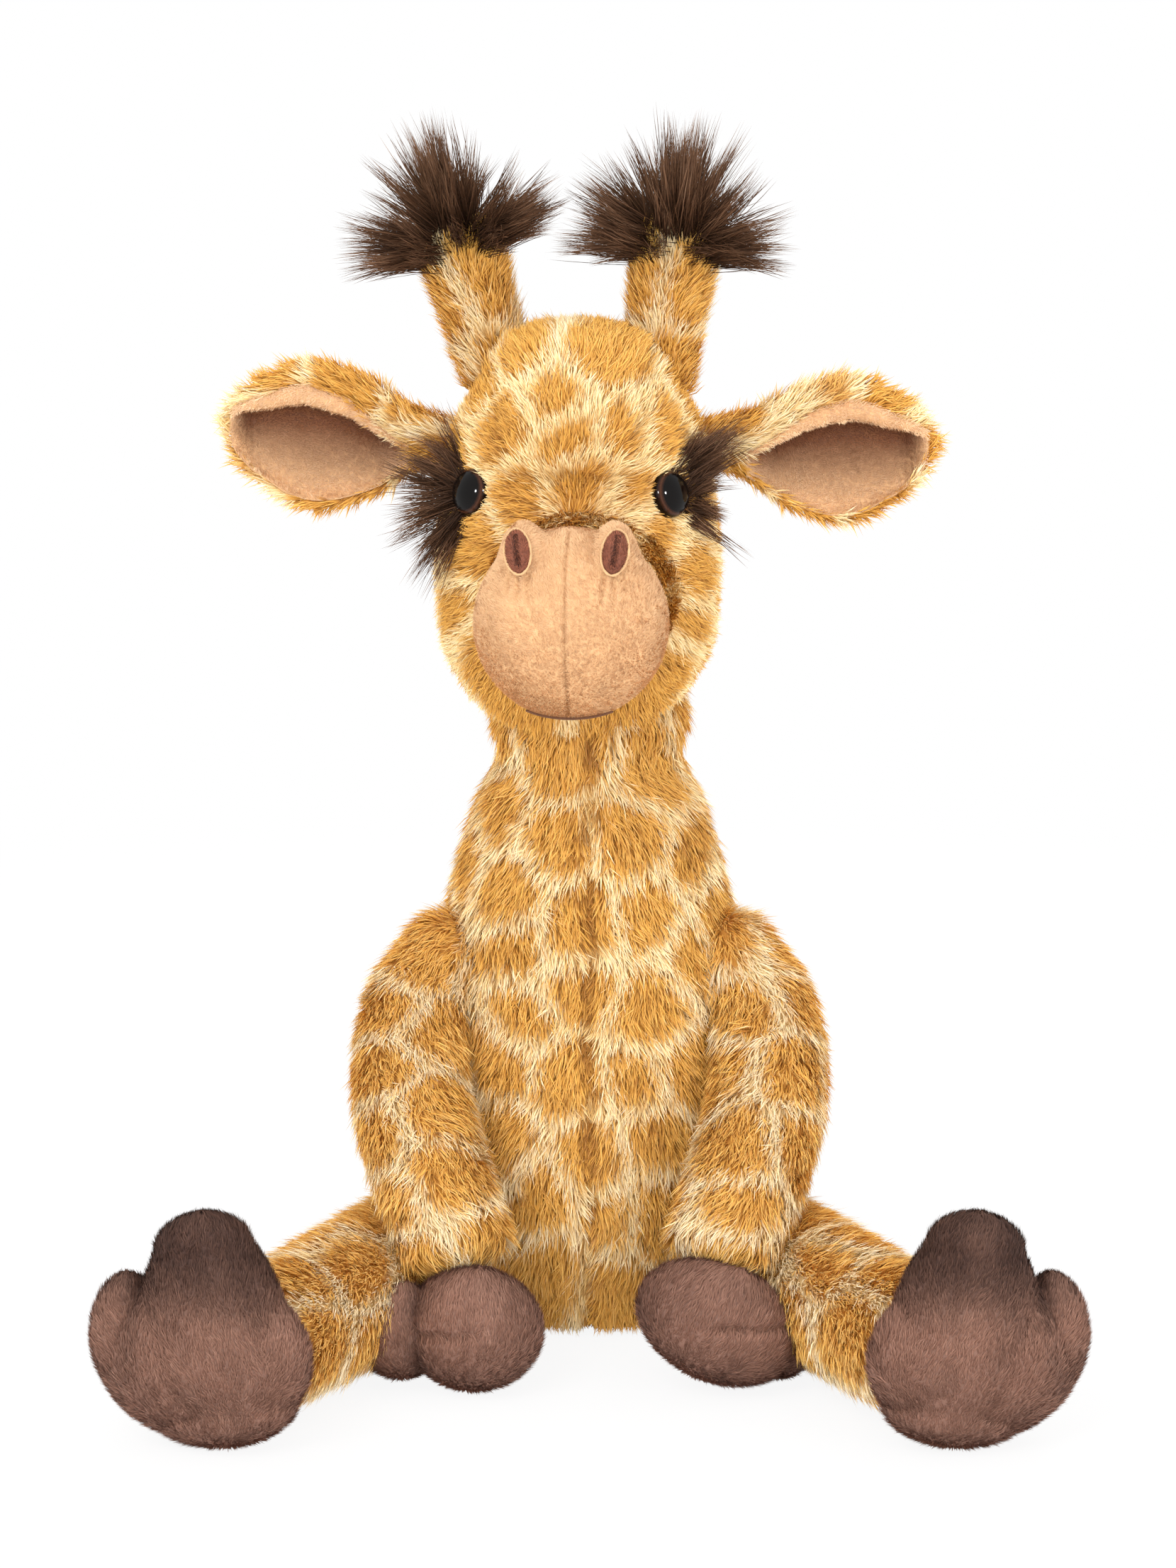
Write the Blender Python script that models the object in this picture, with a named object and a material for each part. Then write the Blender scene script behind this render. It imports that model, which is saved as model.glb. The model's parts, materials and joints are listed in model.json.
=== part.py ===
"""A seated plush giraffe, modelled as the sewn toy is put together.

Units are metres and +Z is up. The toy sits on z = 0 and faces -Y, so the toy's own left is +X.
Every soft form is a closed loft that swells and tapers along a smooth line. A smaller form is
cut by the larger one that it is sewn to, with a small clearance between the two.
"""

import math

import bmesh
import bpy
import numpy as np
from mathutils import Matrix, Vector

# Clearances and floor
SKIN_GAP = 0.0003
FLOOR_TRIM = 0.0005
OVERRUN = 0.030

# Torso with its neck, as one stuffed form
TORSO_HEIGHT = 0.200
TORSO_HALF_WIDTH = 0.058
TORSO_HALF_DEPTH = 0.053
TORSO_SETBACK = 0.004
NECK_BALL_RADIUS = 0.033
# Height, half width and half depth of each row
TORSO_shares = (
    (0.000, 0.74, 0.72),
    (0.035, 0.90, 0.87),
    (0.175, 1.00, 1.00),
    (0.325, 0.98, 0.98),
    (0.475, 0.92, 0.90),
    (0.625, 0.865, 0.81),
    (0.750, 0.775, 0.73),
    (0.860, 0.66, 0.66),
    (0.940, 0.543, 0.59),
)

# Seat pocket with its pellet bag and the panel that closes it
SEAT_HALF_WIDTH = 0.023
SEAT_HALF_DEPTH = 0.022
SEAT_SETBACK = 0.014
SEAT_POCKET_HEIGHT = 0.024
SEAT_PANEL_THICKNESS = 0.0012
# Height and girth of each row, and the two end caps, of the bag's room
SEAT_BAG_shares = ((0.10, 0.90), (0.25, 0.985), (0.42, 0.985))
SEAT_BAG_CAP_shares = (0.10, 0.56)

# Head, in its own frame with the neck ball's centre as its zero
HEAD_TURN = math.radians(-4.5)
HEAD_OFFSET = -0.0035
HEAD_HEIGHT = 0.112
HEAD_CROWN = 0.015
HEAD_HALF_WIDTH = 0.0460
HEAD_HALF_DEPTH = 0.043
HEAD_REACH = 0.007
HEAD_NOD = math.radians(15.0)
# Height, half width, half depth and forward bulge of each row
HEAD_shares = (
    (0.055, 0.80, 0.82, 0.0),
    (0.125, 0.875, 0.89, 0.4),
    (0.270, 0.97, 0.98, 0.8),
    (0.490, 1.00, 1.00, 1.0),
    (0.710, 0.965, 0.99, 0.8),
    (0.880, 0.84, 0.89, 0.5),
    (1.000, 0.64, 0.70, 0.2),
)
SNOUT_HALF_WIDTH = 0.0265
SNOUT_HALF_HEIGHT = 0.0255
SNOUT_REACH = 0.066
SNOUT_LIFT = 0.047
SNOUT_START_share = 0.30
SNOUT_taper_shares = (1.12, 1.05, 0.96, 0.86)

# Muzzle bulb, its nostril bumps, the nostril patches and the stitched mouth
MUZZLE_HALF_WIDTH = 0.0295
MUZZLE_HALF_DEPTH = 0.0260
MUZZLE_HALF_HEIGHT = 0.0295
MUZZLE_REACH = 0.074
MUZZLE_LIFT = 0.0415
BUMP_SPREAD = 0.0155
BUMP_REACH = 0.0825
BUMP_LIFT = 0.0600
BUMP_HALF_WIDTH = 0.0085
BUMP_HALF_DEPTH = 0.0115
BUMP_HALF_HEIGHT = 0.0125
NOSTRIL_HALF_WIDTH = 0.0040
NOSTRIL_HALF_HEIGHT = 0.0064
NOSTRIL_THICKNESS = 0.0016
STITCH_RADIUS = 0.0009
MOUTH_HALF_ANGLE = math.radians(26.0)
MOUTH_DIP = math.radians(52.0)
MOUTH_CURL_share = 0.25

# Safety eyes: a domed head, a shank through the cloth and a washer behind it
EYE_RADIUS = 0.0076
EYE_DOME = 0.0046
EYE_RIM = 0.0012
EYE_SHANK_RADIUS = 0.0021
EYE_SHANK_LENGTH = 0.0085
EYE_LIFT = 0.079
EYE_BEARING = math.radians(49.0)
EYE_PITCH = math.radians(6.0)
EYE_SINK = 0.0016
WASHER_RADIUS = 0.0065
WASHER_THICKNESS = 0.0016
WASHER_DEPTH = 0.0040

# Long-haired tufts beside the eyes
LASH_LENGTH = 0.022
LASH_ROOT_HALF_HEIGHT = 0.0070
LASH_TIP_HALF_HEIGHT = 0.0140
LASH_HALF_THICKNESS = 0.0032
LASH_BEARING = math.radians(66.0)
LASH_RISE_LEFT = math.radians(12.0)
LASH_RISE_RIGHT = math.radians(-16.0)
# Distance from the eye, and growth from root height to tip height, of each row
LASH_shares = ((0.12, 0.0), (0.42, 0.45), (0.72, 0.85), (0.92, 1.0))

# Horns, which lean unequally, and the tufts of hair on them
HORN_SPREAD = 0.0250
HORN_FOOT_LIFT = 0.108
HORN_TOP_LIFT = 0.152
HORN_SETBACK = 0.001
HORN_FOOT_RADIUS = 0.0100
HORN_TOP_RADIUS = 0.0120
HORN_LEAN_RIGHT = 0.0130
HORN_LEAN_LEFT = 0.0060
HORN_shares = (0.0, 0.35, 0.70, 1.0)
HORN_CAP_shares = (1.0, 0.5)
TUFT_HEIGHT = 0.037
TUFT_HALF_WIDTH = 0.0270
TUFT_HALF_DEPTH = 0.0190
# Height, half width and half depth of each row
TUFT_shares = (
    (0.00, 0.36, 0.50),
    (0.22, 0.62, 0.72),
    (0.50, 0.92, 0.95),
    (0.72, 0.98, 1.00),
)

# Ears, hinged at a small root ball beside the head
EAR_ROOT_SPREAD = 0.0430
EAR_ROOT_LIFT = 0.0920
EAR_ROOT_RADIUS = 0.0080
EAR_ROOM = 0.0008
EAR_LENGTH = 0.074
EAR_HALF_HEIGHT = 0.0245
EAR_HALF_THICKNESS = 0.0055
EAR_FORWARD = 0.006
EAR_RISE_LEFT = math.radians(-2.5)
EAR_RISE_RIGHT = math.radians(2.0)
# Distance from the root, half height and half thickness of each row
EAR_shares = (
    (0.00, 0.327, 1.40),
    (0.16, 0.46, 1.25),
    (0.36, 0.82, 1.10),
    (0.58, 1.00, 1.00),
    (0.80, 0.84, 0.86),
)
EAR_TIP_share = 0.20
LINING_INSET = 0.0045
LINING_DEPTH = 0.0050
LINING_THICKNESS = 0.0022
LINING_GAP = 0.0006

# Front limbs, swinging at the shoulders
SHOULDER_SPREAD = 0.047
SHOULDER_RADIUS = 0.017
SHOULDER_ROOM = 0.0023
SHOULDER_HEIGHT = 0.122
SHOULDER_FORWARD = 0.008
ARM_REACH = 0.072
ARM_DROP = 0.080
ARM_RADIUS = 0.0205
ARM_BOW = 0.011
# Reach, drop, bow and girth of each row
ARM_shares = (
    (0.17, 0.20, 0.90, 0.94),
    (0.47, 0.49, 1.00, 1.00),
    (0.80, 0.78, 0.25, 1.00),
    (1.00, 1.00, -0.45, 0.96),
)
ARM_END_share = 0.35
ARM_PASS_ANGLES = (math.radians(5.0), math.radians(10.0))
HOOF_INWARD = 0.0065
HOOF_AHEAD = 0.0125
HOOF_SPREAD = SHOULDER_SPREAD - HOOF_INWARD
HOOF_FORWARD = SHOULDER_FORWARD + ARM_REACH + HOOF_AHEAD
HOOF_HALF_WIDTH = 0.0265
HOOF_HALF_DEPTH = 0.0200
HOOF_HALF_HEIGHT = 0.0195
HOOF_TILT = math.radians(9.0)
HOOF_TOE_BESIDE = 0.0180
HOOF_TOE_BEHIND = 0.0065
HOOF_TOE_HALF_WIDTH = 0.0120
HOOF_TOE_HALF_DEPTH = 0.0150
HOOF_TOE_HALF_HEIGHT = 0.0125

# Hind limbs, swinging sideways at the hips
HIP_SPREAD = 0.046
HIP_FORWARD = 0.014
LEG_RADIUS = 0.0255
LEG_SPLAY = 0.054
LEG_REACH = 0.110
LEG_ANKLE_LIFT = 0.0035
# Splay, reach and girth of each row
LEG_shares = (
    (0.00, 0.00, 1.00),
    (0.34, 0.34, 1.00),
    (0.70, 0.70, 0.95),
    (1.00, 1.00, 0.88),
)
LEG_END_share = 0.45

# Hind hooves with their pellet bags
FOOT_BESIDE = 0.0130
FOOT_AHEAD = 0.0200
FOOT_SPREAD = HIP_SPREAD + LEG_SPLAY + FOOT_BESIDE
FOOT_FORWARD = HIP_FORWARD + LEG_REACH + FOOT_AHEAD
FOOT_HEIGHT = 0.073
FOOT_HALF_WIDTH = 0.0305
FOOT_HALF_DEPTH = 0.0215
FOOT_LEAN = 0.0080
FOOT_YAW = math.radians(14.0)
# Height, half width and half depth of each row
FOOT_shares = (
    (0.17, 0.76, 0.80),
    (0.33, 0.99, 0.98),
    (0.53, 0.97, 1.00),
    (0.72, 0.84, 0.90),
    (0.86, 0.62, 0.70),
)
FOOT_SOLE_CAP_share = 0.177
FOOT_TOP_CAP_share = 0.14
TOE_SPREAD = 0.0240
TOE_HALF_WIDTH = 0.0175
TOE_HALF_DEPTH = 0.0180
TOE_HALF_HEIGHT = 0.0245
TOE_LIFT = 0.0335
BAG_HALF_WIDTH = 0.0185
BAG_HALF_DEPTH = 0.0120
BAG_HALF_HEIGHT = 0.0215
BAG_SETBACK = 0.0055
BAG_LIFT = 0.031

# Tail
TAIL_ROOT_HEIGHT = 0.032
TAIL_ROOT_SETBACK = 0.0545
TAIL_ROOT_RADIUS = 0.0062
TAIL_SWING = math.radians(35.0)
TAIL_SWING_shares = (-1.0, -0.65, -0.3, 0.3, 0.65, 1.0)
TAIL_RADIUS = 0.0052
TAIL_LENGTH = 0.046
TAIL_DROP = 0.0225
TAIL_TUFT_LENGTH = 0.030
TAIL_TUFT_RADIUS = 0.0092
# Reach, drop and girth of each row
TAIL_shares = ((0.0, 0.0, 1.19), (0.35, 0.22, 1.0), (0.70, 0.75, 0.96), (1.0, 1.0, 0.92))
# Reach and girth of each row
TAIL_TUFT_shares = ((0.0, 0.62), (0.35, 1.0), (0.75, 0.86))

# Mane, one strip on the head and one on the neck
MANE_HALF_WIDTH = 0.0045
MANE_RISE = 0.0065
MANE_HEAD_MIDDLE_share = 0.52
MANE_HEAD_REACH_share = 0.60
MANE_HEAD_SWEEP_share = 0.85
MANE_HEAD_TOP_share = 0.13
MANE_HEAD_FOOT_share = 0.74
MANE_NECK_TOP_share = 0.90
MANE_NECK_FOOT_share = 0.56

# Facets
BODY_SIDES = 22
LIMB_SIDES = 14
HOOF_SIDES = 16
SMALL_SIDES = 10
SOCKET_SIDES = 18
EYE_SIDES = 20
EYE_RINGS = 5
STITCH_SIDES = 8
STITCH_RINGS = 13
CAP_RINGS = 3
HORN_RINGS = 7
EAR_RINGS = 8
LINING_RINGS = 6
TAIL_RINGS = 9
FOOT_RINGS = 9
MANE_RINGS = 9
CREASE_ANGLE = math.radians(40)

# Colours, linear, with each look's roughness
FUR = ((0.62, 0.38, 0.14), 0.95)
SHORT_PLUSH = ((0.78, 0.50, 0.31), 0.92)
HOOF_PLUSH = ((0.17, 0.085, 0.065), 0.92)
HAIR = ((0.065, 0.035, 0.022), 0.85)
NOSTRIL_PLUSH = ((0.20, 0.065, 0.035), 0.92)
STITCH = ((0.12, 0.05, 0.03), 0.80)
EYE_GLOSS = ((0.006, 0.005, 0.005), 0.08)
WASHER_PLASTIC = ((0.75, 0.75, 0.72), 0.45)
LINEN = ((0.70, 0.66, 0.58), 0.90)

AXIS_X = Vector((1, 0, 0))
AXIS_Y = Vector((0, 1, 0))
AXIS_Z = Vector((0, 0, 1))


def material(name, look):
    """A Principled material with one colour and one roughness."""
    colour, roughness = look
    made = bpy.data.materials.new(name)
    made.use_nodes = True
    shader = made.node_tree.nodes["Principled BSDF"]
    shader.inputs["Base Color"].default_value = (*colour, 1)
    shader.inputs["Roughness"].default_value = roughness
    shader.inputs["Metallic"].default_value = 0
    made.diffuse_color = (*colour, 1)
    return made


def mesh_object(name, points, faces):
    """An object with one closed mesh whose faces point out."""
    mesh = bpy.data.meshes.new(name)
    mesh.from_pydata([tuple(p) for p in points], [], faces)
    work = bmesh.new()
    work.from_mesh(mesh)
    bmesh.ops.recalc_face_normals(work, faces=work.faces)
    work.to_mesh(mesh)
    work.free()
    made = bpy.data.objects.new(name, mesh)
    bpy.context.scene.collection.objects.link(made)
    return made


def smooth_rows(rows, count):
    """Rows of numbers, read at even steps from a smooth curve through the given rows."""
    table = np.array(rows, dtype=float)
    ends = np.vstack([2 * table[0] - table[1], table, 2 * table[-1] - table[-2]])
    places = np.linspace(0, len(table) - 1, count)
    found = []
    for place in places:
        k = min(int(place), len(table) - 2)
        t = place - k
        a, b, c, d = ends[k : k + 4]
        slope_in = (c - a) / 2
        slope_out = (d - b) / 2
        t2 = t * t
        t3 = t2 * t
        row = (2 * t3 - 3 * t2 + 1) * b + (t3 - 2 * t2 + t) * slope_in
        row = row + (3 * t2 - 2 * t3) * c + (t3 - t2) * slope_out
        found.append(row)
    return np.array(found)


def loft(name, rows, side, sides, rings, caps, grow=0.0):
    """A closed form along a smooth line.

    Each row holds the centre's x, y and z, the half width along side and the half depth across
    it. The two caps are half ellipsoids of the given lengths; a cap of zero is a flat end.
    """
    table = smooth_rows(rows, rings)
    centres = table[:, :3]
    radii = table[:, 3:5] + grow
    tangents = np.gradient(centres, axis=0)
    tangents /= np.linalg.norm(tangents, axis=1)[:, None]
    stack = []
    first = caps[0] + (grow if caps[0] > 0 else 0)
    last = caps[1] + (grow if caps[1] > 0 else 0)
    if first > 0:
        for k in range(CAP_RINGS - 1, 0, -1):
            turn = math.pi / 2 * k / CAP_RINGS
            centre = centres[0] - tangents[0] * first * math.sin(turn)
            stack.append((centre, radii[0] * math.cos(turn), tangents[0]))
    stack += list(zip(centres, radii, tangents))
    if last > 0:
        for k in range(1, CAP_RINGS):
            turn = math.pi / 2 * k / CAP_RINGS
            centre = centres[-1] + tangents[-1] * last * math.sin(turn)
            stack.append((centre, radii[-1] * math.cos(turn), tangents[-1]))
    points = []
    for centre, (wide, deep), tangent in stack:
        across = np.array(side) - tangent * np.dot(side, tangent)
        across /= np.linalg.norm(across)
        down = np.cross(tangent, across)
        for k in range(sides):
            turn = 2 * math.pi * k / sides
            points.append(centre + across * wide * math.cos(turn) + down * deep * math.sin(turn))
    faces = []
    for row in range(len(stack) - 1):
        for k in range(sides):
            a = row * sides + k
            b = row * sides + (k + 1) % sides
            faces.append((a, b, b + sides, a + sides))
    top = (len(stack) - 1) * sides
    points.append(centres[0] - tangents[0] * first)
    points.append(centres[-1] + tangents[-1] * last)
    for k in range(sides):
        faces.append((len(points) - 2, (k + 1) % sides, k))
        faces.append((len(points) - 1, top + k, top + (k + 1) % sides))
    return mesh_object(name, points, faces)


def ellipsoid(name, centre, radii, sides, grow=0.0, turn=None):
    """An ellipsoid of three half sizes, turned about its centre by a matrix."""
    rings = sides // 2
    turn = turn or Matrix.Identity(3)
    size = Vector([r + grow for r in radii])
    points = []
    for row in range(1, rings):
        lift = math.pi * row / rings - math.pi / 2
        for k in range(sides):
            bearing = 2 * math.pi * k / sides
            level = math.cos(lift)
            unit = Vector((level * math.cos(bearing), level * math.sin(bearing), math.sin(lift)))
            points.append(Vector(centre) + turn @ (unit * size))
    faces = []
    for row in range(rings - 2):
        for k in range(sides):
            a = row * sides + k
            b = row * sides + (k + 1) % sides
            faces.append((a, b, b + sides, a + sides))
    top = (rings - 2) * sides
    points.append(Vector(centre) - turn @ (AXIS_Z * size.z))
    points.append(Vector(centre) + turn @ (AXIS_Z * size.z))
    for k in range(sides):
        faces.append((len(points) - 2, (k + 1) % sides, k))
        faces.append((len(points) - 1, top + k, top + (k + 1) % sides))
    return mesh_object(name, points, faces)


def socket_ball(name, centre, radius, sides, room=SKIN_GAP):
    """A ball whose flat facets all clear a ball of the given radius by the room."""
    size = (radius + room) / math.cos(math.pi / sides) ** 2
    return ellipsoid(name, centre, (size, size, size), sides)


def core_ball(name, centre, radius, sides):
    """A ball that turns inside the socket ball of the same radius with room to spare."""
    size = radius + SKIN_GAP / 2
    return ellipsoid(name, centre, (size, size, size), sides)


def turned(name, profile, sides, frame):
    """A solid of revolution about a frame's z axis; the profile runs from axis to axis."""
    points = []
    rows = []
    for radius, height in profile:
        if radius == 0:
            rows.append([len(points)])
            points.append(frame @ Vector((0, 0, height)))
            continue
        rows.append(list(range(len(points), len(points) + sides)))
        for k in range(sides):
            bearing = 2 * math.pi * k / sides
            spot = Vector((radius * math.cos(bearing), radius * math.sin(bearing), height))
            points.append(frame @ spot)
    faces = []
    for low, high in zip(rows, rows[1:]):
        for k in range(sides):
            n = (k + 1) % sides
            if len(low) == 1:
                faces.append((low[0], high[k], high[n]))
            elif len(high) == 1:
                faces.append((low[k], high[0], low[n]))
            else:
                faces.append((low[k], high[k], high[n], low[n]))
    return mesh_object(name, points, faces)


def slab(name, low, high):
    """A box between two corners."""
    points = [(x, y, z) for x in (low[0], high[0]) for y in (low[1], high[1]) for z in (low[2], high[2])]
    faces = [(0, 1, 3, 2), (4, 6, 7, 5), (0, 4, 5, 1), (2, 3, 7, 6), (0, 2, 6, 4), (1, 5, 7, 3)]
    return mesh_object(name, points, faces)


def combine(target, others, operation):
    """The target after Boolean steps with other objects, which are used up."""
    for other in others:
        step = target.modifiers.new(other.name, "BOOLEAN")
        step.operation = operation
        step.object = other
    depsgraph = bpy.context.evaluated_depsgraph_get()
    old = target.data
    target.data = bpy.data.meshes.new_from_object(target.evaluated_get(depsgraph))
    target.modifiers.clear()
    for gone in others:
        bpy.data.objects.remove(gone)
    bpy.data.meshes.remove(old)
    return target


def cut(target, *others):
    """The target less the others."""
    return combine(target, others, "DIFFERENCE")


def fuse(target, *others):
    """The target joined with the others."""
    return combine(target, others, "UNION")


def settle(made, look, origin, parent, base=(0, 0, 0)):
    """Give the piece its material, its own origin and its parent, whose place is the base."""
    made.data.transform(Matrix.Translation(-Vector(origin)))
    made.data.materials.clear()
    made.data.materials.append(look)
    made.data.shade_smooth()
    made.data.set_sharp_from_angle(angle=CREASE_ANGLE)
    made.parent = parent
    made.location = Vector(origin) - Vector(base)
    return made


def pivot(name, location, parent=None, turn=0.0):
    """An empty on a joint's axis; its pieces are placed in its frame."""
    made = bpy.data.objects.new(name, None)
    made.location = location
    made.rotation_euler = (0, 0, turn)
    made.parent = parent
    bpy.context.scene.collection.objects.link(made)
    return made


# Shared forms


def torso_form(name, sides, rings, grow=0.0):
    """The torso and neck, from the flat seat up to the ball that carries the head.

    A grown torso also runs on below the seat, so that a cut leaves no thin sliver there.
    """
    rows = [
        (0, TORSO_SETBACK, TORSO_HEIGHT * up, TORSO_HALF_WIDTH * wide, TORSO_HALF_DEPTH * deep)
        for up, wide, deep in TORSO_shares
    ]
    rows.append((0, TORSO_SETBACK, TORSO_HEIGHT, NECK_BALL_RADIUS, NECK_BALL_RADIUS))
    return loft(name, rows, AXIS_X, sides, rings, (OVERRUN if grow else 0, NECK_BALL_RADIUS), grow)


def hip_point(side):
    """The middle of a hip ball."""
    return Vector((side * HIP_SPREAD, -HIP_FORWARD, LEG_RADIUS - FLOOR_TRIM))


def shoulder_point(side):
    """The middle of a shoulder ball."""
    return Vector((side * SHOULDER_SPREAD, -SHOULDER_FORWARD, SHOULDER_HEIGHT))


def ear_point(side):
    """The middle of an ear's root ball, in the head's frame."""
    return Vector((HEAD_OFFSET + side * EAR_ROOT_SPREAD, 0, EAR_ROOT_LIFT))


def tail_point():
    """The middle of the tail's root ball."""
    return Vector((0, TAIL_ROOT_SETBACK, TAIL_ROOT_HEIGHT))


def tail_rows():
    """Rows of the tail, in the frame of its root."""
    return [
        (0, TAIL_LENGTH * back, -TAIL_DROP * down, TAIL_RADIUS * thick, TAIL_RADIUS * thick)
        for back, down, thick in TAIL_shares
    ]


def tail_form(name, grow=0.0):
    """The tail without its tuft, in the frame of its root."""
    caps = (TAIL_ROOT_RADIUS, TAIL_RADIUS)
    return loft(name, tail_rows(), AXIS_X, SMALL_SIDES, TAIL_RINGS, caps, grow)


def torso_cutter(name, *sockets):
    """The torso grown by the skin gap, less the sockets given."""
    made = torso_form(name, BODY_SIDES, BODY_SIDES // 2, SKIN_GAP)
    return cut(made, *sockets) if sockets else made


def head_form(name, sides, grow=0.0):
    """The head without its snout, in the head's own frame."""
    rows = [
        (
            HEAD_OFFSET,
            -HEAD_REACH * bulge,
            HEAD_HEIGHT * up,
            HEAD_HALF_WIDTH * wide,
            HEAD_HALF_DEPTH * deep,
        )
        for up, wide, deep, bulge in HEAD_shares
    ]
    foot = HEAD_HEIGHT * HEAD_shares[0][0]
    return loft(name, rows, AXIS_X, sides, sides // 2, (foot, HEAD_CROWN), grow)


def snout_form(name, sides, grow=0.0):
    """The furred bridge that carries the muzzle."""
    rows = []
    for k, taper in enumerate(SNOUT_taper_shares):
        along = SNOUT_START_share + (1 - SNOUT_START_share) * k / (len(SNOUT_taper_shares) - 1)
        rows.append(
            (0, -SNOUT_REACH * along, SNOUT_LIFT, SNOUT_HALF_WIDTH * taper, SNOUT_HALF_HEIGHT * taper)
        )
    end = SNOUT_HALF_HEIGHT * SNOUT_START_share
    return loft(name, rows, AXIS_X, sides, sides // 3, (end, end), grow)


def leg_form(name, side, sides, grow=0.0):
    """One hind limb from its hip ball to the ankle."""
    rows = [
        (
            side * (HIP_SPREAD + LEG_SPLAY * out),
            -(HIP_FORWARD + LEG_REACH * ahead),
            LEG_RADIUS - FLOOR_TRIM + LEG_ANKLE_LIFT * ahead * ahead - LEG_RADIUS * (1 - thick) * ahead,
            LEG_RADIUS * thick,
            LEG_RADIUS * thick,
        )
        for out, ahead, thick in LEG_shares
    ]
    return loft(name, rows, AXIS_Z, sides, sides // 2, (LEG_RADIUS, LEG_RADIUS * LEG_END_share), grow)


def arm_form(name, side, sides, grow=0.0):
    """One front limb from the shoulder to its cuff."""
    rows = [(*shoulder_point(side), SHOULDER_RADIUS, SHOULDER_RADIUS)]
    rows += [
        (
            side * (SHOULDER_SPREAD + ARM_BOW * bow),
            -(SHOULDER_FORWARD + ARM_REACH * ahead),
            SHOULDER_HEIGHT - ARM_DROP * down,
            ARM_RADIUS * thick,
            ARM_RADIUS * thick,
        )
        for ahead, down, bow, thick in ARM_shares
    ]
    caps = (SHOULDER_RADIUS, ARM_RADIUS * ARM_END_share)
    return loft(name, rows, AXIS_X, sides, sides // 2, caps, grow)


def ear_rows(side, inset=0.0, thin=0.0, ahead=0.0):
    """Rows of one ear's leaf shape, in the frame of its root."""
    rise = EAR_RISE_LEFT if side > 0 else EAR_RISE_RIGHT
    rows = []
    for along, tall, thick in EAR_shares:
        out = inset + (EAR_LENGTH - 2 * inset) * along
        rows.append(
            (
                side * out * math.cos(rise),
                -EAR_FORWARD * along - ahead,
                out * math.sin(rise),
                max(EAR_HALF_HEIGHT * tall - inset, inset * tall),
                max(EAR_HALF_THICKNESS * thick - thin, inset * tall),
            )
        )
    return rows


def floor_cutter(name):
    """A box under the floor, which flattens what stands on it."""
    reach = FOOT_FORWARD + FOOT_SPREAD
    return slab(name, (-reach, -reach, -OVERRUN), (reach, reach, 0))


def head_surface(bearing, lift):
    """A point of the head's side at a height, with the outward direction there."""
    rows = smooth_rows(HEAD_shares, BODY_SIDES * BODY_SIDES)
    row = rows[np.argmin(abs(rows[:, 0] - lift / HEAD_HEIGHT))]
    wide = HEAD_HALF_WIDTH * row[1]
    deep = HEAD_HALF_DEPTH * row[2]
    out = Vector((math.sin(bearing) / wide, -math.cos(bearing) / deep, 0))
    scale = 1 / math.hypot(out.x * wide, out.y * deep)
    ahead = HEAD_REACH * row[3]
    point = Vector((out.x * wide**2 * scale, out.y * deep**2 * scale - ahead, lift))
    return point, out.normalized()


# Pieces


def build_torso(looks):
    """Torso, seat panel and seat pellet bag."""
    torso = torso_form("torso", BODY_SIDES, BODY_SIDES // 2)
    dome = SEAT_POCKET_HEIGHT / 2
    pocket_rows = [
        (0, SEAT_SETBACK, height, SEAT_HALF_WIDTH + SKIN_GAP, SEAT_HALF_DEPTH + SKIN_GAP)
        for height in (-OVERRUN, 0, SEAT_POCKET_HEIGHT - dome)
    ]
    pocket = loft("pocket", pocket_rows, AXIS_X, BODY_SIDES, len(pocket_rows), (0, dome))
    sockets = []
    for side in (1, -1):
        shoulder = shoulder_point(side)
        sockets.append(socket_ball(f"hip_{side}", hip_point(side), LEG_RADIUS, SOCKET_SIDES))
        shape = (shoulder, SHOULDER_RADIUS, SOCKET_SIDES, SHOULDER_ROOM)
        sockets.append(socket_ball(f"shoulder_{side}", *shape))
    sockets.append(socket_ball("tail_socket", tail_point(), TAIL_ROOT_RADIUS, SMALL_SIDES))
    for share in TAIL_SWING_shares:
        swung = tail_form(f"tail_{share}", SKIN_GAP)
        swung.data.transform(Matrix.Rotation(TAIL_SWING * share, 4, AXIS_Z))
        swung.data.transform(Matrix.Translation(tail_point()))
        sockets.append(swung)
    cut(torso, pocket, *sockets)
    settle(torso, looks["fur"], (0, TORSO_SETBACK, 0), None)

    high = SEAT_PANEL_THICKNESS
    profile = ((0, 0), (SEAT_HALF_WIDTH, 0), (SEAT_HALF_WIDTH, high), (0, high))
    panel = turned("seat_panel", profile, BODY_SIDES, Matrix.Identity(4))
    panel.data.transform(Matrix.Diagonal((1, SEAT_HALF_DEPTH / SEAT_HALF_WIDTH, 1, 1)))
    panel.data.transform(Matrix.Translation((0, SEAT_SETBACK, 0)))
    settle(panel, looks["fur"], (0, SEAT_SETBACK, 0), None)

    room = SEAT_POCKET_HEIGHT - SEAT_PANEL_THICKNESS - 2 * SKIN_GAP
    foot = SEAT_PANEL_THICKNESS + SKIN_GAP
    bag_rows = [
        (0, SEAT_SETBACK, foot + room * up, SEAT_HALF_WIDTH * girth, SEAT_HALF_DEPTH * girth)
        for up, girth in SEAT_BAG_shares
    ]
    caps = [room * share for share in SEAT_BAG_CAP_shares]
    bag = loft("seat_pellet_bag", bag_rows, AXIS_X, LIMB_SIDES, len(bag_rows) + 1, caps)
    settle(bag, looks["linen"], (0, SEAT_SETBACK, foot), None)


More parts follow.
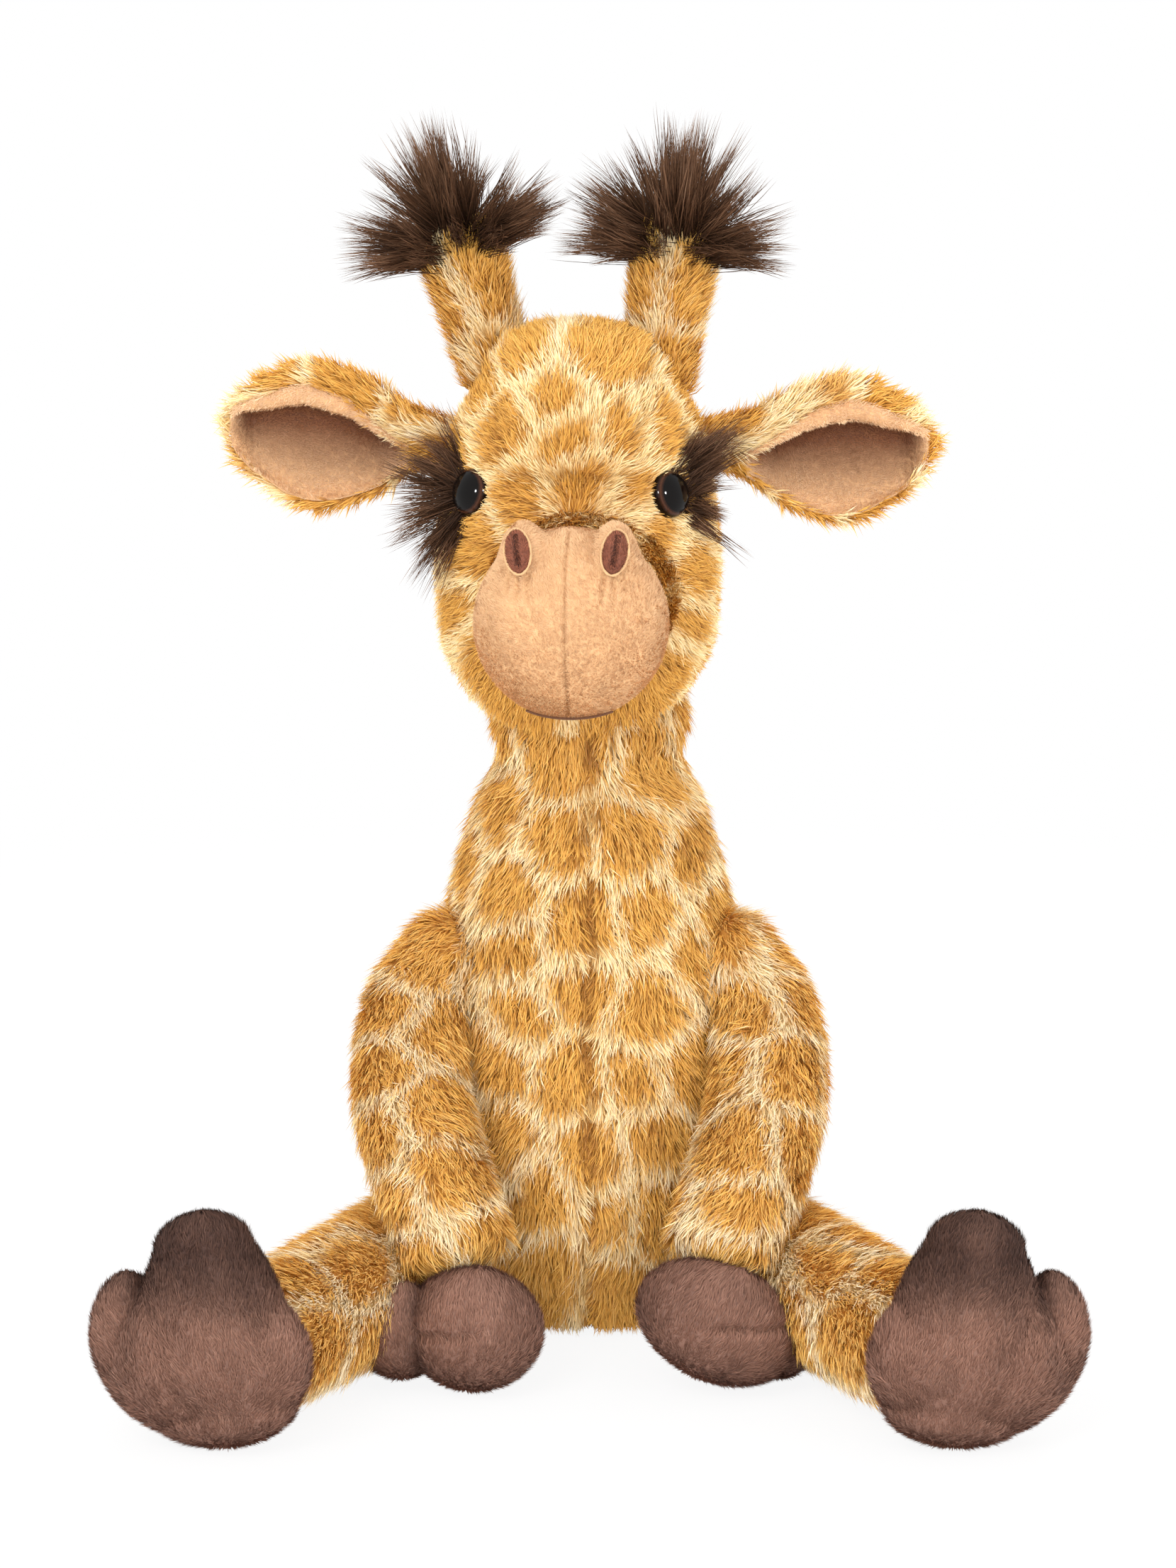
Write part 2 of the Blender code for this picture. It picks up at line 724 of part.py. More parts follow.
def build_neck_mane(looks):
    """A strip of long hair down the back of the neck."""
    table = smooth_rows(TORSO_shares, BODY_SIDES * BODY_SIDES)
    rows = []
    for share in np.linspace(MANE_NECK_TOP_share, MANE_NECK_FOOT_share, 5):
        row = table[np.argmin(abs(table[:, 0] - share))]
        deep = TORSO_HALF_DEPTH * row[2]
        rows.append((0, TORSO_SETBACK + deep, TORSO_HEIGHT * share, MANE_HALF_WIDTH, MANE_RISE))
    caps = (MANE_HALF_WIDTH, MANE_HALF_WIDTH)
    strip = loft("mane_neck", rows, AXIS_X, SMALL_SIDES, MANE_RINGS, caps)
    cut(strip, torso_cutter("torso_cutter"))
    settle(strip, looks["hair"], (0, rows[2][1], rows[2][2]), None)


def eye_frame(side):
    """The frame of one eye: zero on its seat, z pointing out of the head."""
    point, out = head_surface(EYE_BEARING, EYE_LIFT)
    out = Vector((side * out.x * math.cos(EYE_PITCH), out.y * math.cos(EYE_PITCH), math.sin(EYE_PITCH)))
    point = Vector((HEAD_OFFSET + side * point.x, point.y, point.z)) - out * EYE_SINK
    return Matrix.Translation(point) @ out.to_track_quat("Z", "Y").to_matrix().to_4x4()


def build_head(looks, head_pivot):
    """Head skin with its sockets, and everything sewn or locked to it.

    The head's lower rim is trimmed to where the neck comes when the head nods forward.
    """
    head = fuse(head_form("head", BODY_SIDES), snout_form("snout", LIMB_SIDES))
    nodded_torso = torso_cutter("nodded_torso")
    nodded_torso.data.transform(Matrix.Translation((0, -TORSO_SETBACK, -TORSO_HEIGHT)))
    nodded_torso.data.transform(Matrix.Rotation(-HEAD_NOD, 4, AXIS_X))
    neck_socket = socket_ball("neck_socket", (0, 0, 0), NECK_BALL_RADIUS, BODY_SIDES)
    cutters = [nodded_torso, neck_socket]
    for side in (1, -1):
        shape = (ear_point(side), EAR_ROOT_RADIUS, SMALL_SIDES, EAR_ROOM)
        cutters.append(socket_ball(f"ear_socket_{side}", *shape))
        frame = eye_frame(side)
        bore = EYE_SHANK_RADIUS + SKIN_GAP
        room = WASHER_RADIUS + SKIN_GAP
        depth = EYE_SHANK_LENGTH + SKIN_GAP
        low = -WASHER_DEPTH - WASHER_THICKNESS - SKIN_GAP
        high = -WASHER_DEPTH + SKIN_GAP
        seat = EYE_RADIUS + SKIN_GAP
        profile = (
            (0, -depth), (bore, -depth), (bore, low), (room, low), (room, high),
            (bore, high), (bore, -SKIN_GAP), (seat, -SKIN_GAP), (seat, OVERRUN), (0, OVERRUN),
        )
        cutters.append(turned(f"eye_seat_{side}", profile, LIMB_SIDES, frame))
    cut(head, *cutters)
    settle(head, looks["fur"], (0, 0, 0), head_pivot)

    for side, word in ((1, "left"), (-1, "right")):
        frame = eye_frame(side)
        dome = []
        for k in range(EYE_RINGS):
            turn = math.pi / 2 * k / EYE_RINGS
            dome.append((EYE_RADIUS * math.cos(turn), EYE_RIM + EYE_DOME * math.sin(turn)))
        profile = (
            (0, -EYE_SHANK_LENGTH), (EYE_SHANK_RADIUS, -EYE_SHANK_LENGTH), (EYE_SHANK_RADIUS, 0),
            (EYE_RADIUS, 0), *dome, (0, EYE_RIM + EYE_DOME),
        )
        eye = turned(f"eye_{word}", profile, EYE_SIDES, frame)
        settle(eye, looks["eye"], frame.translation, head_pivot)
        hole = EYE_SHANK_RADIUS + SKIN_GAP
        low = -WASHER_DEPTH - WASHER_THICKNESS
        washer = turned(
            f"eye_washer_{word}",
            ((0, low), (WASHER_RADIUS, low), (WASHER_RADIUS, -WASHER_DEPTH), (0, -WASHER_DEPTH)),
            LIMB_SIDES,
            frame,
        )
        drill = turned(
            "drill",
            ((0, low - hole), (hole, low - hole), (hole, hole - WASHER_DEPTH), (0, hole - WASHER_DEPTH)),
            LIMB_SIDES,
            frame,
        )
        cut(washer, drill)
        settle(washer, looks["washer"], frame.translation, head_pivot)
        build_lash(looks, head_pivot, side, word, frame)
        build_horn(looks, head_pivot, side, word)
    build_muzzle(looks, head_pivot)
    build_head_mane(looks, head_pivot)


def build_lash(looks, head_pivot, side, word, frame):
    """The fan of long hair on an eye's outer side."""
    point, _ = head_surface(LASH_BEARING, EYE_LIFT)
    start = Vector((HEAD_OFFSET + side * point.x, point.y, point.z))
    eye = frame.translation
    run = Vector((side * math.sin(LASH_BEARING), -math.cos(LASH_BEARING), 0))
    away = (start - eye).normalized()
    rise = LASH_RISE_LEFT if side > 0 else LASH_RISE_RIGHT
    away = ((away + run).normalized() + AXIS_Z * math.tan(rise)).normalized()
    out = frame.to_3x3() @ AXIS_Z
    begin = eye + away * EYE_RADIUS - out * LASH_HALF_THICKNESS
    rows = []
    for along, growth in LASH_shares:
        centre = begin + away * LASH_LENGTH * along + AXIS_Z * LASH_HALF_THICKNESS * along
        high = LASH_ROOT_HALF_HEIGHT + (LASH_TIP_HALF_HEIGHT - LASH_ROOT_HALF_HEIGHT) * growth
        rows.append((*centre, high, LASH_HALF_THICKNESS))
    caps = (LASH_HALF_THICKNESS, LASH_HALF_THICKNESS)
    lash = loft(f"lash_tuft_{word}", rows, AXIS_Z, SMALL_SIDES, HORN_RINGS, caps)
    wide = EYE_RADIUS + SKIN_GAP
    profile = ((0, -EYE_SHANK_LENGTH), (wide, -EYE_SHANK_LENGTH), (wide, OVERRUN), (0, OVERRUN))
    seat = turned("seat", profile, LIMB_SIDES, frame)
    cut(lash, head_form("head_cutter", BODY_SIDES, SKIN_GAP), seat)
    settle(lash, looks["hair"], begin, head_pivot)


def horn_line(side):
    """The middle of a horn's foot and of its top."""
    lean = HORN_LEAN_LEFT if side > 0 else HORN_LEAN_RIGHT
    foot = Vector((HEAD_OFFSET + side * HORN_SPREAD, HORN_SETBACK, HORN_FOOT_LIFT))
    top = Vector((HEAD_OFFSET + side * (HORN_SPREAD + lean), HORN_SETBACK, HORN_TOP_LIFT))
    return foot, top


def horn_form(name, side, sides, grow=0.0):
    """One horn, a little wider at its top, in the head's frame."""
    foot, top = horn_line(side)
    rows = []
    for along in HORN_shares:
        radius = HORN_FOOT_RADIUS + (HORN_TOP_RADIUS - HORN_FOOT_RADIUS) * along * along
        rows.append((*foot.lerp(top, along), radius, radius))
    caps = [HORN_FOOT_RADIUS * share for share in HORN_CAP_shares]
    return loft(name, rows, AXIS_X, sides, HORN_RINGS, caps, grow)


def build_horn(looks, head_pivot, side, word):
    """A stuffed horn and the tuft of hair that crowns it."""
    foot, top = horn_line(side)
    horn = horn_form(f"horn_{word}", side, LIMB_SIDES)
    cut(horn, head_form("head_cutter", BODY_SIDES, SKIN_GAP))
    settle(horn, looks["fur"], foot, head_pivot)
    rise = (top - foot).normalized()
    rows = [
        (*(top + rise * TUFT_HEIGHT * up), TUFT_HALF_WIDTH * wide, TUFT_HALF_DEPTH * deep)
        for up, wide, deep in TUFT_shares
    ]
    caps = (HORN_FOOT_RADIUS * HORN_CAP_shares[1], TUFT_HEIGHT * (1 - TUFT_shares[-1][0]))
    tuft = loft(f"horn_tuft_{word}", rows, AXIS_X, LIMB_SIDES, HORN_RINGS, caps)
    cut(tuft, horn_form("horn_cutter", side, LIMB_SIDES, SKIN_GAP))
    settle(tuft, looks["hair"], top, head_pivot)


def muzzle_form(name, sides, grow=0.0):
    """The muzzle bulb with its two nostril bumps."""
    centre = (0, -MUZZLE_REACH, MUZZLE_LIFT)
    size = (MUZZLE_HALF_WIDTH, MUZZLE_HALF_DEPTH, MUZZLE_HALF_HEIGHT)
    bulb = ellipsoid(name, centre, size, sides, grow)
    bumps = [
        ellipsoid(
            f"bump_{side}",
            (side * BUMP_SPREAD, -BUMP_REACH, BUMP_LIFT),
            (BUMP_HALF_WIDTH, BUMP_HALF_DEPTH, BUMP_HALF_HEIGHT),
            SMALL_SIDES,
            grow,
        )
        for side in (1, -1)
    ]
    return fuse(bulb, *bumps)


def build_muzzle(looks, head_pivot):
    """Muzzle, nostril patches and the stitched mouth."""
    muzzle = muzzle_form("muzzle", HOOF_SIDES)
    cut(
        muzzle,
        snout_form("snout_cutter", LIMB_SIDES, SKIN_GAP),
        head_form("head_cutter", BODY_SIDES, SKIN_GAP),
    )
    settle(muzzle, looks["plush"], (0, -MUZZLE_REACH, MUZZLE_LIFT), head_pivot)
    for side, word in ((1, "left"), (-1, "right")):
        centre = Vector((side * BUMP_SPREAD, -BUMP_REACH - BUMP_HALF_DEPTH, BUMP_LIFT))
        size = (NOSTRIL_HALF_WIDTH, NOSTRIL_THICKNESS, NOSTRIL_HALF_HEIGHT)
        patch = ellipsoid(f"nostril_{word}", centre, size, SMALL_SIDES)
        cut(patch, muzzle_form("muzzle_cutter", HOOF_SIDES, SKIN_GAP))
        settle(patch, looks["nostril"], centre, head_pivot)
    offset = STITCH_RADIUS + SKIN_GAP
    rows = []
    for share in np.linspace(-1, 1, 9):
        bearing = MOUTH_HALF_ANGLE * share
        dip = MOUTH_DIP - MOUTH_HALF_ANGLE * MOUTH_CURL_share * share * share
        rows.append(
            (
                (MUZZLE_HALF_WIDTH + offset) * math.cos(dip) * math.sin(bearing),
                -MUZZLE_REACH - (MUZZLE_HALF_DEPTH + offset) * math.cos(dip) * math.cos(bearing),
                MUZZLE_LIFT - (MUZZLE_HALF_HEIGHT + offset) * math.sin(dip),
                STITCH_RADIUS,
                STITCH_RADIUS,
            )
        )
    caps = (STITCH_RADIUS, STITCH_RADIUS)
    mouth = loft("mouth_stitch", rows, AXIS_Z, STITCH_SIDES, STITCH_RINGS, caps)
    settle(mouth, looks["stitch"], rows[4][:3], head_pivot)


def build_head_mane(looks, head_pivot):
    """A strip of long hair from the crown down the back of the head."""
    rows = []
    middle = HEAD_HEIGHT * MANE_HEAD_MIDDLE_share
    for share in np.linspace(MANE_HEAD_TOP_share, MANE_HEAD_FOOT_share, 7):
        turn = math.pi / 2 - math.pi * share * MANE_HEAD_SWEEP_share
        y = -HEAD_REACH * MANE_HEAD_REACH_share + HEAD_HALF_DEPTH * math.cos(turn)
        z = middle + (HEAD_HEIGHT + HEAD_CROWN - middle) * math.sin(turn)
        rows.append((HEAD_OFFSET, y, z, MANE_HALF_WIDTH, MANE_RISE))
    caps = (MANE_HALF_WIDTH, MANE_HALF_WIDTH)
    strip = loft("mane_head", rows, AXIS_X, SMALL_SIDES, MANE_RINGS, caps)
    cut(strip, head_form("head_cutter", BODY_SIDES, SKIN_GAP))
    settle(strip, looks["hair"], rows[3][:3], head_pivot)


def build_ear(looks, head_pivot, side, word):
    """One ear: a furred leaf with a dished lining, on its own pivot."""
    ear_pivot = pivot(f"pivot_ear_{word}", ear_point(side), head_pivot)
    caps = (EAR_ROOT_RADIUS, EAR_LENGTH * EAR_TIP_share)
    ear = loft(f"ear_{word}", ear_rows(side), AXIS_Z, LIMB_SIDES, EAR_RINGS, caps)
    ahead = EAR_HALF_THICKNESS
    thin = EAR_HALF_THICKNESS - LINING_DEPTH
    dish_caps = (LINING_INSET, EAR_LENGTH * EAR_TIP_share)
    dish_rows = ear_rows(side, LINING_INSET, thin, ahead)[1:]
    cut(ear, loft("dish", dish_rows, AXIS_Z, LIMB_SIDES, LINING_RINGS, dish_caps))
    settle(ear, looks["fur"], (0, 0, 0), ear_pivot)
    shape = (AXIS_Z, LIMB_SIDES, LINING_RINGS, dish_caps)
    lining = loft(f"ear_lining_{word}", dish_rows, *shape, -LINING_GAP)
    hollow_rows = ear_rows(side, LINING_INSET, thin, ahead + LINING_THICKNESS)[1:]
    cut(lining, loft("hollow", hollow_rows, *shape, SKIN_GAP))
    settle(lining, looks["plush"], dish_rows[1][:3], ear_pivot)


def build_leg(looks, side, word):
    """One hind limb with its hoof and pellet bag, on the hip's upright axis."""
    hip = hip_point(side)
    leg_pivot = pivot(f"pivot_leg_{word}", hip)
    leg = leg_form(f"leg_{word}", side, LIMB_SIDES)
    cut(leg, torso_cutter("torso_cutter", core_ball("core", hip, LEG_RADIUS, SOCKET_SIDES)))
    cut(leg, floor_cutter("floor"))
    settle(leg, looks["fur"], hip, leg_pivot, hip)

    turn = Matrix.Rotation(side * FOOT_YAW, 3, AXIS_Z)
    across = turn @ AXIS_X
    middle = Vector((side * FOOT_SPREAD, -FOOT_FORWARD, 0))
    rows = []
    for up, wide, deep in FOOT_shares:
        lean = across * side * FOOT_LEAN * (up - FOOT_shares[1][0])
        centre = middle + lean + AXIS_Z * FOOT_HEIGHT * up
        rows.append((*centre, FOOT_HALF_WIDTH * wide, FOOT_HALF_DEPTH * deep))
    caps = (FOOT_HEIGHT * FOOT_SOLE_CAP_share, FOOT_HEIGHT * FOOT_TOP_CAP_share)
    foot = loft(f"foot_{word}", rows, across, HOOF_SIDES, FOOT_RINGS, caps)
    toe_centre = middle + across * side * TOE_SPREAD + AXIS_Z * TOE_LIFT
    toe_size = (TOE_HALF_WIDTH, TOE_HALF_DEPTH, TOE_HALF_HEIGHT)
    fuse(foot, ellipsoid("toe", toe_centre, toe_size, LIMB_SIDES, 0, turn))
    bag_centre = middle + turn @ AXIS_Y * BAG_SETBACK + AXIS_Z * BAG_LIFT
    bag_size = (BAG_HALF_WIDTH, BAG_HALF_DEPTH, BAG_HALF_HEIGHT)
    hollow = ellipsoid("hollow", bag_centre, bag_size, SMALL_SIDES, SKIN_GAP, turn)
    cut(foot, floor_cutter("floor"), leg_form("leg_cutter", side, LIMB_SIDES, SKIN_GAP), hollow)
    settle(foot, looks["hoof"], middle, leg_pivot, hip)
    bag = ellipsoid(f"foot_pellet_bag_{word}", bag_centre, bag_size, SMALL_SIDES, 0, turn)
    cut(bag, leg_form("leg_cutter", side, LIMB_SIDES, SKIN_GAP))
    settle(bag, looks["linen"], bag_centre, leg_pivot, hip)


def build_arm(looks, side, word):
    """One front limb with its hoof, on the shoulder's crosswise axis.

    The hoof is trimmed to pass the hind limb as the front limb begins to lift.
    """
    shoulder = shoulder_point(side)
    arm_pivot = pivot(f"pivot_arm_{word}", shoulder)
    arm = arm_form(f"arm_{word}", side, LIMB_SIDES)
    core = core_ball("core", shoulder, SHOULDER_RADIUS, SOCKET_SIDES)
    cut(arm, torso_cutter("torso_cutter", core), leg_form("leg_cutter", side, LIMB_SIDES, SKIN_GAP))
    settle(arm, looks["fur"], shoulder, arm_pivot, shoulder)

    centre = Vector((side * HOOF_SPREAD, -HOOF_FORWARD, HOOF_HALF_HEIGHT - FLOOR_TRIM))
    turn = Matrix.Rotation(side * HOOF_TILT, 3, AXIS_Y)
    size = (HOOF_HALF_WIDTH, HOOF_HALF_DEPTH, HOOF_HALF_HEIGHT)
    hoof = ellipsoid(f"hoof_{word}", centre, size, HOOF_SIDES, 0, turn)
    toe_height = HOOF_TOE_HALF_HEIGHT - FLOOR_TRIM
    toe_spread = HOOF_SPREAD + HOOF_TOE_BESIDE
    toe_centre = (side * toe_spread, HOOF_TOE_BEHIND - HOOF_FORWARD, toe_height)
    toe_size = (HOOF_TOE_HALF_WIDTH, HOOF_TOE_HALF_DEPTH, HOOF_TOE_HALF_HEIGHT)
    fuse(hoof, ellipsoid("toe", toe_centre, toe_size, SMALL_SIDES))
    passing = []
    for angle in ARM_PASS_ANGLES:
        leg = leg_form(f"leg_passed_{angle}", side, LIMB_SIDES, SKIN_GAP)
        leg.data.transform(Matrix.Translation(-shoulder))
        leg.data.transform(Matrix.Rotation(angle, 4, AXIS_X))
        leg.data.transform(Matrix.Translation(shoulder))
        passing.append(leg)
    cut(
        hoof,
        floor_cutter("floor"),
        leg_form("leg_cutter", side, LIMB_SIDES, SKIN_GAP),
        arm_form("arm_cutter", side, LIMB_SIDES, SKIN_GAP),
        torso_cutter("torso_cutter"),
        *passing,
    )
    settle(hoof, looks["hoof"], centre, arm_pivot, shoulder)


def build_tail(looks):
    """Tail and its tuft, on an upright axis at the root."""
    tail_pivot = pivot("pivot_tail", tail_point())
    tail = tail_form("tail")
    torso = torso_cutter("torso_cutter")
    torso.data.transform(Matrix.Translation(-tail_point()))
    cut(torso, core_ball("core", (0, 0, 0), TAIL_ROOT_RADIUS, SMALL_SIDES))
    cut(tail, torso)
    settle(tail, looks["fur"], (0, 0, 0), tail_pivot)
    end = Vector(tail_rows()[-1][:3])
    tuft_rows = [
        (0, end.y + TAIL_TUFT_LENGTH * back, end.z, TAIL_TUFT_RADIUS * wide, TAIL_TUFT_RADIUS * wide)
        for back, wide in TAIL_TUFT_shares
    ]
    caps = (TAIL_RADIUS, TAIL_TUFT_RADIUS)
    tuft = loft("tail_tuft", tuft_rows, AXIS_X, SMALL_SIDES, LINING_RINGS, caps)
    cut(tuft, tail_form("tail_cutter", SKIN_GAP))
    settle(tuft, looks["hair"], end, tail_pivot)


def main():
    """Empty the scene and build the toy."""
    for old in list(bpy.data.objects):
        bpy.data.objects.remove(old)
    looks = {
        "fur": material("spotted_fur", FUR),
        "plush": material("short_plush", SHORT_PLUSH),
        "hoof": material("hoof_plush", HOOF_PLUSH),
        "hair": material("long_hair", HAIR),
        "nostril": material("nostril_plush", NOSTRIL_PLUSH),
        "stitch": material("stitch_thread", STITCH),
        "eye": material("eye_plastic", EYE_GLOSS),
        "washer": material("washer_plastic", WASHER_PLASTIC),
        "linen": material("bag_linen", LINEN),
    }
    build_torso(looks)
    build_neck_mane(looks)
    head_pivot = pivot("pivot_head", (0, TORSO_SETBACK, TORSO_HEIGHT), None, HEAD_TURN)
    build_head(looks, head_pivot)
    for side, word in ((1, "left"), (-1, "right")):
        build_ear(looks, head_pivot, side, word)
        build_arm(looks, side, word)
        build_leg(looks, side, word)
    build_tail(looks)


if __name__ == "__main__":
    main()
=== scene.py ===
"""Dresses the plush giraffe: stuffed skins, long and short pile, hair, eyes, stage and camera.

Units are metres and +Z is up. The toy sits on z = 0 and faces -Y, so the toy's own left is +X.
Every soft form is a tube or a ball given as rings of centres and half sizes. A skin lies a
little inside each form, and fibres grow from it: fine short ones on the muzzle, ears and
hooves, long ones in locks on the spotted fur, and very long ones in the tufts and the mane.
"""

import json
import logging
import math
from dataclasses import dataclass, field
from enum import Enum
from typing import Any, Sequence

import bpy
import numpy as np
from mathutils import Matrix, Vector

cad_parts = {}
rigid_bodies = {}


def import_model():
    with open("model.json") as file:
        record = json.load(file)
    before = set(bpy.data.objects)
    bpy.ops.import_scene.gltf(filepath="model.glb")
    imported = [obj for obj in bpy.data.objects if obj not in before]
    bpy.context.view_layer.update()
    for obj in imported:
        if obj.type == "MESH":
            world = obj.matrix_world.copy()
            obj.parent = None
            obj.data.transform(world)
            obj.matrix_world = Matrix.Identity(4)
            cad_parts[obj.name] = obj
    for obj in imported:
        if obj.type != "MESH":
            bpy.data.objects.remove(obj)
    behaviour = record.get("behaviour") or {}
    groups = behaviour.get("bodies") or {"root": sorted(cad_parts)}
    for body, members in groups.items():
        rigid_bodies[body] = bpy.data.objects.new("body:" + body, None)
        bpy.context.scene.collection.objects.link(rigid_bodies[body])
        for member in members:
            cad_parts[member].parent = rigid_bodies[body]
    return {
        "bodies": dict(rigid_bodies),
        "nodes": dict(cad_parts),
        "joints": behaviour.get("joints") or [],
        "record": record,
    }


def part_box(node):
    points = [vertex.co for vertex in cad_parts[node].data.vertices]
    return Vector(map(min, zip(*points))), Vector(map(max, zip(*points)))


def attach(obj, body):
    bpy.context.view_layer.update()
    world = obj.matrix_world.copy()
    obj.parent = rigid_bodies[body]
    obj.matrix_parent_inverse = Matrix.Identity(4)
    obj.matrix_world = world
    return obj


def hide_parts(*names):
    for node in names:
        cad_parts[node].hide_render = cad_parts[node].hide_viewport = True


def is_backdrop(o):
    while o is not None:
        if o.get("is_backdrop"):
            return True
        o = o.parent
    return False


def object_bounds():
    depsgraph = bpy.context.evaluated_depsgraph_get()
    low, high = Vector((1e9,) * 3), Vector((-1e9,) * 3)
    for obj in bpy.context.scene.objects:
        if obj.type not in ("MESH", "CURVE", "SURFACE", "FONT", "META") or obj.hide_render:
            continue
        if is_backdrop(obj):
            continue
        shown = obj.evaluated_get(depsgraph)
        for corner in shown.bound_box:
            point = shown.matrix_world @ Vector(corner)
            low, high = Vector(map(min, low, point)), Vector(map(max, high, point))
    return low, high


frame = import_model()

Array = np.ndarray
Colour = tuple[int, int, int]
Triple = tuple[float, float, float]
Stops = tuple[tuple[float, Triple], ...]

LOG = logging.getLogger("giraffe")
FIBRE_MAP = "OFBake"
FLOOR_CLEARANCE = 0.0003  # the least height of any point
ROOTS_ABOVE = 0.001  # no fibre is rooted lower
MOST_TRIANGLES = 190_000  # in one piece
POINTS_AT_ONCE = 20_000  # in one step of a search for the nearest
CAP_RINGS = 12  # in each end of a swollen form
MAP_EDGE = 0.03  # where the used part of the fibres' map starts
MAP_ACROSS = 0.93  # the pattern's span on the map
MAP_UP = 0.94  # the tone's span on the map
MAP_HALF_BLADE = 0.006  # half the width of a blade on the map
BLADE_TAPER = 0.22  # the share of a blade's width that its half width would lose by the tip
CELL_BITS = 13  # for each of the three numbers of a lock's cell
HOOF_EDGE = (0.55, 0.02)  # a fibre's least length share, and the run over which it grows by one
LEFTWARDS = (1, 0, 0)
UPWARDS = (0, 0, 1)


class Side(Enum):
    """The toy's own left, at +X, and its right."""

    LEFT = 1
    RIGHT = -1

    @property
    def word(self) -> str:
        """The side's name in lower case."""
        return self.name.lower()

    @property
    def flip(self) -> Array:
        """What a place of the left side is multiplied by to lie on this side."""
        return np.array([self.value, 1, 1])

    def pick(self, pair: Sequence[Any]) -> Any:
        """The left or the right one of a pair."""
        return pair[0] if self is Side.LEFT else pair[1]


class Fibre(Enum):
    """How many straight runs make one fibre."""

    NAP = 1
    PILE = 2
    HAIR = 5

    @property
    def roll(self) -> float:
        """How far its blades turn about their own length, in radians."""
        return 0.25 if self is Fibre.NAP else 0.55


def linear(red: int, green: int, blue: int) -> Triple:
    """A colour as the screen shows it, 0 to 255, turned into linear light.

    Args:
        red: the red part.
        green: the green part.
        blue: the blue part.

    Returns:
        The three parts in linear light.
    """
    shares = np.array([red, green, blue]) / 255
    made = np.where(shares <= 0.04045, shares / 12.92, ((shares + 0.055) / 1.055) ** 2.4)
    return tuple(float(v) for v in made)


def shades(places: Sequence[float], *colours: Colour) -> Stops:
    """The stops of a colour ramp: each place with its colour as the screen shows it."""
    return tuple((place, linear(*colour)) for place, colour in zip(places, colours))


class Wire:
    """A socket of one material's graph that maths can be written on."""

    def __init__(self, graph: "Graph", socket: Any) -> None:
        """Keeps the graph and the socket."""
        self.graph = graph
        self.socket = socket

    def maths(self, operation: str, left: Any, right: Any = 0.0) -> "Wire":
        """A Math node's result.

        Args:
            operation: the node's operation.
            left: the first wire or number.
            right: the second wire or number.

        Returns:
            The wire that leaves the node.
        """
        return self.graph.wire("ShaderNodeMath", {"operation": operation}, {0: left, 1: right})

    def __add__(self, other: Any) -> "Wire":
        """self + other"""
        return self.maths("ADD", self, other)

    def __radd__(self, other: Any) -> "Wire":
        """other + self"""
        return self.maths("ADD", other, self)

    def __sub__(self, other: Any) -> "Wire":
        """self - other"""
        return self.maths("SUBTRACT", self, other)

    def __rsub__(self, other: Any) -> "Wire":
        """other - self"""
        return self.maths("SUBTRACT", other, self)

    def __mul__(self, other: Any) -> "Wire":
        """self * other"""
        return self.maths("MULTIPLY", self, other)

    def __rmul__(self, other: Any) -> "Wire":
        """other * self"""
        return self.maths("MULTIPLY", other, self)

    def __truediv__(self, other: Any) -> "Wire":
        """self / other"""
        return self.maths("DIVIDE", self, other)

    def clamped(self) -> "Wire":
        """The value held between 0 and 1."""
        return self.graph.wire("ShaderNodeClamp", {}, {0: self})


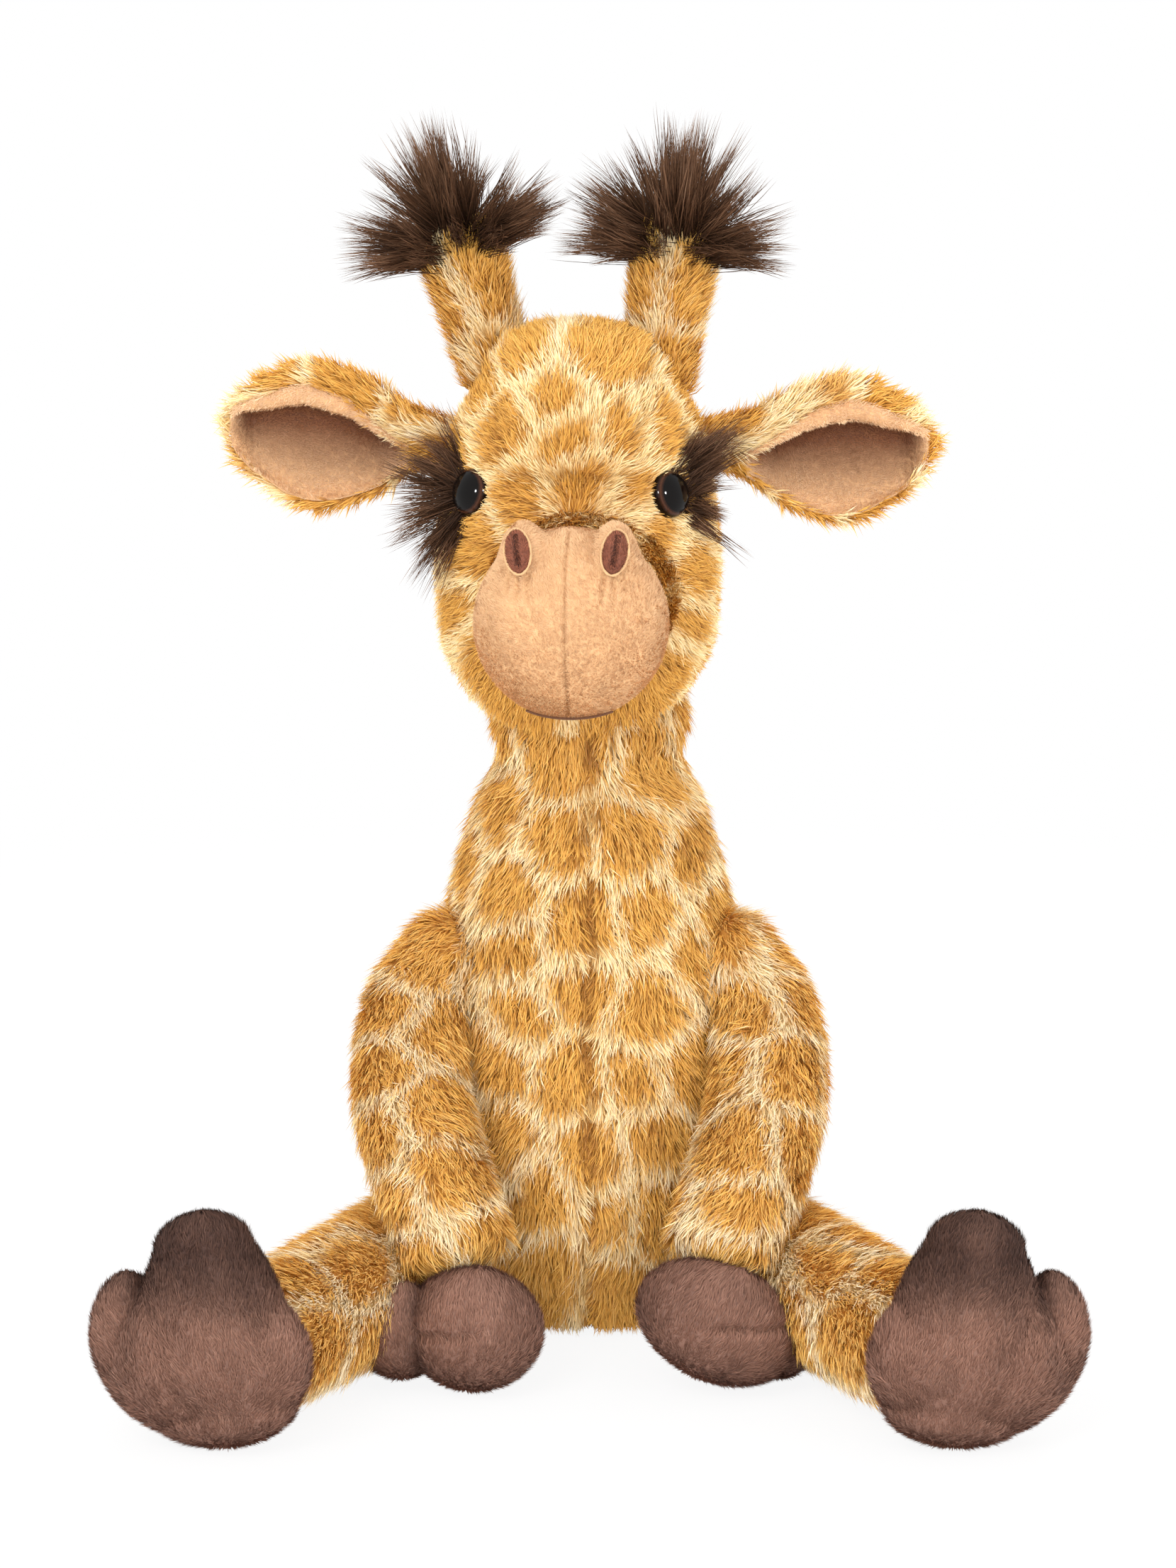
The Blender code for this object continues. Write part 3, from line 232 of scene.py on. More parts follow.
class Graph:
    """The nodes of one material, around its Principled shader."""

    def __init__(self, name: str) -> None:
        """Makes the material with its default shader and output.

        Args:
            name: the material's name.
        """
        self.material = bpy.data.materials.new(name)
        self.material.use_nodes = True
        self.tree = self.material.node_tree
        self.shader = self.tree.nodes["Principled BSDF"]
        self.output = self.tree.nodes["Material Output"]

    def node(self, kind: str, settings: dict[str, Any], inputs: dict[Any, Any]) -> Any:
        """Adds a node.

        Args:
            kind: the node's type.
            settings: its properties; "stops" holds a ramp's places and colours.
            inputs: values or wires by socket name or number.

        Returns:
            The node.
        """
        made = self.tree.nodes.new(kind)
        for key, value in settings.items():
            if key == "stops":
                self.set_stops(made.color_ramp, value)
            else:
                setattr(made, key, value)
        for key, value in inputs.items():
            self.feed(made.inputs[key], value)
        return made

    def wire(self, kind: str, settings: dict[str, Any], inputs: dict[Any, Any], out: Any = 0) -> Wire:
        """Adds a node and returns one of its outputs as a wire."""
        return Wire(self, self.node(kind, settings, inputs).outputs[out])

    def feed(self, socket: Any, value: Any) -> None:
        """Links a wire to a socket, or sets the socket's own value.

        Args:
            socket: a node's input.
            value: a wire, a colour or a number.
        """
        if isinstance(value, Wire):
            self.tree.links.new(value.socket, socket)
        elif isinstance(value, tuple) and len(value) == 3 and socket.type == "RGBA":
            socket.default_value = (*value, 1.0)
        else:
            socket.default_value = value

    @staticmethod
    def set_stops(ramp: Any, stops: Sequence[tuple[float, Triple]]) -> None:
        """Gives a colour ramp its stops.

        Args:
            ramp: the node's ramp.
            stops: places and colours.
        """
        while len(ramp.elements) < len(stops):
            ramp.elements.new(0.5)
        for element, (place, colour) in zip(ramp.elements, stops):
            element.position = place
            element.color = (*colour, 1.0)

    def ramp(self, factor: Wire, stops: Sequence[tuple[float, Triple]]) -> Wire:
        """A colour read from stops."""
        return self.wire("ShaderNodeValToRGB", {"stops": stops}, {0: factor})

    def mix(self, factor: Any, first: Any, second: Any, blend: str = "MIX") -> Wire:
        """Two colours mixed, or multiplied, by a factor."""
        settings = {"data_type": "RGBA", "blend_type": blend}
        return self.wire("ShaderNodeMix", settings, {0: factor, 6: first, 7: second}, 2)

    def attribute(self, name: str) -> Wire:
        """A number kept at the mesh's points."""
        return self.wire("ShaderNodeAttribute", {"attribute_name": name}, {}, "Fac")

    def place(self) -> Wire:
        """Object coordinates."""
        return self.wire("ShaderNodeTexCoord", {}, {}, "Object")

    def mapped(self) -> Wire:
        """The place on the piece's own map."""
        return self.wire("ShaderNodeUVMap", {"uv_map": FIBRE_MAP}, {}, "UV")

    def noise(self, scale: float, detail: float = 2.0, stretch: Triple = (1, 1, 1)) -> Wire:
        """Noise on Object coordinates, with a stretch along each axis.

        Args:
            scale: how fine it is.
            detail: how many finer layers it gets.
            stretch: the coordinates' scale along each axis.

        Returns:
            The noise, about 0 to 1.
        """
        place = self.wire("ShaderNodeMapping", {}, {"Vector": self.place(), "Scale": stretch})
        inputs = {"Vector": place, "Scale": scale, "Detail": detail}
        return self.wire("ShaderNodeTexNoise", {}, inputs, "Fac")

    def bump(self, height: Wire, distance: float, strength: float = 1.0) -> None:
        """Feeds a height to the shader's normal."""
        inputs = {"Height": height, "Distance": distance, "Strength": strength}
        self.feed(self.shader.inputs["Normal"], self.wire("ShaderNodeBump", {}, inputs))

    def finish(self, colour: Any, roughness: Any, **constants: Any) -> bpy.types.Material:
        """Sets the shader's colour, roughness and constant sockets.

        Args:
            colour: wire or colour.
            roughness: wire or number.
            constants: other sockets, with underscores for spaces.

        Returns:
            The material.
        """
        self.feed(self.shader.inputs["Base Color"], colour)
        self.feed(self.shader.inputs["Roughness"], roughness)
        sockets = {socket.name.lower().replace(" ", "_"): socket for socket in self.shader.inputs}
        for key, value in constants.items():
            self.feed(sockets[key], value)
        return self.material


@dataclass(frozen=True)
class FibreFinish:
    """Fibres coloured by two numbers: across the map the pattern, up the map root to tip."""

    name: str
    slot: str
    ground: Stops
    figure: Stops
    roughness: float = 0.75
    shine: float = 0.4

    def make(self) -> bpy.types.Material:
        """Two ramps from root to tip, mixed by the pattern.

        Returns:
            The material of the fibres.
        """
        graph = Graph(self.name)
        place = graph.node("ShaderNodeSeparateXYZ", {}, {0: graph.mapped()})
        figure, tone = (Wire(graph, place.outputs[k]) for k in range(2))
        colour = graph.mix(figure, graph.ramp(tone, self.ground), graph.ramp(tone, self.figure))
        return graph.finish(colour, self.roughness, specular_ior_level=self.shine)


@dataclass(frozen=True)
class SkinFinish:
    """Knitted backing cloth under a pile, coloured by the pattern and broken up by noise."""

    name: str
    slot: str
    ground: Triple
    figure: Triple
    roughness: float = 0.9
    grain: float = 900.0
    clouds: float = 90.0
    relief: float = 0.0004
    shadow: Triple = (0.72, 0.70, 0.68)

    def make(self) -> bpy.types.Material:
        """The pattern's two colours, darkened by two layers of noise.

        Returns:
            The material of the skin.
        """
        graph = Graph(self.name)
        cloudy = graph.noise(self.clouds, 3.0)
        fine = graph.noise(self.grain, 2.0, (1.0, 1.0, 0.35))
        colour = graph.mix(graph.attribute("pattern"), self.ground, self.figure)
        shade = graph.ramp(cloudy * 0.6 + fine * 0.4, ((0.3, self.shadow), (0.7, (1, 1, 1))))
        graph.bump(fine, self.relief)
        return graph.finish(graph.mix(1.0, colour, shade, "MULTIPLY"), self.roughness)


@dataclass(frozen=True)
class Cloth:
    """A fabric with a pile: the finish of its fibres and of the backing under them."""

    fibres: FibreFinish
    backing: SkinFinish


@dataclass(frozen=True)
class EyeFinish:
    """Clear domed plastic over a black pupil, a brown ring and a dark rim."""

    name: str = "eye_dome"
    slot: str = "eye_plastic"
    shine: float = 0.17
    places: tuple = (0.00, 0.80, 0.85, 0.90, 0.94, 0.98)
    colours: tuple = ((9, 7, 6), (11, 8, 7), (46, 27, 18), (74, 44, 29), (48, 29, 20), (16, 11, 9))

    def make(self) -> bpy.types.Material:
        """Rings of colour, by how far a point is from the middle.

        Returns:
            The material of an eye.
        """
        graph = Graph(self.name)
        ring = graph.attribute("ring")
        streak = graph.noise(2600.0, 1.0)
        stops = shades(self.places, *self.colours)
        colour = graph.ramp((ring + streak * 0.05 - 0.025).clamped(), stops)
        roughness = graph.noise(300.0) * 0.04 + 0.06
        return graph.finish(colour, roughness, specular_ior_level=self.shine)


@dataclass(frozen=True)
class ThreadFinish:
    """Twisted sewing thread."""

    name: str = "mouth_thread"
    slot: str = "stitch_thread"
    twist: float = 9.0
    relief: float = 0.0004

    def make(self) -> bpy.types.Material:
        """Slanted bands on the map for the twist.

        Returns:
            The material of the thread.
        """
        graph = Graph(self.name)
        inputs = {"Vector": graph.mapped(), "Scale": self.twist}
        wave = graph.wire("ShaderNodeTexWave", {"bands_direction": "DIAGONAL"}, inputs, "Fac")
        graph.bump(wave, self.relief)
        colour = graph.ramp(wave, shades((0.1, 0.8), (128, 80, 52), (176, 120, 82)))
        return graph.finish(colour, 0.6)


@dataclass(frozen=True)
class WasherFinish:
    """Pale moulded plastic with a faint mould grain."""

    name: str = "washer_moulded"
    slot: str = "washer_plastic"
    grain: float = 700.0
    relief: float = 0.0001

    def make(self) -> bpy.types.Material:
        """Pale grey with a faint grain.

        Returns:
            The material of a washer.
        """
        graph = Graph(self.name)
        grain = graph.noise(self.grain, 3.0)
        graph.bump(grain, self.relief)
        colour = graph.ramp(grain, shades((0.3, 0.7), (216, 214, 205), (232, 230, 222)))
        return graph.finish(colour, grain * 0.2 + 0.35)


@dataclass(frozen=True)
class LinenFinish:
    """Plain woven bag cloth."""

    name: str = "bag_cloth"
    slot: str = "bag_linen"
    threads: float = 420.0
    relief: float = 0.0003

    def make(self) -> bpy.types.Material:
        """Two crossed sets of bands for warp and weft.

        Returns:
            The material of a bag.
        """
        graph = Graph(self.name)
        sets = []
        for direction in ("X", "Z"):
            inputs = {"Vector": graph.place(), "Scale": self.threads, "Distortion": 0.6}
            sets.append(graph.wire("ShaderNodeTexWave", {"bands_direction": direction}, inputs, "Fac"))
        weave = sets[0] * sets[1]
        graph.bump(weave, self.relief)
        colour = graph.ramp(weave, shades((0.0, 0.8), (176, 168, 150), (226, 220, 204)))
        return graph.finish(colour, 0.9)


def cloth(
    word: str,
    kind: str,
    slot: str,
    places: Sequence[float],
    colours: Sequence[Sequence[Colour]],
    **looks: float,
) -> Cloth:
    """A fabric whose fibres and backing share a slot.

    Args:
        word: the first word of both finishes' names.
        kind: the last word of the fibres' name.
        slot: the record's slot.
        places: where the fibres' colours stand between root and tip.
        colours: the fibres' colours on the ground and in the figure, then the backing's two.
        looks: roughness and shine of the fibres where they aren't the usual ones.

    Returns:
        The fabric.
    """
    ground, figure, backing = colours
    pile = FibreFinish(f"{word}_{kind}", slot, shades(places, *ground), shades(places, *figure), **looks)
    return Cloth(pile, SkinFinish(f"{word}_backing", slot, *(linear(*colour) for colour in backing)))


NAP_PLACES = (0.0, 0.5, 1.0)
FUR = cloth(
    "fur", "pile", "spotted_fur", (0.0, 0.35, 0.7, 1.0),
    (
        ((222, 178, 102), (250, 226, 170), (250, 234, 198), (252, 242, 218)),
        ((160, 100, 26), (216, 154, 52), (238, 184, 84), (250, 212, 128)),
        ((244, 216, 158), (222, 160, 68)),
    ),
)
HAIR = cloth(
    "hair", "pile", "long_hair", (0.0, 0.45, 0.8, 1.0),
    (
        ((50, 31, 19), (92, 62, 41), (136, 100, 75), (176, 142, 116)),
        ((37, 23, 14), (68, 45, 30), (106, 77, 57), (150, 118, 94)),
        ((40, 27, 22), (40, 27, 22)),
    ),
    roughness=0.7, shine=0.12,
)
# peach plush: its figure colours, on the backing and the nap, serve mostly as the painted shade of the ear's
# fold
PLUSH = cloth(
    "peach", "nap", "short_plush", NAP_PLACES,
    (
        ((212, 164, 114), (232, 190, 144), (244, 212, 174)),
        ((92, 46, 20), (122, 68, 36), (160, 102, 64)),
        ((228, 182, 132), (112, 62, 32)),
    ),
    roughness=0.85,
)
HOOF = cloth(
    "hoof", "nap", "hoof_plush", NAP_PLACES,
    (
        ((123, 84, 68), (154, 111, 92), (186, 144, 124)),
        ((44, 25, 18), (65, 39, 28), (94, 62, 48)),
        ((144, 106, 90), (78, 50, 40)),
    ),
    roughness=0.85,
)
NOSTRIL = cloth(
    "nostril", "nap", "nostril_plush", NAP_PLACES,
    (
        ((104, 56, 38), (148, 86, 62), (176, 112, 86)),
        ((50, 24, 16), (84, 44, 30), (120, 70, 50)),
        ((132, 74, 52), (60, 30, 20)),
    ),
    roughness=0.9,
)


class Looks:
    """Makes each finish once and puts it on pieces."""

    def __init__(self) -> None:
        """Starts with nothing made."""
        self.made: dict[str, bpy.types.Material] = {}

    def dress(self, piece: bpy.types.Object, finish: Any) -> None:
        """Gives a piece its finish.

        Args:
            piece: the object.
            finish: its finish.
        """
        if finish.name not in self.made:
            self.made[finish.name] = finish.make()
        piece.data.materials.clear()
        piece.data.materials.append(self.made[finish.name])


def unit(vectors: Array) -> Array:
    """Vectors divided by their lengths."""
    return vectors / np.maximum(np.linalg.norm(vectors, axis=-1, keepdims=True), 1e-12)


def rising(values: Array, start: float, run: float) -> Array:
    """0 up to a start, 1 past the run after it, and straight between."""
    return np.clip((values - start) / run, 0, 1)


def falling(values: Array, end: float, run: float) -> Array:
    """1 down from the run before an end, 0 past the end, and straight between."""
    return np.clip((end - values) / run, 0, 1)


def smooth_step(values: Array) -> Array:
    """Values held between 0 and 1 and eased: three times the square less twice the cube."""
    held = np.clip(values, 0, 1)
    return held * held * (3 - 2 * held)


def bell(values: Array, width: float) -> Array:
    """A bell curve: e to the power of minus the square of values over width."""
    return np.exp(-((values / width) ** 2))


def waves(points: Array, size: float, seed: int) -> Array:
    """Smooth noise between about -1 and 1: the mean of eight sine waves of the given size.

    Args:
        points: places, one a row.
        size: the usual distance from crest to crest.
        seed: picks the waves' directions and phases.

    Returns:
        One number a point.
    """
    rng = np.random.default_rng(seed)
    turns = rng.normal(size=(8, 3)) * (0.6 * 2 * np.pi / size)
    phases = rng.uniform(0, 2 * np.pi, 8)
    return np.sin(points @ turns.T + phases).mean(axis=1) * 2.0


def smooth_rows(rows: Sequence[Sequence[float]], count: int) -> Array:
    """Rows of numbers read at even steps from a smooth curve through the given rows.

    Args:
        rows: the given rows.
        count: how many rows to read.

    Returns:
        The rows, each a Catmull-Rom blend of four given ones.
    """
    table = np.asarray(rows, dtype=float)
    ends = np.vstack([2 * table[0] - table[1], table, 2 * table[-1] - table[-2]])
    places = np.linspace(0, len(table) - 1, count)
    k = np.minimum(places.astype(int), len(table) - 2)
    t = (places - k)[:, None]
    a, b, c, d = ends[k], ends[k + 1], ends[k + 2], ends[k + 3]
    square = 2 * a - 5 * b + 4 * c - d
    cube = 3 * b - a - 3 * c + d
    return 0.5 * (2 * b + (c - a) * t + square * t**2 + cube * t**3)


def frame_of(turn: float, move: Sequence[float], axis: int = 2) -> Array:
    """A 4 by 4 frame: a turn about one axis, then a move.

    Args:
        turn: the angle in radians.
        move: the move along x, y and z.
        axis: which axis it turns about.

    Returns:
        The frame.
    """
    made = np.eye(4)
    first, second = [(1, 2), (2, 0), (0, 1)][axis]
    made[first, first] = made[second, second] = math.cos(turn)
    made[first, second] = -math.sin(turn)
    made[second, first] = math.sin(turn)
    made[:3, 3] = move
    return made


@dataclass
class Form:
    """A closed soft form as rings: each has a centre, two directions and two half sizes."""

    centres: Array
    across: Array
    down: Array
    along: Array
    wide: Array
    deep: Array

    def at(self, ring: Array, turn: Array) -> Array:
        """Points on rings: centre plus across times cosine plus down times sine of an angle."""
        wide, deep = self.wide[ring] * np.cos(turn), self.deep[ring] * np.sin(turn)
        return self.centres[ring] + self.across[ring] * wide[..., None] + self.down[ring] * deep[..., None]

    def grid(self, sides: int) -> Array:
        """Rings by sides + 1 points, of which the last column repeats the first."""
        return self.at(np.arange(len(self.wide))[:, None], np.linspace(0, 2 * np.pi, sides + 1))

    def depth(self, points: Array) -> Array:
        """How deep points lie inside the form, in metres, below zero outside.

        The nearest ring centre gives a point its place across and down the ring; the share of
        the half sizes that it reaches, taken from one and times the smaller half size, is the
        depth.

        Args:
            points: places, one a row.

        Returns:
            One depth a point.
        """
        found = np.empty(len(points))
        for start in range(0, len(points), POINTS_AT_ONCE):
            part = points[start : start + POINTS_AT_ONCE]
            gaps = ((part[:, None] - self.centres[None]) ** 2).sum(axis=2)
            near = gaps.argmin(axis=1)
            reach = part - self.centres[near]
            wide = np.maximum(self.wide[near], 1e-4)
            deep = np.maximum(self.deep[near], 1e-4)
            right = (reach * self.across[near]).sum(axis=1) / wide
            low = (reach * self.down[near]).sum(axis=1) / deep
            ahead = (reach * self.along[near]).sum(axis=1) / np.minimum(wide, deep)
            share = np.sqrt(right**2 + low**2 + ahead**2)
            found[start : start + POINTS_AT_ONCE] = (1 - share) * np.minimum(wide, deep)
        return found

    def front(self, places: Sequence[tuple[float, float]]) -> Array:
        """The points of the front surface nearest to places given as x and z.

        Args:
            places: x and z of each.

        Returns:
            One point a place.
        """
        grid = self.grid(96)[:, :-1]
        ahead = grid[..., 1] < self.centres[:, None, 1]
        return nearest_in_view(grid[ahead], np.asarray(places, dtype=float))

    def seeds(self, pitch: float, seed: int, stretch: float = 1.0) -> Array:
        """Places for markings: rows of points round the form, with some jitter.

        Args:
            pitch: the usual distance between neighbours.
            seed: picks the jitter.
            stretch: how much wider than tall the spacing is.

        Returns:
            Points on the surface.
        """
        rng = np.random.default_rng(seed)
        steps = np.linalg.norm(np.diff(self.centres, axis=0), axis=1)
        length = np.concatenate([[0], np.cumsum(steps)])
        rows = max(2, round(length[-1] / pitch))
        made = []
        for row in range(rows):
            ring = int(np.searchsorted(length, length[-1] * (row + 0.5) / rows))
            girth = math.pi * (self.wide[ring] + self.deep[ring])
            count = max(2, round(girth / (pitch * stretch)))
            count_turns = np.arange(count) + 0.5 * (row % 2) + rng.uniform(-0.3, 0.3, count)
            turn = 2 * np.pi * count_turns / count
            shift = np.clip(ring + rng.integers(-2, 3, count), 0, len(self.wide) - 1)
            made.append(self.at(shift, turn))
        return np.vstack(made)

    def placed(self, frame: Array) -> "Form":
        """The form in another frame.

        Args:
            frame: the other frame, 4 by 4.

        Returns:
            The form there.
        """
        turn = frame[:3, :3].T
        moved = self.centres @ turn + frame[:3, 3]
        return Form(moved, self.across @ turn, self.down @ turn, self.along @ turn, self.wide, self.deep)


def nearest_in_view(points: Array, places: Array) -> Array:
    """For each place, given as x and z, the point that looks nearest to it from in front."""
    gaps = ((points[None, :, [0, 2]] - places[:, None]) ** 2).sum(axis=2)
    return points[gaps.argmin(axis=1)]


def swell(
    rows: Sequence[Sequence[float]], side: Triple, caps: tuple[float, float], rings: int = 56
) -> Form:
    """A form along a smooth line, closed by half ellipsoids.

    Args:
        rows: centre x, y, z, half width and half depth at places along the line.
        side: the direction of the half width.
        caps: the lengths of the two ends; zero makes a flat end.
        rings: how many rings the line gets.

    Returns:
        The form.
    """
    table = smooth_rows(rows, rings)
    centres, sizes = table[:, :3], table[:, 3:5]
    tangents = unit(np.gradient(centres, axis=0))
    turn = np.linspace(np.pi / 2, 0, CAP_RINGS, endpoint=False)[:, None]
    first = centres[0] - tangents[0] * caps[0] * np.sin(turn)
    last = (centres[-1] + tangents[-1] * caps[1] * np.sin(turn))[::-1]
    all_centres = np.vstack([first, centres, last])
    all_sizes = np.vstack([sizes[0] * np.cos(turn), sizes, (sizes[-1] * np.cos(turn))[::-1]])
    ends = [np.repeat(tangents[k][None], CAP_RINGS, 0) for k in (0, -1)]
    along = np.vstack([ends[0], tangents, ends[1]])
    across = unit(np.asarray(side) - along * (along @ np.asarray(side))[:, None])
    down = np.cross(along, across)
    return Form(all_centres, across, down, along, all_sizes[:, 0], all_sizes[:, 1])


def ball(centre: Sequence[float], sizes: Sequence[float], turn: Array | None = None) -> Form:
    """An ellipsoid as a form whose rings climb its own z axis.

    Args:
        centre: its middle.
        sizes: its half sizes.
        turn: its own axes as columns.

    Returns:
        The form.
    """
    turn = np.eye(3) if turn is None else turn
    lift = np.linspace(-np.pi / 2, np.pi / 2, 49)
    level = np.cos(lift)
    centres = np.asarray(centre) + np.sin(lift)[:, None] * sizes[2] * turn[:, 2]
    columns = [np.repeat(turn[:, k][None], len(lift), 0) for k in range(3)]
    return Form(centres, *columns, sizes[0] * level, sizes[1] * level)


def outward(grid: Array, centres: Array) -> Array:
    """Unit normals of a grid: the cross product of its two directions, turned outwards.

    Args:
        grid: rings by sides + 1 by 3.
        centres: the rings' centres.

    Returns:
        The normals.
    """
    round_step = np.gradient(grid, axis=1)
    round_step[:, 0] = round_step[:, -1] = grid[:, 1] - grid[:, -2]
    along_step = np.gradient(grid, axis=0)
    normals = np.cross(round_step, along_step)
    away = grid - centres[:, None]
    normals = normals * np.sign((normals[2:-2] * away[2:-2]).sum(axis=2).mean())
    weak = np.linalg.norm(normals, axis=2) < 1e-13
    normals[weak] = (grid - centres.mean(axis=0))[weak]
    return unit(normals)


@dataclass
class Surface:
    """A mesh in the making: points, faces of four and three corners and each corner's map place."""

    points: Array
    quads: Array
    triangles: Array
    quad_map: Array
    triangle_map: Array
    numbers: dict[str, Array] = field(default_factory=dict)

    @staticmethod
    def joined(parts: Sequence["Surface"]) -> "Surface":
        """Several surfaces as one, which stay apart as shells.

        Args:
            parts: the surfaces.

        Returns:
            The one surface.
        """
        starts = np.cumsum([0] + [len(p.points) for p in parts[:-1]])
        return Surface(
            np.vstack([p.points for p in parts]),
            np.vstack([p.quads + s for p, s in zip(parts, starts)]),
            np.vstack([p.triangles + s for p, s in zip(parts, starts)]),
            np.vstack([p.quad_map for p in parts]),
            np.vstack([p.triangle_map for p in parts]),
            {k: np.concatenate([p.numbers[k] for p in parts]) for k in parts[0].numbers},
        )

    def build(self, name: str) -> bpy.types.Object:
        """Puts the arrays into a mesh and returns its object.

        Args:
            name: the mesh's and the object's name.

        Returns:
            The object.
        """
        mesh = bpy.data.meshes.new(name)
        mesh.vertices.add(len(self.points))
        mesh.vertices.foreach_set("co", self.points.astype(np.float32).ravel())
        corners = np.concatenate([self.quads.ravel(), self.triangles.ravel()])
        starts = np.concatenate(
            [np.arange(len(self.quads)) * 4, len(self.quads) * 4 + np.arange(len(self.triangles)) * 3]
        )
        mesh.loops.add(len(corners))
        mesh.loops.foreach_set("vertex_index", corners.astype(np.int32))
        mesh.polygons.add(len(starts))
        mesh.polygons.foreach_set("loop_start", starts.astype(np.int32))
        mesh.update(calc_edges=True)
        layer = mesh.uv_layers.new(name=FIBRE_MAP)
        places = np.concatenate([self.quad_map.reshape(-1, 2), self.triangle_map.reshape(-1, 2)])
        layer.data.foreach_set("uv", places.astype(np.float32).ravel())
        for key, values in self.numbers.items():
            made = mesh.attributes.new(key, "FLOAT", "POINT")
            made.data.foreach_set("value", values.astype(np.float32))
        mesh.polygons.foreach_set("use_smooth", np.ones(len(starts), dtype=bool))
        mesh.update()
        piece = bpy.data.objects.new(name, mesh)
        bpy.context.scene.collection.objects.link(piece)
        return piece


def closed_surface(grid: Array, numbers: dict[str, Array] | None = None) -> Surface:
    """A closed surface from rings, whose first and last ring each shrink to one pole.

    Args:
        grid: rings by sides + 1 by 3, where the last column repeats the first.
        numbers: values by name, one for each grid point.

    Returns:
        The surface, with its faces turned outwards.
    """
    rings, sides = grid.shape[0], grid.shape[1] - 1
    poles = grid[[0, -1], :-1].mean(axis=1)
    points = np.vstack([poles, grid[1:-1, :-1].reshape(-1, 3)])
    row, column = np.meshgrid(np.arange(1, rings - 2), np.arange(sides), indexing="ij")
    row, column = row.ravel(), column.ravel()
    following = (column + 1) % sides

    def at(r: Array, k: Array) -> Array:
        """The point number of a ring and a side."""
        return 2 + (r - 1) * sides + k

    def corners(*places: tuple[Array, Array]) -> Array:
        """Faces' corners on the map, each a place across and one up."""
        return np.stack([np.stack(place, 1) for place in places], 1)

    quads = np.stack([at(row, column), at(row, following), at(row + 1, following), at(row + 1, column)], 1)
    u0, u1 = column / sides, (column + 1) / sides
    v0, v1 = row / (rings - 1), (row + 1) / (rings - 1)
    quad_map = corners((u0, v0), (u1, v0), (u1, v1), (u0, v1))
    k = np.arange(sides)
    n = (k + 1) % sides
    low = np.stack([np.zeros(sides, int), at(1, n), at(1, k)], 1)
    high = np.stack([np.ones(sides, int), at(rings - 2, k), at(rings - 2, n)], 1)
    step = 1 / (rings - 1)
    middle, left, right = (k + 0.5) / sides, k / sides, (k + 1) / sides
    flat = np.zeros(sides)
    low_map = corners((middle, flat), (right, flat + step), (left, flat + step))
    high_map = corners((middle, flat + 1), (left, flat + 1 - step), (right, flat + 1 - step))
    triangles = np.vstack([low, high])
    triangle_map = np.vstack([low_map, high_map])
    a, b, c = (points[quads[:, i]] for i in range(3))
    if (np.cross(b - a, c - a) * (a - points.mean(axis=0))).sum() < 0:
        quads, quad_map = quads[:, ::-1], quad_map[:, ::-1]
        triangles, triangle_map = triangles[:, ::-1], triangle_map[:, ::-1]
    kept = {}
    for key, values in (numbers or {}).items():
        ends = values[[0, -1], :-1].mean(axis=1)
        kept[key] = np.concatenate([ends, values[1:-1, :-1].ravel()])
    return Surface(points, quads, triangles, quad_map, triangle_map, kept)


@dataclass
class Roots:
    """Where fibres grow: point, normal, combed direction and the shares round and along."""

    points: Array
    normals: Array
    flow: Array
    around: Array
    row: Array

    def kept(self, keep: Array) -> "Roots":
        """The roots that a mask keeps."""
        return Roots(*(getattr(self, k)[keep] for k in ("points", "normals", "flow", "around", "row")))

    @staticmethod
    def scattered(grid: Array, normals: Array, density: float, rng: np.random.Generator) -> "Roots":
        """Random roots, even by area, on a grid.

        Args:
            grid: rings by sides + 1 by 3.
            normals: the grid's unit normals.
            density: roots a square metre.
            rng: the source of chance.

        Returns:
            The roots, combed along the grid's first direction.
        """
        p00, p01 = grid[:-1, :-1], grid[:-1, 1:]
        p10, p11 = grid[1:, :-1], grid[1:, 1:]
        area = 0.5 * np.linalg.norm(np.cross(p11 - p00, p01 - p10), axis=2)
        total = np.cumsum(area.ravel())
        count = int(total[-1] * density)
        cell = np.searchsorted(total, rng.uniform(0, total[-1], count))
        cell = np.minimum(cell, area.size - 1)
        r, k = np.divmod(cell, area.shape[1])
        s, t = rng.uniform(size=(2, count, 1))
        low = p00[r, k] * (1 - s) + p01[r, k] * s
        points = low * (1 - t) + (p10[r, k] * (1 - s) + p11[r, k] * s) * t
        flow = unit(p10[r, k] + p11[r, k] - p00[r, k] - p01[r, k])
        found = unit(normals[r, k] * (1 - t) + normals[r + 1, k] * t)
        around, row = (k + s[:, 0]) / area.shape[1], (r + t[:, 0]) / area.shape[0]
        return Roots(points, found, flow, around, row)


def specks(roots: Roots, size: float = 0.0045) -> Array:
    """Painted shade where the pile parts: what comes off the tone, as thin dark streaks in some places."""
    stretched = roots.points - 0.6 * roots.flow * (roots.points * roots.flow).sum(1, keepdims=True)
    return 0.45 * np.clip(waves(stretched, size, 77) * 1.6 - 0.75, 0, 1)


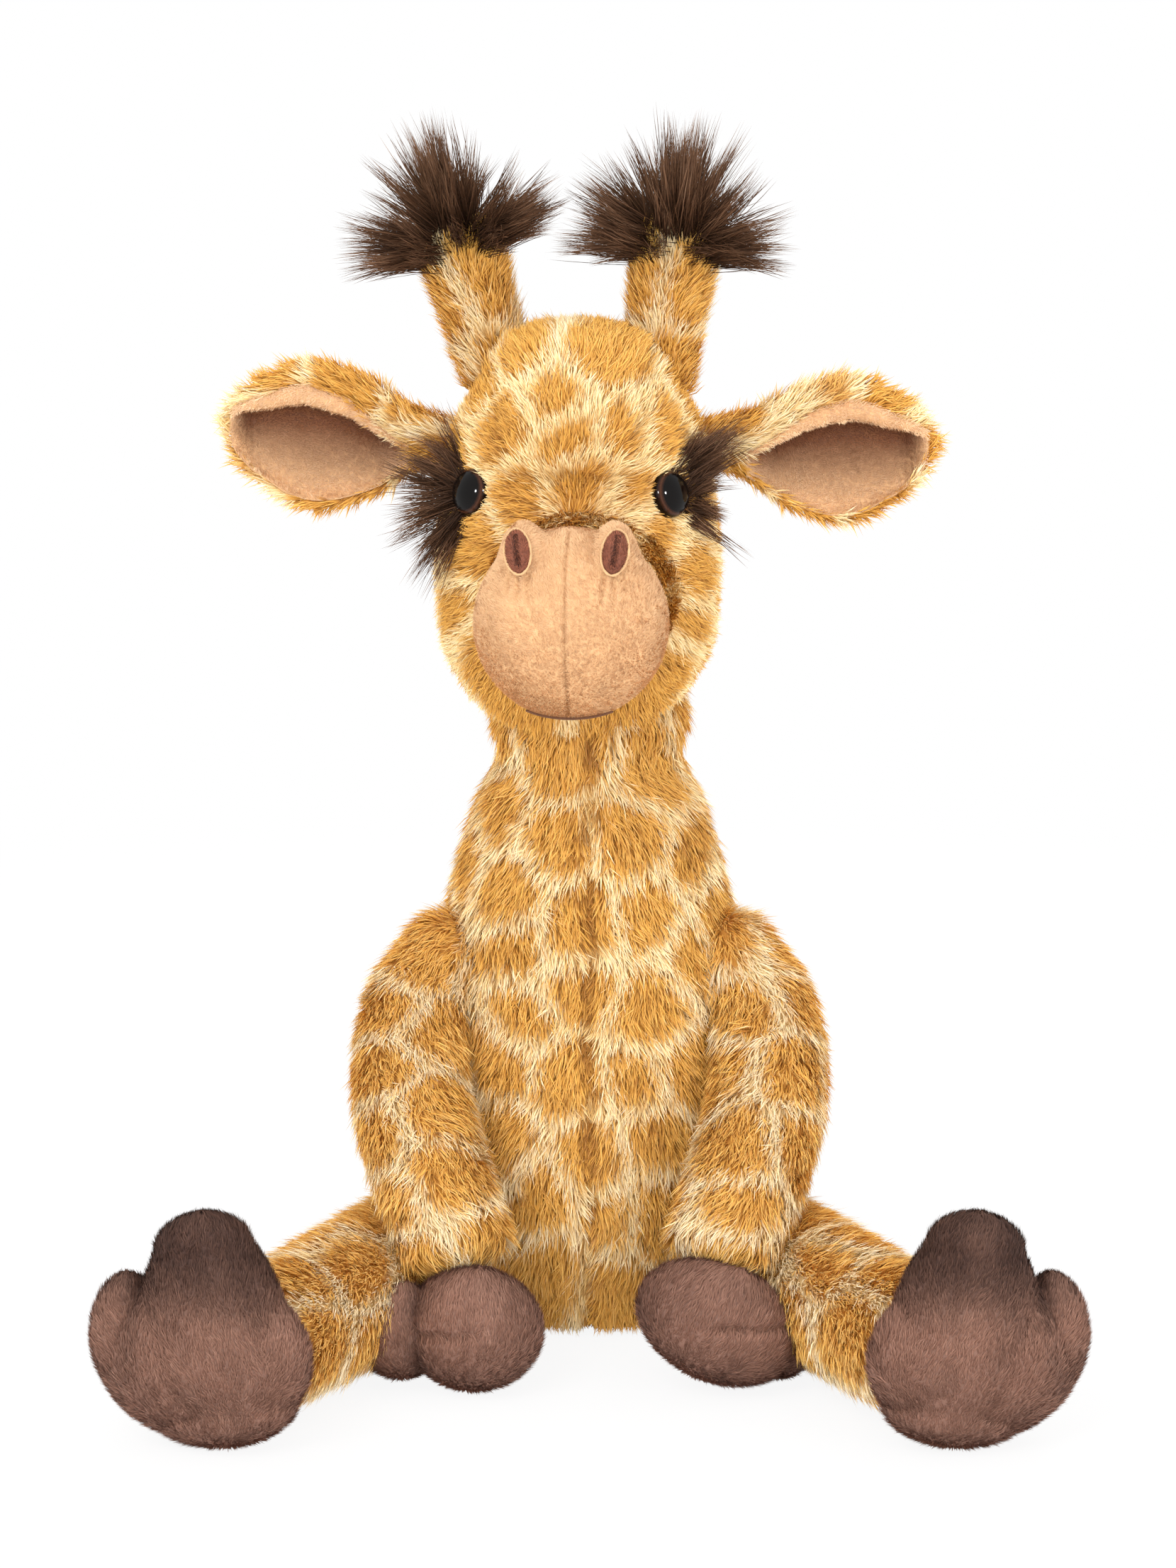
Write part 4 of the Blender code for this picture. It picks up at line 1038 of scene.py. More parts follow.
@dataclass(frozen=True)
class Pile:
    """One kind of pile: sizes in metres, leans as shares of the way from flat to upright."""

    length: float
    width: float
    density: float
    fibre: Fibre = Fibre.PILE
    lean_root: float = 0.55
    lean_tip: float = 0.22
    lock: float = 0.0035
    gather: float = 0.35
    ruffle: float = 0.30
    tone_root: float = 0.10
    tone_tip: float = 0.72
    tone_spread: float = 0.10
    uneven: float = 0.18
    ruffle_size: float = 0.035
    lean_spread: float = 0.08
    limits: tuple[float, float] = (0.15, 1.6)
    widths: tuple[float, float] = (0.75, 1.25)
    lock_ruffle: float = 0.8
    wave_ruffle: float = 1.2
    fibre_ruffle: float = 0.6
    lock_tones: float = 0.6

    def grow(
        self, roots: Roots, pattern: Array, seed: int, scale: Array | float = 1.0, darker: Array | float = 0.0
    ) -> Surface:
        """Fibres from roots, each a thin blade that narrows to a point.

        A blade's middle line starts along a direction between the comb and the normal, turns
        evenly to a flatter one, and its tip is drawn to the middle of its lock. Locks are the
        cells of a warped cubic grid.

        Args:
            roots: where the fibres grow.
            pattern: the pattern's value at each root, 0 to 1.
            seed: picks every chance.
            scale: lengths as shares of the usual length.
            darker: what comes off the tone at each root.

        Returns:
            The blades as one surface.
        """
        rng = np.random.default_rng(seed)
        count = len(roots.points)
        points = roots.points
        warp = np.stack([waves(points, self.lock * 6, seed + k) for k in range(3)], 1) * self.lock
        cells = np.floor((points + warp) / self.lock).astype(np.int64) + (1 << (CELL_BITS - 1))
        key = (cells[:, 0] << (2 * CELL_BITS)) | (cells[:, 1] << CELL_BITS) | cells[:, 2]
        _, lock, members = np.unique(key, return_inverse=True, return_counts=True)
        lock = lock.ravel()
        middle = np.stack([np.bincount(lock, points[:, k]) for k in range(3)], 1) / members[:, None]
        lock_turn = rng.normal(0, self.ruffle * self.lock_ruffle, len(members))[lock]
        lock_tone = rng.normal(0, self.tone_spread * self.lock_tones, len(members))[lock]
        turn = self.ruffle * waves(points, self.ruffle_size, seed + 7) * self.wave_ruffle + lock_turn
        turn = (turn + rng.normal(0, self.ruffle * self.fibre_ruffle, count))[:, None]
        flat = unit(roots.flow - roots.normals * (roots.flow * roots.normals).sum(1, keepdims=True))
        beside = np.cross(roots.normals, flat)
        comb = flat * np.cos(turn) + beside * np.sin(turn)
        lift = self.lean_root + rng.normal(0, self.lean_spread, (count, 1))
        lay = self.lean_tip + rng.normal(0, self.lean_spread, (count, 1))
        start = unit(comb * (1 - lift) + roots.normals * lift)
        end = unit(comb * (1 - lay) + roots.normals * lay)
        length = self.length * scale * (1 + rng.normal(0, self.uneven, count))
        length = np.clip(length, *(self.length * limit for limit in self.limits))[:, None]
        sideways = unit(np.cross(comb, roots.normals))
        roll = rng.normal(0, self.fibre.roll, (count, 1))
        sideways = sideways * np.cos(roll) + roots.normals * np.sin(roll)
        pull = (middle[lock] - points) * self.gather
        shares = np.arange(self.fibre.value + 1) / self.fibre.value
        lines = [
            points + length * (start * (s - s * s / 2) + end * (s * s / 2)) + pull * s * s for s in shares
        ]
        tone = (rng.normal(0, self.tone_spread, count) + lock_tone - darker)[:, None]
        tones = np.clip(self.tone_root + (self.tone_tip - self.tone_root) * shares + tone, 0.0, 1.0)
        width = self.width * rng.uniform(*self.widths, (count, 1))
        return blades(lines, sideways, width, pattern, tones)


def blades(lines: list[Array], sideways: Array, width: Array, pattern: Array, tones: Array) -> Surface:
    """Thin blades: two points at each place of the middle line and one at the tip.

    Args:
        lines: the middle lines' points, one array for each place.
        sideways: each blade's width direction.
        width: each blade's width at the root.
        pattern: each blade's pattern value.
        tones: the tone of each blade at each place.

    Returns:
        The blades as one surface, mapped with the pattern across and the tone up.
    """
    count, runs = len(sideways), len(lines) - 1
    size = 2 * runs + 1
    points = np.empty((count, size, 3))
    places = np.empty((count, size, 2))
    left = MAP_EDGE + MAP_ACROSS * np.clip(pattern, 0, 1)
    for k in range(runs):
        half = width * (0.5 - BLADE_TAPER * (k / runs) ** 2)
        points[:, 2 * k] = lines[k] - sideways * half
        points[:, 2 * k + 1] = lines[k] + sideways * half
        places[:, 2 * k, 0] = left - MAP_HALF_BLADE
        places[:, 2 * k + 1, 0] = left + MAP_HALF_BLADE
        places[:, 2 * k : 2 * k + 2, 1] = tones[:, k : k + 1]
    points[:, -1] = lines[-1]
    places[:, -1, 0] = left
    places[:, -1, 1] = tones[:, -1]
    places[..., 1] = MAP_EDGE + MAP_UP * places[..., 1]
    points[..., 2] = np.maximum(points[..., 2], FLOOR_CLEARANCE)
    base = (np.arange(count) * size)[:, None]
    quads = [base + np.array([2 * k, 2 * k + 1, 2 * k + 3, 2 * k + 2]) for k in range(runs - 1)]
    quads = np.stack(quads, 1).reshape(-1, 4) if quads else np.empty((0, 4), int)
    tips = base + np.array([size - 3, size - 2, size - 1])
    flat_places = places.reshape(-1, 2)
    return Surface(points.reshape(-1, 3), quads, tips, flat_places[quads], flat_places[tips])


@dataclass(frozen=True)
class Markings:
    """Patches with pale lines between: a patch is where one seed is clearly the nearest."""

    seeds: Array
    line: float = 0.0058
    soft: float = 0.0012
    stretch: Triple = (1.0, 1.0, 0.9)
    warp: float = 0.0022
    warp_size: float = 0.03

    def value(self, points: Array) -> Array:
        """The pattern at points, 1 in a patch and 0 in a line.

        Half the difference between the distances to the two nearest seeds, less half the
        line's width, is turned into a soft step.

        Args:
            points: places, one a row.

        Returns:
            One value a point.
        """
        warp = np.stack([waves(points, self.warp_size, 40 + k) for k in range(3)], 1) * self.warp
        scale = np.asarray(self.stretch)
        found = np.empty(len(points))
        for start in range(0, len(points), POINTS_AT_ONCE):
            part = ((points + warp)[start : start + POINTS_AT_ONCE]) * scale
            gaps = np.linalg.norm(part[:, None] - (self.seeds * scale)[None], axis=2)
            two = np.partition(gaps, 1, axis=1)[:, :2]
            found[start : start + POINTS_AT_ONCE] = (two[:, 1] - two[:, 0]) / 2 - self.line / 2
        return smooth_step(found / (2 * self.soft) + 0.5)


def mixed_seeds(front: Array, others: Array, gap: float) -> Array:
    """Listed seeds, and those of the others that lie farther than a gap from them."""
    near = np.linalg.norm(others[:, None] - front[None], axis=2).min(axis=1)
    return np.vstack([front, others[near > gap]])


class Maker:
    """Builds pieces, dresses them and hands them to their bodies."""

    def __init__(self) -> None:
        """Starts with no finish made and no piece counted."""
        self.looks = Looks()
        self.triangles = 0

    def add(
        self, surface: Surface, name: str, finish: Any, body: str, node: str = "", fill: float = 0.0
    ) -> None:
        """Builds one piece.

        Args:
            surface: its arrays.
            name: its object's name.
            finish: its finish.
            body: the body that it rides on.
            node: the solid that it stands for, where it stands for one.
            fill: how firmly it is stuffed; not used.
        """
        piece = surface.build(name)
        self.looks.dress(piece, finish)
        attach(piece, body)
        if node:
            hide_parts(node)
        self.triangles += 2 * len(surface.quads) + len(surface.triangles)
        LOG.info("%s rides on %s, %d triangles in all", name, body, self.triangles)

    def add_skins(self, coats: Sequence["Coat"], name: str, body: str, node: str, fill: float = 0.0) -> None:
        """Builds the skins of one solid's coats as one piece.

        Args:
            coats: the coats, all of one cloth.
            name: the piece's name.
            body: the body that it rides on.
            node: the solid that it stands for.
            fill: how firmly it is stuffed, where it is a cushion.
        """
        surface = Surface.joined([coat.skin() for coat in coats])
        self.add(surface, name, coats[0].cloth.backing, body, node, fill)

    def add_fibres(self, parts: Sequence[Surface], name: str, cloth: Cloth, body: str) -> None:
        """Builds the fibres of one area as one piece, or as several where they are many.

        Args:
            parts: the fibres.
            name: the piece's name, which gets a number where there are several.
            cloth: their cloth.
            body: the body that they ride on.
        """
        whole = Surface.joined(parts)
        count = len(whole.triangles)
        quads_each, points_each = len(whole.quads) // count, len(whole.points) // count
        shares = math.ceil(count * (2 * quads_each + 1) / MOST_TRIANGLES)
        for k in range(shares):
            first, last = count * k // shares, count * (k + 1) // shares
            quads = slice(first * quads_each, last * quads_each)
            part = Surface(
                whole.points[first * points_each : last * points_each],
                whole.quads[quads] - first * points_each,
                whole.triangles[first:last] - first * points_each,
                whole.quad_map[quads],
                whole.triangle_map[first:last],
            )
            self.add(part, f"{name}_{k + 1}" if shares > 1 else name, cloth.fibres, body)

    def add_tuft(
        self, tuft: "Tuft", core: Form, names: Sequence[str], body: str, node: str, sides: int
    ) -> None:
        """Builds long hair and the dark core that it grows from.

        Args:
            tuft: the hair.
            core: the core's form.
            names: the hair's name and the core's.
            body: the body that both ride on.
            node: the solid that they stand for.
            sides: how many sides the core has.
        """
        self.add_fibres([tuft.grow()], names[0], HAIR, body)
        self.add_skins([Coat(core, HAIR, SHORT_NAP, 0.0, 133, sides=sides)], names[1], body, node)

    def add_bag(self, node: str, name: str, body: str) -> None:
        """Builds the pellet bag that fills a solid's box."""
        self.add(pellet_bag(*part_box(node)), name, LinenFinish(), body, node, 0.8)


@dataclass
class Coat:
    """A skin on a form and the pile that grows from it.

    A shape presses details into the form's grid, and a tint gives the pattern at points.
    Roots stay out of each bare form, up to its margin.
    """

    form: Form
    cloth: Cloth
    pile: Pile
    sunk: float
    seed: int
    markings: Markings | None = None
    upstream: bool = False
    sides: int = 72
    bare: Sequence[tuple[Form, float]] = ()
    shape: Any = None
    tint: Any = None
    jitter: float = 0.0011
    blur: float = 0.05

    def surface_grid(self) -> tuple[Array, Array]:
        """The grid of the form's surface, and its normals.

        Returns:
            Rings by sides + 1 by 3, twice.
        """
        grid = self.form.grid(self.sides)
        normals = outward(grid, self.form.centres)
        if self.shape is not None:
            grid = self.shape(grid, normals)
            normals = outward(grid, self.form.centres)
        return grid, normals

    def pattern(self, points: Array) -> Array:
        """The tint's or the markings' value, or a gentle cloudiness where there is neither.

        Args:
            points: places, one a row.

        Returns:
            One value a point, 0 to 1.
        """
        if self.tint is not None:
            return self.tint(points)
        if self.markings is not None:
            return self.markings.value(points)
        return np.clip(0.05 + 0.04 * waves(points, 0.03, self.seed), 0, 1)

    def skin(self) -> Surface:
        """The closed skin, sunk below the form's surface and held above the floor.

        Returns:
            The surface, with its pattern kept at the points.
        """
        grid, normals = self.surface_grid()
        low = grid - normals * self.sunk
        low[..., 2] = np.maximum(low[..., 2], FLOOR_CLEARANCE)
        values = self.pattern(low.reshape(-1, 3)).reshape(low.shape[:2])
        return closed_surface(low, {"pattern": values})

    def roots(self) -> Roots:
        """Roots on the skin, less those inside the bare forms or on the floor.

        Returns:
            The roots.
        """
        rng = np.random.default_rng(self.seed)
        grid, normals = self.surface_grid()
        found = Roots.scattered(grid - normals * self.sunk, normals, self.pile.density, rng)
        if self.upstream:
            found.flow = -found.flow
        keep = found.points[:, 2] > ROOTS_ABOVE
        for form, margin in self.bare:
            keep &= form.depth(found.points) < margin
        return found.kept(keep)

    def fibres(self, scale: Any = None, darker: Any = None, comb: Any = None) -> Surface:
        """The pile on the skin.

        Args:
            scale: a function of roots that gives length shares.
            darker: a function of roots that gives what comes off the tone.
            comb: a function of roots that gives the combed directions.

        Returns:
            The fibres.
        """
        roots = self.roots()
        if comb is not None:
            roots.flow = comb(roots)
        rng = np.random.default_rng(self.seed + 1)
        jitter = rng.normal(0, self.jitter, roots.points.shape)
        pattern = self.pattern(roots.points + roots.flow * self.pile.length * 0.5 + jitter)
        pattern = np.clip(pattern + rng.normal(0, self.blur, len(pattern)), 0, 1)
        lengths = 1.0 if scale is None else scale(roots)
        shade = 0.0 if darker is None else darker(roots)
        return self.pile.grow(roots, pattern, self.seed + 2, lengths, shade)


LONG_PILE = Pile(
    length=0.0076, width=0.00044, density=2_050_000, lean_root=0.50, lean_tip=0.17,
    gather=0.22, lock=0.0028, tone_spread=0.085,
)
FACE_PILE = Pile(
    length=0.0056, width=0.00040, density=2_500_000, lean_root=0.48, lean_tip=0.15,
    gather=0.22, lock=0.0025, tone_root=0.04, tone_tip=0.54, tone_spread=0.075,
)
HORN_PILE = Pile(
    length=0.0070, width=0.00044, density=2_300_000, lean_root=0.55, lean_tip=0.28,
    gather=0.22, lock=0.0028, tone_root=0.16,
)
EAR_PILE = Pile(
    length=0.0066, width=0.00046, density=2_300_000, lean_root=0.42, lean_tip=0.16,
    gather=0.25, lock=0.0028,
)
TAIL_PILE = Pile(length=0.0055, width=0.0005, density=2_000_000, lean_root=0.45, lean_tip=0.2)
SHORT_NAP = Pile(
    length=0.0010, width=0.00030, density=7_000_000, fibre=Fibre.NAP, lean_root=0.50, lean_tip=0.50,
    gather=0.1, lock=0.0022, ruffle=0.45, tone_root=0.42, tone_tip=0.60, tone_spread=0.050,
)
HOOF_NAP = Pile(
    length=0.0024, width=0.00042, density=3_600_000, fibre=Fibre.NAP, lean_root=0.34, lean_tip=0.34,
    gather=0.12, lock=0.0030, ruffle=0.22, tone_root=0.22, tone_tip=0.66, tone_spread=0.12,
)


@dataclass
class Tuft:
    """Long hair in pointed locks that fan out from a base."""

    base: Array
    aims: Array
    length: float
    per_lock: int
    spread: float
    width: float = 0.00032
    droop: float = 0.15
    fray: float = 0.045
    seed: int = 1
    shares: Array | None = None
    lock_lengths: tuple[float, float] = (0.72, 1.18)
    hair_lengths: tuple[float, float] = (0.58, 1.03)
    bending: float = 0.10
    closing: float = 0.83
    closing_power: float = 1.2
    widths: tuple[float, float] = (0.8, 1.3)
    tone_root: float = 0.06
    tone_rise: float = 0.74
    tone_power: float = 1.5
    hair_tones: float = 0.10
    lock_tones: float = 0.06

    def grow(self) -> Surface:
        """The hairs of all locks.

        Each lock has one root and one aim. A hair starts beside the lock's root, follows the
        lock's line, which bends a little downwards, and closes in on it towards the tip.

        Returns:
            The hairs as one surface.
        """
        rng = np.random.default_rng(self.seed)
        locks = len(self.base)
        pick = np.repeat(np.arange(locks), self.per_lock)
        count = len(pick)
        reach = self.length * rng.uniform(*self.lock_lengths, locks)[pick]
        reach = reach * rng.uniform(*self.hair_lengths, count)
        if self.shares is not None:
            reach = reach * self.shares[pick]
        aim = unit(unit(self.aims)[pick] + rng.normal(0, self.fray, (count, 3)))
        off = rng.normal(0, self.spread, (count, 3))
        off -= aim * (off * aim).sum(1, keepdims=True)
        bend = unit(np.cross(aim, rng.normal(size=(locks, 3))[pick]))
        bend = bend * rng.normal(0, self.bending, (locks, 1))[pick]
        fall = np.array([0, 0, -1.0]) * self.droop
        shares = np.arange(Fibre.HAIR.value + 1) / Fibre.HAIR.value
        lines = []
        for s in shares:
            close = 1 - self.closing * s**self.closing_power
            lines.append(self.base[pick] + off * close + reach[:, None] * (aim * s + (bend + fall) * s * s))
        sideways = unit(np.cross(aim, rng.normal(size=(count, 3))))
        width = self.width * rng.uniform(*self.widths, (count, 1))
        tone = rng.normal(0, self.hair_tones, (count, 1)) + rng.normal(0, self.lock_tones, (locks, 1))[pick]
        tones = np.clip(self.tone_root + self.tone_rise * shares**self.tone_power + tone, 0, 1)
        return blades(lines, sideways, width, rng.uniform(size=count), tones)


@dataclass
class Torso:
    """Body and neck with their fur, the seat panel, the pellet bag and the neck's mane."""

    height: float = 0.200
    half_width: float = 0.058
    half_depth: float = 0.053
    setback: float = 0.004
    neck_radius: float = 0.033
    shares: tuple = (
        (0.000, 0.74, 0.72), (0.035, 0.90, 0.87), (0.175, 1.00, 1.00), (0.325, 0.98, 0.98),
        (0.475, 0.92, 0.90), (0.625, 0.865, 0.81), (0.750, 0.775, 0.73), (0.860, 0.66, 0.66),
        (0.940, 0.543, 0.59),
    )
    front_patches: tuple = (
        (-0.0100, 0.1884), (0.0235, 0.1832), (0.0338, 0.1950), (-0.0318, 0.1989), (-0.0306, 0.1714),
        (-0.0100, 0.1648), (0.0139, 0.1635), (0.0353, 0.1569), (-0.0269, 0.1463), (0.0211, 0.1397),
        (-0.0250, 0.1271), (-0.0035, 0.1357), (-0.0029, 0.1171), (0.0322, 0.1264), (-0.0237, 0.1091),
        (0.0212, 0.1097), (-0.0283, 0.0910), (-0.0081, 0.0863), (0.0167, 0.0883), (0.0336, 0.0863),
        (-0.0278, 0.0701), (0.0239, 0.0667), (-0.0010, 0.0580), (-0.0167, 0.0464), (0.0076, 0.0410),
        (-0.0128, 0.0219), (0.0214, 0.0376), (0.0109, 0.0171), (-0.0397, 0.1569), (0.0418, 0.1410),
    )
    patch_pitch: float = 0.028
    patch_gap: float = 0.018
    pale_line: float = 0.0036
    back_from: float = -0.012
    side_from: float = 0.048
    pile_sunk: float = 0.0032
    limb_margin: float = 0.006
    neck_room: Triple = (0.024, 0.024, 0.012)
    neck_room_lift: float = 0.020
    seam: float = 0.0021
    seam_wander: float = 0.0008
    seam_cut: float = 0.55
    seam_shade: float = 0.62
    seam_clouds: float = 0.45
    speck_shade: float = 1.15
    whole_shade: float = 0.03
    floor_run: float = 0.008
    floor_least: float = 0.6
    seat_half_width: float = 0.023
    seat_half_depth: float = 0.022
    seat_setback: float = 0.014
    seat_thickness: float = 0.0012
    mane_locks: int = 150
    mane_spread: float = 0.0020
    mane_length: float = 0.0125
    mane_margin: float = 0.002
    mane_sunk: float = 0.003
    mane_fan: float = 0.25
    mane_rise: float = 0.35
    strip_sizes: tuple[float, float] = (0.003, 0.002)
    strip_sunk: float = 0.0035

    def form(self) -> Form:
        """The stuffed form, from its flat seat to the ball at the neck's top.

        Returns:
            The form.
        """
        rows = [
            (0, self.setback, self.height * up, self.half_width * wide, self.half_depth * deep)
            for up, wide, deep in self.shares
        ]
        rows.append((0, self.setback, self.height, self.neck_radius, self.neck_radius))
        return swell(rows, LEFTWARDS, (0.0, self.neck_radius))

    def markings(self, form: Form) -> Markings:
        """Listed patches in front and even ones elsewhere.

        Args:
            form: the torso's form.

        Returns:
            The markings.
        """
        others = form.seeds(self.patch_pitch, 11)
        beyond = (others[:, 1] > self.setback + self.back_from) | (abs(others[:, 0]) > self.side_from)
        seeds = mixed_seeds(form.front(self.front_patches), others[beyond], self.patch_gap)
        return Markings(seeds, line=self.pale_line)

    def build(self, maker: Maker, limbs: Sequence[Form]) -> None:
        """Builds and dresses the torso's pieces.

        Args:
            maker: builds the pieces.
            limbs: forms whose inside stays bare.
        """
        form = self.form()
        neck_room = ball((0, self.setback, self.height + self.neck_room_lift), self.neck_room)
        bare = [*((limb, self.limb_margin) for limb in limbs), (neck_room, 0.0)]
        coat = Coat(form, FUR, LONG_PILE, self.pile_sunk, 101, self.markings(form), True, bare=bare)
        maker.add_skins([coat], "torso_skin", "torso", "torso", 0.9)

        def shorter(roots: Roots) -> Array:
            """Length shares: short along the front seam and near the floor.

            Args:
                roots: where the fibres grow.

            Returns:
                One share a root.
            """
            seam = bell(roots.points[:, 0], self.seam) * (roots.points[:, 1] < 0)
            low = np.clip(roots.points[:, 2] / self.floor_run, self.floor_least, 1)
            return (1 - self.seam_cut * seam) * low

        def darker(roots: Roots) -> Array:
            """Darker tufts along the front seam, painted shade of its crease, stronger in some places than in
            others; painted shade where the pile parts; and a little darker all over.

            Args:
                roots: where the fibres grow.

            Returns:
                What comes off the tone at each root.
            """
            x = roots.points[:, 0] + self.seam_wander * waves(roots.points, 0.02, 3)
            seam = bell(x, self.seam) * (roots.points[:, 1] < 0)
            # painted shade: the seam's crease, and the partings of the pile
            shade = seam * (self.seam_shade + self.seam_clouds * waves(roots.points, 0.009, 5))
            return shade + self.speck_shade * specks(roots) + self.whole_shade

        maker.add_fibres([coat.fibres(shorter, darker)], "torso_fur", FUR, "torso")
        self.build_seat(maker)
        self.build_mane(maker, form)

    def build_seat(self, maker: Maker) -> None:
        """The flat panel that closes the seat, and the pellet bag above it.

        Args:
            maker: builds the pieces.
        """
        thick = self.seat_thickness
        rows = [
            (0, self.seat_setback, z, self.seat_half_width * wide, self.seat_half_depth * wide)
            for z, wide in ((FLOOR_CLEARANCE, 0.97), (thick * 0.5, 1.0), (thick, 0.97))
        ]
        panel = Coat(swell(rows, LEFTWARDS, (0.0, 0.0), 6), FUR, SHORT_NAP, 0.0, 131)
        maker.add_skins([panel], "seat_cloth", "torso", "seat_panel")
        maker.add_bag("seat_pellet_bag", "seat_bag", "torso")

    def build_mane(self, maker: Maker, form: Form) -> None:
        """Long hair down the back of the neck.

        Args:
            maker: builds the pieces.
            form: the torso's form.
        """
        rng = np.random.default_rng(17)
        low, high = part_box("mane_neck")
        count = self.mane_locks
        z = rng.uniform(low.z + self.mane_margin, high.z - self.mane_margin, count)
        x = rng.normal(0, self.mane_spread, count)
        grid = form.grid(96)[:, :-1].reshape(-1, 3)
        base = nearest_in_view(grid[grid[:, 1] > self.setback], np.stack([x, z], 1))
        base = base + (0, -self.mane_sunk, 0)
        base[:, 0] = x
        beside, above = rng.normal(0, self.mane_fan, count), rng.normal(self.mane_rise, self.mane_fan, count)
        aims = np.stack([beside, np.full(count, 0.9), above], 1)
        tuft = Tuft(base, aims, self.mane_length, per_lock=34, spread=0.0012, droop=0.25, seed=19)
        middle = grid[(grid[:, 1] > form.centres[:, 1].mean()) & (abs(grid[:, 0]) < 0.006)]
        heights = np.linspace(low.z + 0.003, high.z - 0.003, 6)
        line = middle[abs(middle[None, :, 2] - heights[:, None]).argmin(axis=1)]
        rows = [(0, y - self.strip_sunk, z, *self.strip_sizes) for _, y, z in line]
        strip = swell(rows, LEFTWARDS, (self.strip_sizes[0],) * 2, 24)
        maker.add_tuft(tuft, strip, ("mane_neck_hair", "mane_neck_strip"), "torso", "mane_neck", 16)


def pellet_bag(low: Any, high: Any) -> Surface:
    """A sewn bag of pellets: a rounded pillow with small dents, inside a box.

    The radius of a squared ball is one over the fourth root of the sum of the fourth powers
    of the direction's parts; waves of pellet size dent it.

    Args:
        low: the box's lowest corner.
        high: its highest corner.

    Returns:
        The bag's surface.
    """
    centre = (np.array(low) + np.array(high)) / 2
    size = (np.array(high) - np.array(low)) / 2 * 0.96
    unit_ball = ball((0, 0, 0), (1, 1, 1)).grid(48)
    radius = 1 / np.maximum((unit_ball**4).sum(axis=2), 1e-9) ** 0.25
    squared = unit_ball * np.minimum(radius, 1.12)[..., None] / 1.12
    dents = waves(squared.reshape(-1, 3), 0.25, 9).reshape(squared.shape[:2])
    return closed_surface(centre + squared * (1 - 0.02 * abs(dents))[..., None] * size)


